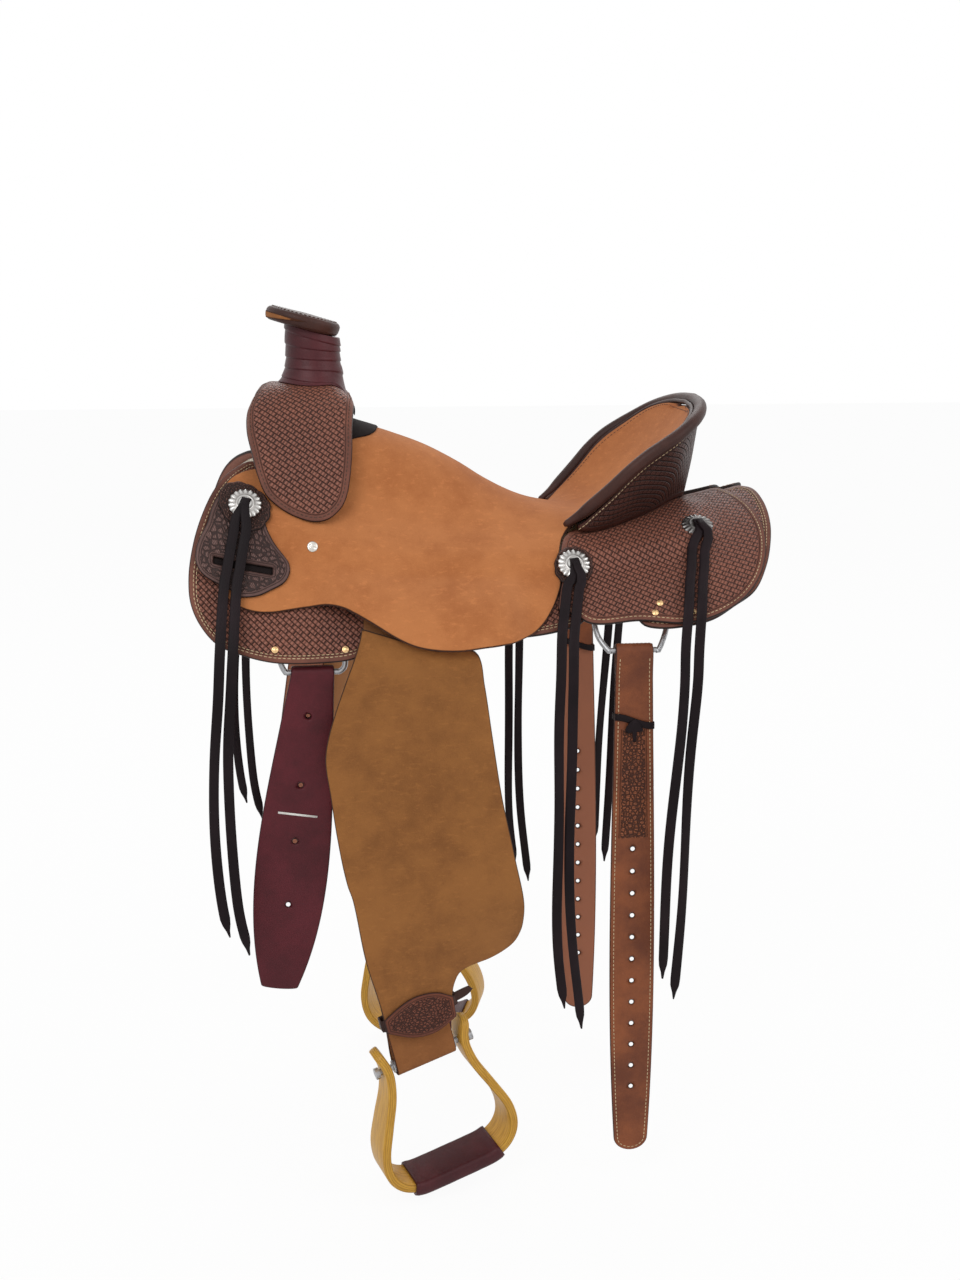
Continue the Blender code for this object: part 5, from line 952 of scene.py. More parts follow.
class NodeSheet:
    """The nodes of one material or world."""

    def __init__(self, block: Union[bpy.types.Material, bpy.types.World],
                 shader: str = "Principled BSDF") -> None:
        """Start on the nodes of a material or world.

        Args:
            block: The material or world.
            shader: Name of its shader node.
        """
        block.use_nodes = True
        self.block = block
        self.tree = block.node_tree
        self.shader = self.tree.nodes[shader]

    def node(self, kind: str, settings: Optional[Dict[str, object]] = None,
             values: Optional[Dict[Union[int, str], Value]] = None, output: Union[int, str] = 0) -> Socket:
        """Add a node.

        Args:
            kind: The node's type.
            settings: Its settings, with a ramp's stops as "stops".
            values: Values or links of its inputs.
            output: Which output is wanted.

        Returns:
            That output.
        """
        made = self.tree.nodes.new(kind)
        for key, value in (settings or {}).items():
            if key == "stops":
                ramp = made.color_ramp.elements
                while len(ramp) < len(value):
                    ramp.new(0.5)
                for element, (place, colour) in zip(ramp, value):
                    element.position = place
                    element.color = (*colour, 1.0)
            else:
                setattr(made, key, value)
        for key, value in (values or {}).items():
            self.feed(made.inputs[key], value)
        return Socket(self, made.outputs[output])

    def feed(self, inlet: bpy.types.NodeSocket, value: Value) -> None:
        """Give an input its value or link.

        Args:
            inlet: The input.
            value: What it gets.
        """
        if isinstance(value, Socket):
            self.tree.links.new(value.link, inlet)
        elif isinstance(value, tuple) and len(value) == 3 and inlet.type == "RGBA":
            inlet.default_value = (*value, 1.0)
        else:
            inlet.default_value = value

    def set(self, values: Dict[str, Value]) -> None:
        """Feed the shader's inputs."""
        for key, value in values.items():
            self.feed(self.shader.inputs[key], value)

    def mix(self, first: Value, second: Value, share: Value, kind: str = "MIX") -> Socket:
        """Mix of two colours by a blend type, the second at share 1."""
        return self.node("ShaderNodeMix", {"data_type": "RGBA", "blend_type": kind, "clamp_factor": True},
                         {0: share, 6: first, 7: second}, 2)

    def place(self) -> Socket:
        """The piece's own coordinates."""
        return self.node("ShaderNodeTexCoord", output="Object")

    def stretched(self, scale: Tuple[float, float, float]) -> Socket:
        """The piece's own coordinates at a scale of their own along each axis."""
        return self.node("ShaderNodeVectorMath", {"operation": "MULTIPLY"}, {0: self.place(), 1: scale})

    def cloud(self, scale: float, detail: float = 3.0, vector: Optional[Socket] = None,
              rough: float = 0.55) -> Socket:
        """Noise.

        Args:
            scale: Its scale.
            detail: Its octaves.
            vector: Where it is read, the piece's own coordinates if none.
            rough: How strong the octaves are.

        Returns:
            A value about 0.5.
        """
        return self.node("ShaderNodeTexNoise", {"noise_dimensions": "3D"},
                         {"Vector": vector or self.place(), "Scale": scale, "Detail": detail,
                          "Roughness": rough}, "Fac")

    def bump(self, height: Socket, distance: float, strength: float = 1.0) -> Socket:
        """Normal from a height of 0 to 1, where 1 stands for a distance in metres."""
        return self.node("ShaderNodeBump", None, {"Height": height, "Distance": distance, "Strength": strength})


class Stamp(Enum):
    """What is tooled into a leather."""

    NONE = "none"
    BASKET = "basket"
    SCROLL = "scroll"


@dataclass(frozen=True)
class Finish:
    """A finish: its name, its slot and the colours that its nodes blend."""

    name: str
    slot: str
    colour: Colour
    shade: Colour

    def dress(self, nodes: NodeSheet) -> None:
        """Lay out the finish on a material's nodes."""
        raise NotImplementedError

    def material(self) -> bpy.types.Material:
        """The finish as a material, made once."""
        return made_material(self)


@lru_cache(maxsize=None)
def made_material(finish: Finish) -> bpy.types.Material:
    """Material of a finish."""
    nodes = NodeSheet(bpy.data.materials.new(finish.name))
    finish.dress(nodes)
    return nodes.block


def scaled(colour: Colour, gain: float, lift: float = 0.0) -> Colour:
    """A colour made brighter or darker."""
    return tuple(min(1.0, part * gain + lift) for part in colour)


@dataclass(frozen=True)
class Leather(Finish):
    """A leather finish."""

    edge: Colour
    rough: float = 0.6
    nap: float = 0.0
    stamp: Stamp = Stamp.NONE
    stamp_size: float = 12.0
    stamp_turn: float = -36.0
    border: float = 9.0
    patterned: bool = True
    coat: float = 0.0
    gloss: float = 0.22
    stamp_span: Tuple[float, float] = (-9000.0, 9000.0)

    def stamped(self, nodes: NodeSheet, pattern: Socket, inset: Socket) -> Tuple[Socket, Socket, Socket]:
        """Tooling of the leather.

        Args:
            nodes: The material's nodes.
            pattern: Millimetres on the pattern.
            inset: Millimetres from the edge.

        Returns:
            Height of the tooling, where there is any, and the stretch that it is in.
        """
        start, end = self.stamp_span
        along = nodes.node("ShaderNodeSeparateXYZ", None, {0: pattern}, 1)
        within = along.step(start, start + 1.0) * (1.0 - along.step(end - 1.0, end))
        where = inset.step(self.border, self.border + 0.8) * within
        if self.stamp is Stamp.BASKET:
            turned = nodes.node("ShaderNodeVectorRotate", {"rotation_type": "Z_AXIS"},
                                {"Vector": pattern, "Angle": math.radians(self.stamp_turn)})
            joint = nodes.node("ShaderNodeTexBrick", {"offset": 0.5, "offset_frequency": 2},
                               {"Vector": turned, "Scale": 1.0 / self.stamp_size, "Mortar Size": 0.085,
                                "Mortar Smooth": 1.0, "Brick Width": 1.0, "Row Height": 0.46}, "Fac")
            across = nodes.node("ShaderNodeSeparateXYZ", None, {0: turned})
            ridges = (across * (2 * math.pi * 3 / self.stamp_size)).sine() * 0.5 + 0.5
            return (1.0 - joint) * (0.72 + ridges * 0.28), where, within
        cells = nodes.node("ShaderNodeTexVoronoi", {"feature": "DISTANCE_TO_EDGE"},
                           {"Vector": pattern, "Scale": 1.0 / self.stamp_size}, "Distance")
        petals = nodes.node("ShaderNodeTexWave", {"wave_type": "RINGS", "rings_direction": "SPHERICAL"},
                            {"Vector": pattern, "Scale": 0.16, "Distortion": 5.0, "Detail": 2.0,
                             "Detail Scale": 0.5}, "Fac")
        return cells.step(0.02, 0.22) * (0.55 + petals * 0.45), where, within

    def dress(self, nodes: NodeSheet) -> None:
        """Grain or nap, tooling with painted shade in its recesses and groove and a painted highlight on its
        crowns, cut edge and flesh side.
        """
        broad = nodes.cloud(11.0, 3.0)
        patch = nodes.cloud(48.0, 5.0, rough=0.65)
        fibre = nodes.cloud(620.0, 3.0, rough=0.7)
        tone = (broad * 0.55 + patch * 0.35 + fibre * 0.10 * (1 + self.nap)).step(0.36, 0.68)
        colour = nodes.mix(self.shade, self.colour, tone)
        if self.nap > 0:
            brushed = nodes.cloud(90.0, 4.0, nodes.stretched((1.0, 1.0, 2.6)), 0.7).step(0.52, 0.72)
            lighter = scaled(self.colour, 1.30)
            colour = nodes.mix(colour, lighter, brushed * (0.40 * self.nap))
            marks = nodes.cloud(26.0, 6.0, rough=0.75).step(0.60, 0.74)
            colour = nodes.mix(colour, self.shade, marks * (0.45 * self.nap))
            height = fibre * 0.6 + patch * 0.4
            distance = 0.0006
        else:
            pores = nodes.node("ShaderNodeTexVoronoi", {"feature": "F1"},
                               {"Vector": nodes.place(), "Scale": 850.0}, "Distance")
            height = pores * 0.12 + fibre * 0.10
            distance = 0.0011
            scuff = nodes.cloud(35.0, 6.0, rough=0.8).step(0.60, 0.78)
            worn = scaled(self.colour, 1.9, 0.02)
            colour = nodes.mix(colour, worn, scuff * 0.28)
        rough = self.rough + (patch - 0.5) * 0.25
        if self.patterned:
            pattern = nodes.node("ShaderNodeAttribute", {"attribute_name": "pattern"}, None, "Vector")
            inset = nodes.node("ShaderNodeSeparateXYZ", None, {0: pattern}, 2)
            if self.stamp is not Stamp.NONE:
                relief, where, within = self.stamped(nodes, pattern, inset)
                # painted shade: the stamps' recesses are darkened towards a much darker shade colour
                low = (1.0 - relief) * where
                deep = scaled(self.shade, 0.25)
                colour = nodes.mix(colour, deep, low * 0.90)
                # painted highlight: the stamps' crowns are lightened in colour; they are also made glossier
                crown = relief.step(0.72, 0.98) * where
                painted_highlight = scaled(self.colour, 1.75, 0.015)
                colour = nodes.mix(colour, painted_highlight, crown * 0.55)
                height = height + relief * where + (1.0 - where) * 0.85
                rough = rough - crown * 0.12
                # painted shade: the groove inside the plain border is darkened, as well as sunk in the bump
                crease = (1.0 - abs(inset - (self.border - 1.2)).step(0.0, 0.8)) * within
                colour = nodes.mix(colour, deep, crease * 0.7)
                height = height - crease * 0.7
            wall = 1.0 - abs(inset).step(0.35, 1.5)
            colour = nodes.mix(colour, self.edge, wall)
            flesh = 1.0 - inset.step(-2.2, -1.4)
            back = scaled(self.colour, 1.25, 0.05)
            colour = nodes.mix(colour, back, flesh * 0.8)
            rough = rough + flesh * 0.3
        nodes.set({"Base Color": colour, "Roughness": rough, "Normal": nodes.bump(height, distance),
                   "Coat Weight": self.coat, "Coat Roughness": 0.35,
                   "Specular IOR Level": 0.06 if self.nap > 0 else self.gloss,
                   "Sheen Weight": 0.08 * self.nap, "Sheen Roughness": 0.6})


@dataclass(frozen=True)
class Metal(Finish):
    """A metal finish."""

    rough: float = 0.28
    engraved: bool = False

    def dress(self, nodes: NodeSheet) -> None:
        """Polish that is dull in its grooves."""
        haze = nodes.cloud(140.0, 5.0, rough=0.7)
        fine = nodes.cloud(900.0, 2.0, nodes.stretched((1.0, 3.0, 1.0)))
        dull = haze.step(0.50, 0.72)
        if self.engraved:
            pattern = nodes.node("ShaderNodeAttribute", {"attribute_name": "pattern"}, None, "Vector")
            groove = nodes.node("ShaderNodeSeparateXYZ", None, {0: pattern}, 2)
            dull = nodes.node("ShaderNodeMath", {"operation": "MAXIMUM"}, {0: dull * 0.6, 1: groove})
        colour = nodes.mix(self.colour, self.shade, dull * 0.85)
        nodes.set({"Base Color": colour, "Metallic": 1.0, "Roughness": self.rough + dull * 0.2,
                   "Normal": nodes.bump(fine, 0.00006)})


@dataclass(frozen=True)
class Wood(Finish):
    """A wood finish whose layers follow the bend."""

    bent: bool = True

    def dress(self, nodes: NodeSheet) -> None:
        """Grain and glue lines that follow the bend."""
        if self.bent:
            pattern = nodes.node("ShaderNodeAttribute", {"attribute_name": "pattern"}, None, "Vector")
            grain_at = nodes.node("ShaderNodeVectorMath", {"operation": "MULTIPLY"},
                                  {0: pattern, 1: (0.02, 0.35, 1.1)})
            layer = nodes.node("ShaderNodeSeparateXYZ", None, {0: pattern}, 2)
            seams = (layer * (2 * math.pi / 2.6)).sine().step(0.80, 1.0)
        else:
            grain_at = nodes.stretched((14.0, 160.0, 160.0))
            seams = nodes.cloud(1.0, 2.0, grain_at).step(0.62, 0.8)
        grain = nodes.cloud(1.6, 6.0, grain_at, 0.62)
        pore = nodes.cloud(9.0, 3.0, grain_at)
        colour = nodes.mix(self.shade, self.colour, grain.step(0.34, 0.62))
        colour = nodes.mix(colour, scaled(self.shade, 0.45), pore.step(0.62, 0.75) * 0.5)
        colour = nodes.mix(colour, scaled(self.shade, 0.40), seams * 0.65)
        nodes.set({"Base Color": colour, "Roughness": 0.34 + grain * 0.2, "Specular IOR Level": 0.25,
                   "Coat Weight": 0.08, "Coat Roughness": 0.2,
                   "Normal": nodes.bump(grain - seams * 0.8, 0.0003)})


@dataclass(frozen=True)
class Wool(Finish):
    """Woolskin."""


    def dress(self, nodes: NodeSheet) -> None:
        """Tufts and curls, with painted shade in the hollows between the tufts."""
        tufts = nodes.node("ShaderNodeTexVoronoi", {"feature": "F1"},
                           {"Vector": nodes.place(), "Scale": 210.0}, "Distance")
        curls = nodes.cloud(420.0, 5.0, rough=0.75)
        # painted shade: the colour darkens where the wool lies low between tufts, as the bump does
        colour = nodes.mix(self.shade, self.colour, (1.0 - tufts * 0.9 + curls * 0.4).step(0.35, 1.0))
        nodes.set({"Base Color": colour, "Roughness": 0.95, "Specular IOR Level": 0.1, "Sheen Weight": 0.4,
                   "Normal": nodes.bump(curls * 0.6 - tufts, 0.0022)})


@dataclass(frozen=True)
class Cord(Finish):
    """Thread or other plain twisted stuff."""


    def dress(self, nodes: NodeSheet) -> None:
        """Twist and worn places."""
        twist = nodes.cloud(1500.0, 2.0)
        worn = nodes.cloud(40.0, 4.0).step(0.45, 0.7)
        colour = nodes.mix(self.colour, self.shade, worn * 0.6)
        nodes.set({"Base Color": colour, "Roughness": 0.7 + twist * 0.1, "Normal": nodes.bump(twist, 0.0001)})


# Finishes of this saddle

DARK_EDGE: Colour = (0.014, 0.007, 0.006)
TOOLED = Leather("tooled_leather", "dark_tooled_leather", (0.205, 0.075, 0.048), (0.105, 0.037, 0.025),
                 DARK_EDGE, 0.50, stamp=Stamp.BASKET)
# painted shade: a darker copy of the tooled leather for the cantle's back, which lies in shadow
TOOLED_SHADED = Leather("cantle_back_shaded_leather", "dark_tooled_leather", (0.062, 0.018, 0.011),
                      (0.030, 0.009, 0.007), DARK_EDGE, 0.50, stamp=Stamp.BASKET)
SCROLLED = Leather("scroll_leather", "dark_tooled_leather", (0.165, 0.092, 0.080), (0.088, 0.046, 0.040),
                   DARK_EDGE, 0.48, stamp=Stamp.SCROLL, stamp_size=7.0, border=5.0)
PLAIN_DARK = Leather("plain_dark_leather", "dark_tooled_leather", (0.060, 0.022, 0.014),
                     (0.028, 0.011, 0.008), DARK_EDGE, 0.48, patterned=False)
ROLLED = Leather("rolled_leather", "dark_tooled_leather", (0.068, 0.025, 0.018), (0.032, 0.012, 0.009),
                 DARK_EDGE, 0.45, patterned=False)
SEAT_HIDE = Leather("seat_roughout", "roughout_leather", (0.505, 0.190, 0.066), (0.395, 0.135, 0.044),
                    (0.050, 0.018, 0.010), 0.9, nap=1.0)
FENDER_HIDE = Leather("fender_roughout", "fender_leather", (0.300, 0.123, 0.036), (0.200, 0.078, 0.024),
                      (0.045, 0.020, 0.010), 0.9, nap=1.0)
LOOP_HIDE = Leather("loop_leather", "roughout_leather", (0.340, 0.140, 0.048), (0.240, 0.092, 0.032),
                    (0.060, 0.022, 0.012), 0.8, nap=0.5)
BURGUNDY = Leather("latigo_leather", "burgundy_leather", (0.110, 0.015, 0.022), (0.066, 0.009, 0.013),
                   (0.026, 0.005, 0.007), 0.46)
BURGUNDY_WRAP = Leather("wrap_leather", "burgundy_leather", (0.090, 0.017, 0.021), (0.048, 0.009, 0.012),
                        DARK_EDGE, 0.40, patterned=False, coat=0.04)
RUSSET = Leather("russet_leather_finish", "russet_leather", (0.230, 0.072, 0.030), (0.135, 0.040, 0.018),
                 (0.045, 0.016, 0.010), 0.48)
STRING_HIDE = Leather("string_leather_finish", "string_leather", (0.015, 0.008, 0.010),
                      (0.007, 0.004, 0.005), (0.004, 0.003, 0.003), 0.50, patterned=False, gloss=0.12)
# painted shade: a near-black leather laid where a slot or a gap shows only shadow
SLOT_SHADE = Leather("painted_slot_shade", "dark_tooled_leather", (0.012, 0.006, 0.005), (0.006, 0.003, 0.003),
                     (0.004, 0.002, 0.002), 0.9, patterned=False)
WOOLSKIN = Wool("woolskin_finish", "woolskin", (0.76, 0.70, 0.58), (0.50, 0.43, 0.32))
RAWHIDE = Wood("tree_rawhide", "tree_wood", (0.58, 0.44, 0.27), (0.40, 0.27, 0.14), bent=False)
BENTWOOD = Wood("bent_wood_finish", "bent_wood", (0.63, 0.345, 0.050), (0.45, 0.215, 0.024))
SILVER = Metal("silver_finish", "silver", (0.62, 0.61, 0.59), (0.14, 0.12, 0.11), 0.26, engraved=True)
DARK_SILVER = Metal("dark_silver_finish", "silver", (0.30, 0.29, 0.28), (0.06, 0.05, 0.05), 0.30,
                    engraved=True)
SCREW = Metal("screw_finish", "silver", (0.66, 0.63, 0.58), (0.22, 0.17, 0.12), 0.30)
STEEL = Metal("steel_finish", "steel", (0.40, 0.40, 0.41), (0.16, 0.15, 0.14), 0.36)
BRASS = Metal("brass_finish", "silver", (0.78, 0.52, 0.26), (0.40, 0.24, 0.12), 0.30)
THREAD = Cord("cream_thread", "dark_tooled_leather", (0.62, 0.47, 0.28), (0.36, 0.24, 0.13))
DARK_THREAD = Cord("dark_thread", "roughout_leather", (0.070, 0.032, 0.020), (0.035, 0.016, 0.010))
PAPER = Cord("paper_band", "burgundy_leather", (0.82, 0.80, 0.76), (0.66, 0.62, 0.56))


def mount(piece: bpy.types.Object, finish: Finish, body: str, *nodes: str) -> bpy.types.Object:
    """Dress a piece and hang it on its body.

    Args:
        piece: The piece.
        finish: Its finish.
        body: The body that it moves with.
        nodes: Nodes of the frame that it stands for.

    Returns:
        The piece.
    """
    piece.data.materials.clear()
    piece.data.materials.append(finish.material())
    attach(piece, body)
    if nodes:
        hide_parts(*nodes)
    LOG.info("%s on %s", piece.name, body)
    return piece


def both_sides(piece: bpy.types.Object, finish: Finish, body: str, *nodes: str) -> None:
    """Hang a near piece and its mirror copy.

    Args:
        piece: The near piece, its name starting with near_.
        finish: Its finish.
        body: Body without its side, or saddle.
        nodes: Nodes without their side.
    """
    twin = mirrored(piece, piece.name.replace("near_", "off_"))
    for item, side in ((piece, Side.NEAR), (twin, Side.OFF)):
        own = body if body == "saddle" else f"{side.value}_{body}"
        mount(item, finish, own, *[f"{side.value}_{node}" for node in nodes])


def dress_node(name: str, finish: Finish) -> None:
    """Give a node of the frame its finish.

    Args:
        name: The node.
        finish: Its finish.
    """
    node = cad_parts[name]
    node.data.materials.clear()
    node.data.materials.append(finish.material())


# Skirts and rear jockeys

SKIRT_EDGE = (
    (-0.262, 0.004), (-0.280, 0.007), (-0.298, 0.028), (-0.317, 0.062), (-0.331, 0.102), (-0.341, 0.145),
    (-0.345, 0.187), (-0.342, 0.213), (-0.332, 0.232), (-0.314, 0.247), (-0.288, 0.251), (-0.255, 0.251),
    (-0.234, 0.248), (-0.200, 0.241), (-0.167, 0.233), (-0.140, 0.221), (-0.100, 0.212), (-0.050, 0.206),
    (0.020, 0.204), (0.070, 0.200), (0.096, 0.193), (0.104, 0.186), (0.136, 0.184), (0.158, 0.194),
    (0.168, 0.207), (0.185, 0.214), (0.219, 0.218), (0.249, 0.216), (0.274, 0.206), (0.301, 0.193),
    (0.321, 0.164), (0.334, 0.130), (0.341, 0.099), (0.343, 0.055), (0.338, 0.022), (0.325, 0.004),
)
FLEECE_EDGE = (
    (-0.262, 0.010), (-0.278, 0.013), (-0.292, 0.033), (-0.309, 0.066), (-0.322, 0.104), (-0.331, 0.146),
    (-0.334, 0.186), (-0.331, 0.208), (-0.322, 0.223), (-0.309, 0.234), (-0.288, 0.238), (-0.272, 0.236),
    (-0.266, 0.190), (-0.160, 0.186), (-0.152, 0.212), (-0.135, 0.208), (-0.050, 0.196),
    (0.020, 0.194), (0.070, 0.190), (0.086, 0.184), (0.094, 0.142), (0.210, 0.142), (0.214, 0.200),
    (0.219, 0.206), (0.247, 0.204), (0.270, 0.195), (0.293, 0.182), (0.311, 0.158), (0.323, 0.127),
    (0.330, 0.098), (0.332, 0.056), (0.328, 0.026), (0.318, 0.010),
)
REAR_JOCKEY_EDGE = (
    (0.252, 0.003), (0.297, 0.003), (0.307, 0.019), (0.324, 0.066), (0.329, 0.110), (0.324, 0.145),
    (0.309, 0.179), (0.286, 0.202), (0.257, 0.214), (0.219, 0.217), (0.162, 0.203), (0.105, 0.197),
    (0.088, 0.184), (0.070, 0.176), (0.0750, 0.152), (0.0779, 0.141), (0.0779, 0.121), (0.0809, 0.099),
    (0.0869, 0.0825), (0.098, 0.070), (0.122, 0.070), (0.140, 0.067), (0.160, 0.060), (0.196, 0.046),
    (0.226, 0.030), (0.243, 0.014),
)


@dataclass
class Skirts:
    """Skirts with their woolskin, and the rear jockeys on them."""

    thick: float = 0.005
    jockey_thick: float = 0.0045
    wool_thick: float = 0.010
    tuft: float = 0.0032
    stitch_insets: Tuple[float, ...] = (0.0055, 0.0085)
    jockey_insets: Tuple[float, ...] = (0.0050,)
    ridge_drop: float = 0.012
    jockey_drop: float = 0.010
    seat_corner: Tuple[float, float] = (0.25, 0.17)

    def build(self) -> None:
        """Make and dress both sides."""
        skirt = BACK.laid(level(BACK.skirt_under), self.thick)
        loop = smooth_loop(SKIRT_EDGE)
        both_sides(Sheet(loop, skirt, self.thick).build("near_skirt_leather"), TOOLED, "saddle", "skirt")
        both_sides(stitch_edge("near_skirt_stitching", loop, skirt, self.stitch_insets, self.below_ridge),
                   THREAD, "saddle")
        self.build_wool()
        jockey = BACK.laid(BACK.on_bars, self.jockey_thick)
        rear = smooth_loop(REAR_JOCKEY_EDGE)
        both_sides(Sheet(rear, jockey, self.jockey_thick).build("near_rear_jockey_leather"), TOOLED,
                   "saddle", "rear_jockey")
        both_sides(stitch_edge("near_rear_jockey_stitching", rear, jockey, self.jockey_insets,
                               self.behind_seat), THREAD, "saddle")

    def below_ridge(self, x: Array, drop: Array) -> Array:
        """Whether a place is clear of the middle line, where the skirts meet."""
        return drop > self.ridge_drop

    def behind_seat(self, x: Array, drop: Array) -> Array:
        """Whether a place on the rear jockey is clear of the seat and the middle line."""
        seat_x, seat_drop = self.seat_corner
        return (drop > self.jockey_drop) & ~((x < seat_x) & (drop < seat_drop))

    def build_wool(self) -> None:
        """Make and dress the woolskin."""
        wool = BACK.laid(level(BACK.fleece_under), self.wool_thick)

        def tufts(u: Array, v: Array, inset: Array, over: bool) -> Array:
            """Curled wool on the underside and the edge."""
            if over:
                return np.zeros(u.shape)
            lumps = np.array([noise.noise(Vector((a * 130, b * 130, 0.0)))
                              + 0.6 * noise.noise(Vector((a * 300, b * 300, 4.0))) for a, b in zip(u, v)])
            return (-np.abs(lumps) * self.tuft + 0.0016) * np.clip(inset / 0.004, 0.0, 1.0)
        piece = Sheet(smooth_loop(FLEECE_EDGE), wool, self.wool_thick, 0.0036, 0.0045,
                      relief=tufts).build("near_woolskin")
        both_sides(piece, WOOLSKIN, "saddle", "fleece")


# Cantle and seat

RIM = (
    (0.0880, 0.1060, 0.0605), (0.0980, 0.1085, 0.0672), (0.1080, 0.1120, 0.0745),
    (0.1220, 0.1185, 0.0880), (0.1400, 0.1275, 0.1060),
    (0.1600, 0.1355, 0.1270), (0.1800, 0.1385, 0.1440), (0.2000, 0.1370, 0.1570), (0.2180, 0.1310, 0.1680),
    (0.2360, 0.1160, 0.1800), (0.2500, 0.0900, 0.1890), (0.2600, 0.0500, 0.1955), (0.2640, 0.0000, 0.1980),
)
CANTLE_BASE = (
    (0.0980, 0.0690), (0.1080, 0.0755), (0.1200, 0.0780), (0.1400, 0.0750), (0.1620, 0.0675),
    (0.1980, 0.0530), (0.2280, 0.0370), (0.2460, 0.0210), (0.2550, 0.0030),
)


@dataclass
class Cantle:
    """Tooled back of the cantle and the roll round its rim."""

    roll: float = 0.0075
    cover_thick: float = 0.0038
    stand: float = 0.0014
    bulge: float = 0.004
    first: float = 0.05

    def rim(self) -> Trail:
        """Centreline of the roll, from the near corner to the top."""
        return Trail(spline([(x, -out, height) for x, out, height in RIM], 8))

    def inner_rim(self) -> Array:
        """Edge of the seat inside the roll, as x, half width and height."""
        line = self.rim().points
        ahead = np.gradient(line, axis=0)
        ahead[-1] = (0.0, 1.0, 0.0)
        toward = unit(np.stack([ahead[:, 1], -ahead[:, 0], np.zeros(len(line))], axis=1))
        toward[toward[:, 1] < 0] *= -1
        toward[-1] = (-1.0, 0.0, 0.0)
        inner = line + toward * (self.roll + 6 * GAP)
        return np.stack([inner[:, 0], -inner[:, 1], inner[:, 2]], axis=1)

    def back_form(self) -> Tuple[Form, Callable[[Array], Array], float]:
        """Form of the back, u along the rim from the top centre and v down from the roll.

        Returns:
            The form, the height of the back for u, and the rim's length.
        """
        rim, foot = self.rim(), Trail(spline(CANTLE_BASE, 8))

        def ends(u: Array) -> Tuple[Array, Array, Array]:
            """Top, foot and normal of the near half."""
            share = 1.0 - np.abs(u) / rim.total
            top = rim.at(rim.total * share)
            spot = foot.at(foot.total * share)
            lift = BACK.over_rear(spot[:, 0], spot[:, 1]) + self.stand
            low = BACK.drape(spot[:, 0], np.maximum(spot[:, 1], 0.0), lift)
            low[share >= 1.0, 1] = 0.0
            fall = unit(low - top)
            ahead = rim.ahead(rim.total * np.minimum(share, 0.995), rim.total * 0.01)
            centre = ease((share - 0.97) / 0.03)[:, None]
            ahead = unit(ahead * (1 - centre) + np.array((0.0, 1.0, 0.0)) * centre)
            slant = np.sqrt(1 - np.sum(ahead * fall, axis=1) ** 2)[:, None]
            top = top + fall * (self.roll + 2 * GAP) / slant
            normal = unit(np.cross(ahead, fall))
            wrong = np.where(share > 0.5, normal[:, 0] < 0, normal[:, 1] > 0)
            normal[wrong] *= -1
            return top, low, normal

        def tall(u: Array) -> Array:
            """Height of the back."""
            top, low, _ = ends(u)
            return np.linalg.norm(low - top, axis=1)

        def form(u: Array, v: Array, face: Array) -> Array:
            """Points of the back."""
            top, low, normal = ends(u)
            share = v / np.linalg.norm(low - top, axis=1)
            out = np.sin(math.pi * np.clip(share, 0, 1)) * self.bulge + self.cover_thick * (face - 0.5)
            rows = top + (low - top) * share[:, None] + normal * out[:, None]
            rows[:, 1] = np.where(u > 0, -rows[:, 1], rows[:, 1])
            return rows
        return form, tall, rim.total

    def build(self) -> None:
        """Make and dress the cantle."""
        form, tall, total = self.back_form()
        reach = total * (1 - self.first)
        u = np.linspace(-reach, reach, 120)
        loop = np.concatenate([np.stack([u, np.zeros(u.shape)], axis=1),
                               np.stack([u, tall(u)], axis=1)[::-1]])
        sheet = Sheet(loop, form, self.cover_thick, 0.0045, 0.0012)
        # the cantle's back takes the darker copy of the tooled leather, with painted shade
        mount(sheet.build("cantle_back"), TOOLED_SHADED, "saddle", "cantle_cover")
        seam = surface_run(form, np.stack([u, np.full(u.shape, 0.0045)], axis=1))
        mount(Thread().along("cantle_back_stitching", [seam]), THREAD, "saddle")
        rim = self.rim()
        share = np.linspace(0.0, 1.0, 90)
        line = rim.at(rim.total * share)
        line[-1, 1] = 0.0
        radii = self.roll * (0.55 + 0.45 * ease(share / 0.12))
        radii[0] *= 0.55
        whole = np.concatenate([line, (line * FLIP)[-2::-1]])
        rings = tube_rings(whole, np.concatenate([radii, radii[-2::-1]]), 18)
        mount(lofted("cantle_roll", rings), ROLLED, "saddle", "cantle_binding")
        inner = self.inner_rim() * FLIP + np.array((-0.0006, 0.0, -0.0026))
        inner = inner[6:]
        inner[-1, 1] = 0.0
        whole = np.concatenate([inner, (inner * FLIP)[-2::-1]])
        rings = tube_rings(whole, np.full(len(whole), 0.0027), 10)
        mount(lofted("cantle_welt", rings), ROLLED, "saddle")


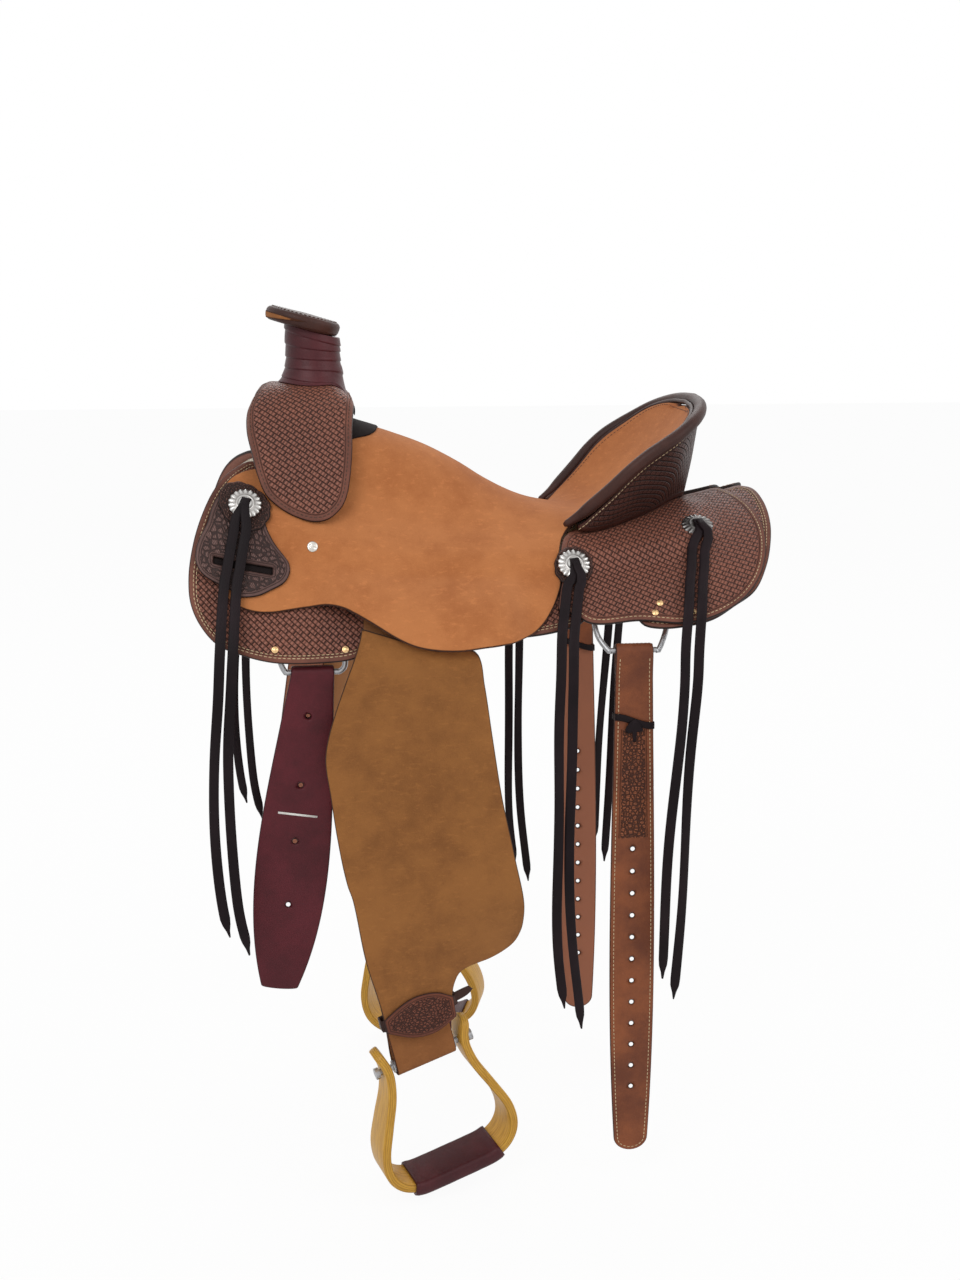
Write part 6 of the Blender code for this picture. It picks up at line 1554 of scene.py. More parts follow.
CANTLE = Cantle()
INNER_RIM = CANTLE.inner_rim()
RIDGE = (
    (-0.1500, 0.1745), (-0.1100, 0.1620), (-0.0700, 0.1470), (-0.0300, 0.1260), (0.0000, 0.1070),
    (0.0300, 0.0910), (0.0600, 0.0790), (0.0900, 0.0720), (0.1200, 0.0700), (0.1450, 0.0765),
    (0.1700, 0.0920), (0.2000, 0.1210), (0.2250, 0.1510), (0.2450, 0.1772), (0.2570, 0.1922),
)
SEAT_EDGE = (
    (-0.166, 0.000), (-0.167, 0.030), (-0.170, 0.051), (-0.182, 0.065), (-0.210, 0.070), (-0.246, 0.063),
    (-0.262, 0.040), (-0.264, 0.018), (-0.280, 0.026), (-0.302, 0.048), (-0.314, 0.075), (-0.321, 0.116),
    (-0.320, 0.161), (-0.308, 0.188), (-0.292, 0.198), (-0.274, 0.200), (-0.253, 0.196), (-0.234, 0.189),
    (-0.210, 0.181), (-0.193, 0.179), (-0.173, 0.184), (-0.144, 0.197), (-0.112, 0.214), (-0.094, 0.221),
    (-0.071, 0.225), (-0.043, 0.226), (-0.021, 0.224), (0.010, 0.220), (0.029, 0.209), (0.049, 0.195),
    (0.063, 0.176), (0.074, 0.152), (0.077, 0.141), (0.077, 0.121), (0.080, 0.099), (0.086, 0.083),
    (0.096, 0.075),
)
SEAT_CREST = ((-0.162, -0.026), (-0.132, -0.012), (-0.126, 0.0), (-0.132, 0.012), (-0.162, 0.026))


@dataclass
class Seat:
    """Rough-out seat leather with its jockeys and the dish of the cantle."""

    thick: float = 0.0045
    half: float = 0.075
    dish: Tuple[float, float] = (0.075, 0.115)
    dish_rim: float = 0.084
    bulge: float = 0.0034
    front_flat: float = -0.220
    stitched_from: float = 0.125

    def ridge(self, x: Array) -> Array:
        """Underside of the leather on the centre plane.

        Args:
            x: Places along the horse.

        Returns:
            One height for each.
        """
        xs = np.array([row[0] for row in RIDGE])
        heights = np.array([row[1] for row in RIDGE]) - self.thick
        i = np.clip(np.searchsorted(xs, x) - 1, 0, len(xs) - 2)
        a, b = np.maximum(i - 1, 0), np.minimum(i + 2, len(xs) - 1)
        span = xs[i + 1] - xs[i]
        t = (x - xs[i]) / span
        slope_in = (heights[i + 1] - heights[a]) / (xs[i + 1] - xs[a]) * span
        slope_out = (heights[b] - heights[i]) / (xs[b] - xs[i]) * span
        return ((2 * t ** 3 - 3 * t ** 2 + 1) * heights[i] + (t ** 3 - 2 * t ** 2 + t) * slope_in
                + (3 * t ** 2 - 2 * t ** 3) * heights[i + 1] + (t ** 3 - t ** 2) * slope_out)

    def over_bars(self, x: Array, out: Array) -> Array:
        """Underside from the ridge over the bars to the jockeys.

        Args:
            x: Places along the horse.
            out: Lengths from the ridge.

        Returns:
            One point for each.
        """
        edge = np.full(x.shape, self.half)
        jockey = BACK.drape(x, np.maximum(out, edge), BACK.on_fender(x, np.maximum(out, edge)))
        land = BACK.drape(x, edge, BACK.on_fender(x, edge))
        ahead = unit(BACK.drape(x, edge + STEP, BACK.on_fender(x, edge + STEP)) - land)
        crown = np.stack([x, np.zeros(x.shape), self.ridge(x)], axis=1)
        reach = np.linalg.norm(land - crown, axis=1)
        broad = ease((-0.03 - x) / 0.11)
        level = np.maximum(broad, ease((x - 0.02) / 0.06))
        pull = crown.copy()
        pull[:, 1] -= blend(0.38, 0.56, level) * reach
        push = land - ahead * (reach * blend(0.36, 0.46, broad))[:, None]
        t = np.minimum(out / edge, 1.0)[:, None]
        curve = ((1 - t) ** 3 * crown + 3 * t * (1 - t) ** 2 * pull + 3 * t * t * (1 - t) * push
                 + t ** 3 * land)
        return np.where((out >= edge)[:, None], jockey, curve)

    def in_dish(self, x: Array, out: Array) -> Array:
        """Underside in the dish of the cantle.

        Args:
            x: Places along the horse.
            out: Lengths from the ridge.

        Returns:
            One point for each.
        """
        share = out / self.half
        edge_y = np.interp(x, INNER_RIM[:, 0], INNER_RIM[:, 1])
        edge_z = np.interp(x, INNER_RIM[:, 0], INNER_RIM[:, 2]) - self.thick * 1.15
        bulge = self.bulge * (1 - np.minimum(share, 1.0) ** 2) * ease((x - 0.21) / 0.035)
        middle = self.ridge(np.minimum(x + bulge, RIDGE[-1][0]))
        return np.stack([x + bulge, -edge_y * share, middle + (edge_z - middle) * share * share], axis=1)

    def surface(self, x: Array, out: Array) -> Array:
        """Underside of the leather; out is below zero on the off side.

        Args:
            x: Places along the horse.
            out: Lengths from the ridge.

        Returns:
            One point for each.
        """
        side = np.abs(out)
        share = ease((x - self.dish[0]) / (self.dish[1] - self.dish[0]))
        over_jockey = ease((self.half + 0.02 - side) / 0.02)
        share = (share * blend(over_jockey, 1.0, ease((x - self.dish_rim) / 0.010)))[:, None]
        points = self.over_bars(x, side) * (1 - share) + self.in_dish(x, side) * share
        front = ease((self.front_flat - x) / 0.02)[:, None]
        points = points * (1 - front) + BACK.drape(x, side, BACK.on_fender(x, side)) * front
        points[:, 1] = np.where(out < 0, -points[:, 1], points[:, 1])
        return points

    def form(self, x: Array, out: Array, face: Array) -> Array:
        """Points of the leather at shares of its thickness."""
        return self.surface(x, out) + normal_of(self.surface, x, out) * (self.thick * face)[:, None]

    def outline(self) -> Array:
        """Whole pattern of the seat."""
        top = float(np.interp(0.012, INNER_RIM[::-1, 1], INNER_RIM[::-1, 0]))
        near = list(SEAT_EDGE) + [(blend(SEAT_EDGE[-1][0], top, k / 8), self.half) for k in range(1, 9)]
        off = [(x, -drop) for x, drop in reversed(near) if drop > 1e-6]
        return smooth_loop(near + off)

    def build(self) -> None:
        """Make and dress the seat."""
        loop = self.outline()
        mount(Sheet(loop, self.form, self.thick, 0.0055, 0.0016).build("seat_roughout_leather"),
              SEAT_HIDE, "saddle", "seat_leather")
        # painted shade: a thin dark strip on the seat's front, where the fork meets it, stands for the shadow
        # line there
        strip = Sheet(smooth_loop(SEAT_CREST, 0.003), self.on_top, 0.0020, 0.004, 0.0008)
        mount(strip.build("seat_front_shade_strip"), SLOT_SHADE, "saddle")
        mount(stitch_edge("seat_dish_stitching", loop, self.form, (0.0042,), self.at_cantle), DARK_THREAD,
              "saddle")

    def on_top(self, x: Array, out: Array, face: Array) -> Array:
        """Points of a thin strip that lies on the leather."""
        return self.form(x, out, 1.03 + face * 0.45)

    def at_cantle(self, x: Array, out: Array) -> Array:
        """Whether a place on the seat's edge is along the cantle."""
        return x > self.stitched_from


# Fork and horn

ARCH = (
    (0.0000, 0.2225), (0.0300, 0.2215), (0.0520, 0.2150), (0.0720, 0.2000), (0.0880, 0.1780),
    (0.1020, 0.1520), (0.1150, 0.1250), (0.1270, 0.0980), (0.1370, 0.0745),
)
FORK_SPANS = (0.0, 0.030, 0.053, 0.078, 0.105, 0.134, 0.164, 0.186, 0.200, 0.208, 0.2135, 0.2170)
FORK_FRONT = (-0.262, -0.265, -0.272, -0.278, -0.2785, -0.273, -0.266, -0.257, -0.243, -0.231, -0.219, -0.207)
FORK_REAR = (-0.152, -0.152, -0.153, -0.155, -0.157, -0.158, -0.161, -0.165, -0.171, -0.178, -0.185, -0.195)


@dataclass
class Fork:
    """Tooled cover of the fork, and the wrapped horn."""

    cover_thick: float = 0.0038
    round_front: float = 0.014
    round_back: float = 0.046
    neck: float = 0.0335
    post: float = 0.0243
    cap_radius: float = 0.0445
    cap_thick: float = 0.018
    cap_x: float = -0.209
    horn_x: float = -0.2005
    horn_top: float = 0.3035
    tilt: float = math.radians(15)
    back_x: float = -0.170
    turns: float = 5.0
    lap: float = 0.0016
    back_half: float = 0.150
    back_seat_half: float = 0.060
    back_thick: float = 0.002
    back_below: float = 0.004
    patch_half: float = 0.075
    patch_top: float = 0.0088
    patch_low: float = 0.0168
    patch_rise: float = 0.0078
    patch_thick: float = 0.0008
    cap_edge: Tuple[Tuple[float, float], ...] = (
        (0.006, 0.0016), (0.003, 0.0026), (0.0012, 0.0042), (0.0, 0.0066), (0.0001, 0.0095),
        (0.0006, 0.0135), (0.0020, 0.0165), (0.005, 0.018))

    def arch(self) -> Trail:
        """Outside of the fork, from the centre out and down."""
        return Trail(spline(ARCH, 10))

    def form(self, x: Array, span: Array, face: Array) -> Array:
        """Points of the cover.

        Args:
            x: Places along the horse.
            span: Lengths from the centre, below zero on the off side.
            face: Share of its thickness.

        Returns:
            One point for each.
        """
        arch = self.arch()
        spans = np.array(FORK_SPANS) * arch.total / FORK_SPANS[-1]
        side = np.abs(span)
        spot, ahead = arch.at(side), arch.ahead(side, 0.002)
        ahead[side < 0.002] = (1.0, 0.0)
        share = side / arch.total
        fade = 1 - ease((share - 0.45) / 0.35)

        def fall(radius: Array, inside: Array) -> Array:
            """Depth of a rounded edge."""
            t = np.clip((radius - inside) / radius, 0.0, 0.98)
            return radius * (1 - np.sqrt(1 - t * t))
        front = fall(self.round_front, x - np.interp(side, spans, FORK_FRONT)) * fade
        radius = blend(self.round_back, self.round_front, ease(share / 0.40))
        back = fall(radius, np.interp(side, spans, FORK_REAR) - x) * fade
        into = self.cover_thick * (1 - face) + np.maximum(front, back)
        out = spot[:, 0] + ahead[:, 1] * into
        return np.stack([x, -out * np.where(span < 0, -1.0, 1.0), spot[:, 1] - ahead[:, 0] * into], axis=1)

    def outline(self) -> Array:
        """Pattern of the cover."""
        arch = self.arch()
        spans = [span * arch.total / FORK_SPANS[-1] for span in FORK_SPANS]
        front = list(zip(FORK_FRONT, spans))
        rear = list(zip(FORK_REAR, spans))
        near = front + rear[::-1]
        off = [(x, -span) for x, span in rear[1:]] + [(x, -span) for x, span in front[:0:-1]]
        return smooth_loop(near + off)

    def build(self) -> None:
        """Make and dress the fork's cover and the horn."""
        loop = self.outline()
        mount(Sheet(loop, self.form, self.cover_thick, 0.0045, 0.0013).build("fork_leather"), TOOLED,
              "saddle", "fork_cover")
        mount(stitch_edge("fork_stitching", loop, self.form, (0.0048,)), DARK_THREAD, "saddle")
        self.build_back()
        self.build_wrap()
        self.build_cap()

    def build_back(self) -> None:
        """Make and dress the leather that closes the arch behind the fork, down to the seat."""
        span = np.linspace(-self.back_half, self.back_half, 60)
        out = np.linspace(-self.back_seat_half, self.back_seat_half, 40)
        over = self.form(np.full(60, self.back_x), span, np.full(60, -0.25))[:, 1:]
        under = Seat().surface(np.full(40, self.back_x), out)[:, 1:] - np.array((0.0, self.back_below))
        over, under = over[np.argsort(over[:, 0])], under[np.argsort(under[:, 0])]
        loop = np.concatenate([over, under[::-1]])

        def form(y: Array, z: Array, face: Array) -> Array:
            """Points of the leather, upright across the saddle."""
            return np.stack([self.back_x + self.back_thick * face, y, z], axis=1)
        mount(Sheet(loop, form, self.back_thick, 0.006, 0.0005).build("fork_back_leather"), PLAIN_DARK,
              "saddle")

    def build_patch(self, place: Matrix) -> None:
        """Make and dress the rough-out patch under the front of the cap.

        Args:
            place: Placement of the cap.
        """
        arc = np.linspace(-self.patch_half, self.patch_half, 26)
        low = self.patch_low - self.patch_rise * (arc / self.patch_half) ** 2
        loop = np.concatenate([np.stack([arc, np.full(26, self.patch_top)], axis=1),
                               np.stack([arc, low], axis=1)[-2:0:-1]])
        insets, depths = np.array(self.cap_edge[2:]).T

        def form(u: Array, v: Array, face: Array) -> Array:
            """Points of the patch."""
            wide = np.interp(v, depths, self.cap_radius - insets) - 0.0002 + self.patch_thick * face
            turn = math.pi + u / self.cap_radius
            return moved(np.stack([wide * np.cos(turn), wide * np.sin(turn), -v], axis=1), place)
        mount(Sheet(loop, form, self.patch_thick, 0.003, 0.0004).build("horn_cap_patch"), LOOP_HIDE, "saddle")

    def under_cap(self, x: Array) -> Array:
        """Height of the underside of the tilted cap."""
        middle = self.cap_x - self.cap_thick * math.sin(self.tilt)
        return self.horn_top - self.cap_thick * math.cos(self.tilt) - math.tan(self.tilt) * (x - middle)

    def build_wrap(self) -> None:
        """Make and dress the leather wound round the neck."""
        tall = float(self.under_cap(np.array(self.horn_x))) - GAP
        foot = ARCH[0][1]
        heights = np.array((foot, foot + 0.003, foot + 0.009, foot + 0.020, tall - 0.030, tall - 0.012, tall))
        radii = np.array((self.neck + 0.0085, self.neck + 0.006, self.neck + 0.003, self.neck,
                          self.neck - 0.001, self.neck - 0.0005, self.neck - 0.0005))
        sides, levels = 72, 90
        turn = np.arange(sides) * 2 * math.pi / sides
        rows, patterns = [], []
        for k in range(levels + 1):
            height = foot + (tall - foot) * k / levels
            wound = (k / levels * self.turns + turn / (2 * math.pi)) % 1.0
            lap = self.lap * (1 - wound) ** 0.7 * (1 - np.exp(-wound * 30))
            radius = np.interp(height, heights, radii) + lap - self.lap * 0.6
            x, y = self.horn_x + radius * np.cos(turn), radius * np.sin(turn)
            low = ease((foot + 0.018 - height) / 0.015)
            high = ease((height - (tall - 0.030)) / 0.028)
            z = np.full(sides, height) - math.tan(self.tilt) * (x - self.horn_x) * high
            on_fork = self.form(x, np.clip(y, -0.06, 0.06) * -1.0, np.ones(sides))[:, 2] + 0.001
            z = z + (on_fork - foot) * low
            rows.append(np.stack([x, y, z], axis=1))
            patterns.append(np.stack([turn * 35.0, np.full(sides, height * MM), wound * 10], axis=1))
        rows, patterns = np.array(rows), np.array(patterns)
        inner = rows.copy()[::-1]
        inner[:, :, 0] = self.horn_x + self.post * np.cos(turn)[None, :]
        inner[:, :, 1] = self.post * np.sin(turn)[None, :]
        skin = np.concatenate([rows, inner[::15]])
        marks = np.concatenate([patterns, patterns[::-1][::15]])
        mount(lofted("horn_wrapping", skin, True, marks), BURGUNDY_WRAP, "saddle", "horn_wrap")

    def build_cap(self) -> None:
        """Make and dress the cap with its stitched welt."""
        r, t = self.cap_radius, self.cap_thick
        place = Matrix.Translation((self.cap_x, 0, self.horn_top)) @ Matrix.Rotation(self.tilt, 4, "Y")
        top = [(r * share, -0.0011 * ease(share / 0.8)) for share in (0.002, 0.2, 0.4, 0.6, 0.75)]
        edge = [(r - inset, -depth) for inset, depth in self.cap_edge]
        low = [(r * 0.5, -t), (r * 0.002, -t)]
        mount(lofted("horn_cap_leather", turned_rings(top + edge + low, 64, place)), ROLLED, "saddle",
              "horn_cap")
        self.build_patch(place)
        turn = np.linspace(0.0, 2 * math.pi, 97)
        ring = np.stack([(r - 0.0055) * np.cos(turn), (r - 0.0055) * np.sin(turn),
                         np.full(turn.shape, -0.0016)], axis=1)
        up = np.array(place.to_3x3() @ Vector((0, 0, 1)))
        mount(Thread().along("horn_cap_stitching", [(moved(ring, place), np.tile(up, (97, 1)))]),
              DARK_THREAD, "saddle")


# Keeper, rosettes and silver

KEEPER_EDGE = (
    (-0.300, 0.070), (-0.314, 0.078), (-0.322, 0.096), (-0.327, 0.118), (-0.334, 0.136), (-0.338, 0.154),
    (-0.337, 0.167), (-0.330, 0.176), (-0.316, 0.181), (-0.302, 0.183), (-0.290, 0.190), (-0.270, 0.183),
    (-0.254, 0.172), (-0.239, 0.159), (-0.234, 0.146), (-0.236, 0.135), (-0.244, 0.126), (-0.253, 0.116),
    (-0.260, 0.104), (-0.266, 0.086), (-0.276, 0.074), (-0.288, 0.068),
)
KEEPER_SLOT = ((-0.318, 0.1530), (-0.254, 0.1470), (-0.254, 0.1540), (-0.318, 0.1600))
TIES = {"front": (-0.2872, 0.0840), "mid": (0.0935, 0.124), "rear": (0.251, 0.092)}
CONCHO_SHARES = ((0.18, 0.99), (0.36, 0.95), (0.44, 0.86), (0.48, 0.97), (0.53, 0.97), (0.57, 0.80),
                 (0.66, 0.74), (0.80, 0.60), (0.92, 0.42), (1.0, 0.22), (1.0, 0.0), (0.4, 0.0))
STUD_SHARES = ((0.002, 0.36), (0.2, 0.35), (0.4, 0.31), (0.6, 0.24), (0.68, 0.16), (0.8, 0.17), (1.0, 0.08))


@dataclass
class Silverware:
    """Conchos on their scalloped rosettes, the latigo keeper, screws and rivets."""

    radius: float = 0.0185
    height: float = 0.0042
    scallops: int = 18
    keeper_thick: float = 0.0035
    rosette_thick: float = 0.0025
    rosette_front: float = 0.029
    rosette_mid: float = 0.023
    screw: float = 0.0062
    screw_spot: Tuple[float, float] = (-0.210, 0.114)
    rivet: float = 0.0040
    rear_rivets: Tuple[Tuple[float, float], ...] = ((0.188, 0.186), (0.181, 0.197), (0.224, 0.205))
    front_rivets: Tuple[Tuple[float, float], ...] = ((-0.250, 0.236), (-0.172, 0.222))

    def under_concho(self, side: Side, tie: str) -> Surface:
        """Height of what a concho lies on, a rosette or the rear jockey."""
        if tie == "rear":
            return BACK.over_rear
        under = self.under_rosette(side, tie)
        return lambda x, drop: under(x, drop) + self.rosette_thick

    def place(self, side: Side, tie: str) -> Matrix:
        """Matrix of a concho, with X along the horse and Z out."""
        rows = FOLDS.seat(TIES[tie], self.under_concho(side, tie), self.radius)
        return Matrix([*np.round(rows, FOLDS.digits).tolist(), (0.0, 0.0, 0.0, 1.0)])

    def under_keeper(self, x: Array, drop: Array) -> Array:
        """Height of the keeper's underside."""
        return BACK.over_seat(x, drop) + GAP

    def under_rosette(self, side: Side, tie: str) -> Surface:
        """Height of a rosette's underside.

        Args:
            side: The side.
            tie: The tie.

        Returns:
            The height for x and drop.
        """
        def height(x: Array, drop: Array) -> Array:
            """Height for x and drop."""
            if tie == "mid":
                return np.maximum(BACK.over_rear(x, drop), BACK.over_seat(x, drop)) + GAP
            stack = self.keeper_thick + GAP if side is Side.NEAR else 0.0
            return BACK.over_seat(x, drop) + stack + GAP
        return height

    def concho(self, name: str, place: Matrix) -> bpy.types.Object:
        """Domed concho with fluted rim and a beaded ring.

        Args:
            name: The piece's name.
            place: Its placement.

        Returns:
            The piece.
        """
        r, h = self.radius, self.height

        def flute(turn: Array, radius: float, height: float) -> Tuple[Array, Array]:
            """Scallops at the rim, flutes fading to the middle."""
            rim = float(ease(np.array((radius / r - 0.55) / 0.45)))
            wave = np.cos(turn * self.scallops)
            tall = height + 0.00042 * wave * rim if height > 0.0003 else np.full(turn.shape, height)
            return radius * (1 + 0.028 * wave * rim), tall
        profile = [(0.0001, h), *((r * out, h * up) for out, up in CONCHO_SHARES), (0.0001, 0.0)]
        sides = self.scallops * 8
        wave = 0.5 - 0.5 * np.cos(np.arange(sides) * 2 * math.pi / sides * self.scallops)
        shares = np.array([radius / r for radius, _ in profile])
        ring = np.exp(-((shares - 0.60) / 0.075) ** 2) + np.exp(-((shares - 0.43) / 0.04) ** 2)
        dark = np.clip(ring[:, None] + ease((shares - 0.62) / 0.2)[:, None] * wave[None, :] ** 2, 0.0, 1.0)
        marks = np.stack([np.broadcast_to(shares[:, None], dark.shape), dark * 0.0, dark], axis=2)
        return lofted(name, turned_rings(profile, sides, place, flute), False, marks)

    def rosette(self, name: str, side: Side, tie: str, radius: float) -> bpy.types.Object:
        """Scalloped leather rosette.

        Args:
            name: The piece's name.
            side: The side.
            tie: The tie.
            radius: Its radius.

        Returns:
            The piece.
        """
        turn = np.arange(144) * 2 * math.pi / 144
        wide = radius * (0.97 + 0.045 * np.abs(np.sin(turn * 6)))
        centre = TIES[tie]
        loop = np.stack([centre[0] + wide * np.cos(turn), centre[1] + wide * np.sin(turn)], axis=1)
        form = BACK.laid(self.under_rosette(side, tie), self.rosette_thick)
        return Sheet(loop, form, self.rosette_thick, 0.003, 0.0009).build(name)

    def build(self) -> None:
        """Make and dress the silver and what it lies on."""
        slot = smooth_loop(KEEPER_SLOT, 0.003)
        loop = smooth_loop(KEEPER_EDGE)
        form = BACK.laid(self.under_keeper, self.keeper_thick)
        keeper = Sheet(loop, form, self.keeper_thick, 0.004, 0.0011, holes=(slot,))
        mount(keeper.build("near_keeper_leather"), SCROLLED, "saddle", "near_latigo_keeper")
        middle = slot.mean(axis=0)
        # painted shade: a thin dark sheet under the keeper's slot stands for the shadow seen through it
        slot_shade_sheet = Sheet(middle + (slot - middle) * np.array((1.05, 1.3)),
                       BACK.laid(lambda x, drop: BACK.over_seat(x, drop) + 0.0002, 0.0006), 0.0006, 0.003,
                       0.0003)
        mount(slot_shade_sheet.build("near_keeper_slot_lining"), SLOT_SHADE, "saddle")
        for tie, radius in (("front", self.rosette_front), ("mid", self.rosette_mid), ("rear", 0.0)):
            for side in Side:
                name = f"{side.value}_{tie}"
                place = self.place(side, tie)
                silver = DARK_SILVER if tie == "rear" else SILVER
                pieces = [(self.concho(name + "_concho_silver", place), silver, name + "_concho")]
                if radius:
                    pieces.append((self.rosette(name + "_rosette_leather", side, tie, radius), ROSETTE,
                                   name + "_rosette"))
                for piece, finish, node in pieces:
                    if side is Side.OFF:
                        to_off_side(piece)
                    mount(piece, finish, "saddle", node)
        self.build_screws()

    def stud(self, name: str, surface: Surface, spot: Tuple[float, float], radius: float,
             slotted: bool) -> bpy.types.Object:
        """Domed screw or rivet head on the leather.

        Args:
            name: The piece's name.
            surface: Height of the leather for x and drop.
            spot: Where it is on the pattern.
            radius: Its radius.
            slotted: Whether it has a screw slot.

        Returns:
            The piece.
        """
        form = BACK.laid(surface, 0.001)
        x, drop = np.array([spot[0]]), np.array([spot[1]])
        base = form(x, drop, np.zeros(1))[0]
        up = unit(form(x, drop, np.ones(1))[0] - base)
        side = unit(np.array((1.0, 0.0, 0.0)) - up * up[0])
        matrix = np.eye(4)
        matrix[:3, :4] = np.stack([side, np.cross(up, side), up, base], axis=1)

        def cut(turn: Array, at: float, height: float) -> Tuple[Array, Array]:
            """Slot across the head."""
            across = np.abs(at * np.sin(turn + 0.5))
            deep = (across < radius * 0.13) & (at < radius * 0.62) & (height > 0)
            return np.full(turn.shape, at), height - np.where(deep, radius * 0.16, 0.0)
        profile = [(radius * out, radius * tall) for out, tall in STUD_SHARES]
        profile += [(radius, -0.0005), (radius * 0.002, -0.0005)]
        return lofted(name, turned_rings(profile, 36, Matrix(matrix.tolist()), cut if slotted else None))

    def build_screws(self) -> None:
        """Make and dress the jockey screws and rivets."""
        both_sides(self.stud("near_jockey_screw", BACK.over_seat, self.screw_spot, self.screw, True), SCREW,
                   "saddle")
        for k, spot in enumerate(self.rear_rivets):
            both_sides(self.stud(f"near_rear_rivet_{k + 1}", BACK.over_rear, spot, self.rivet, False), BRASS,
                       "saddle")
        top = level(BACK.skirt_under + BACK.skirt_thick)
        for k, spot in enumerate(self.front_rivets):
            both_sides(self.stud(f"near_front_rivet_{k + 1}", top, spot, self.rivet, False), BRASS, "saddle")


ROSETTE = Leather("rosette_leather", "dark_tooled_leather", (0.110, 0.048, 0.036), (0.060, 0.026, 0.020),
                  DARK_EDGE, 0.48, stamp=Stamp.SCROLL, stamp_size=3.2, border=1.6)


# Saddle strings

ROUTES = {
    "near_front": ((-0.280018, -0.137563, 0.098558), (-0.282122, -0.143135, 0.091474),
                   (-0.284838, -0.148431, 0.081863), (-0.285826, -0.154677, 0.068546),
                   (-0.288902, -0.16292, 0.05351), (-0.29352, -0.17863, 0.028388),
                   (-0.297241, -0.19043, 0.008378), (-0.302, -0.224, -0.055), (-0.3055, -0.231, -0.105),
                   (-0.311, -0.231, -0.18), (-0.3125, -0.231, -0.27), (-0.308, -0.231, -0.35),
                   (-0.296, -0.231, -0.41)),
    "near_mid": ((0.093359, -0.153647, 0.025195), (0.09427, -0.159054, 0.017739),
                 (0.09535, -0.164128, 0.007696), (0.089544, -0.170947, -0.000335),
                 (0.085962, -0.182027, -0.013358), (0.081779, -0.197213, -0.028623),
                 (0.077, -0.213, -0.05), (0.0745, -0.227, -0.095), (0.0725, -0.23, -0.17),
                 (0.0725, -0.23, -0.29), (0.0755, -0.23, -0.41), (0.087, -0.23, -0.52)),
    "near_rear": ((0.247469, -0.109733, 0.063481), (0.248922, -0.117465, 0.058607),
                  (0.250697, -0.125833, 0.051217), (0.242463, -0.137145, 0.035638),
                  (0.236919, -0.157559, 0.018056), (0.229461, -0.182634, -0.000438),
                  (0.223926, -0.204652, -0.018882), (0.2185, -0.2175, -0.065), (0.216, -0.225, -0.11),
                  (0.211, -0.226, -0.2), (0.206, -0.226, -0.3), (0.202, -0.226, -0.4),
                  (0.199, -0.226, -0.49)),
    "off_front": ((-0.280872, -0.134749, 0.096159), (-0.283009, -0.14031, 0.089078),
                  (-0.285764, -0.145594, 0.079471), (-0.28647, -0.151612, 0.066398),
                  (-0.289448, -0.159758, 0.051477), (-0.293917, -0.175338, 0.026534),
                  (-0.297535, -0.187061, 0.006648), (-0.302, -0.224, -0.055), (-0.3055, -0.231, -0.105),
                  (-0.311, -0.231, -0.18), (-0.3125, -0.231, -0.27), (-0.308, -0.231, -0.35),
                  (-0.296, -0.231, -0.41)),
}
SPREAD = {"front": (0.0, 0.009), "mid": (0.0, 0.008), "rear": (0.001, 0.010)}


THONG_CORNERS = ((1.0, 0.35), (0.90, 0.85), (0.45, 1.0), (-0.45, 1.0), (-0.90, 0.85), (-1.0, 0.35),
                 (-1.0, -0.35), (-0.90, -0.85), (-0.45, -1.0), (0.45, -1.0), (0.90, -0.85), (1.0, -0.35))
TURN_CORNERS = ((1.0, 0.3), (0.8, 1.0), (-0.8, 1.0), (-1.0, 0.3), (-1.0, -0.3), (-0.8, -1.0), (0.8, -1.0),
                (1.0, -0.3))


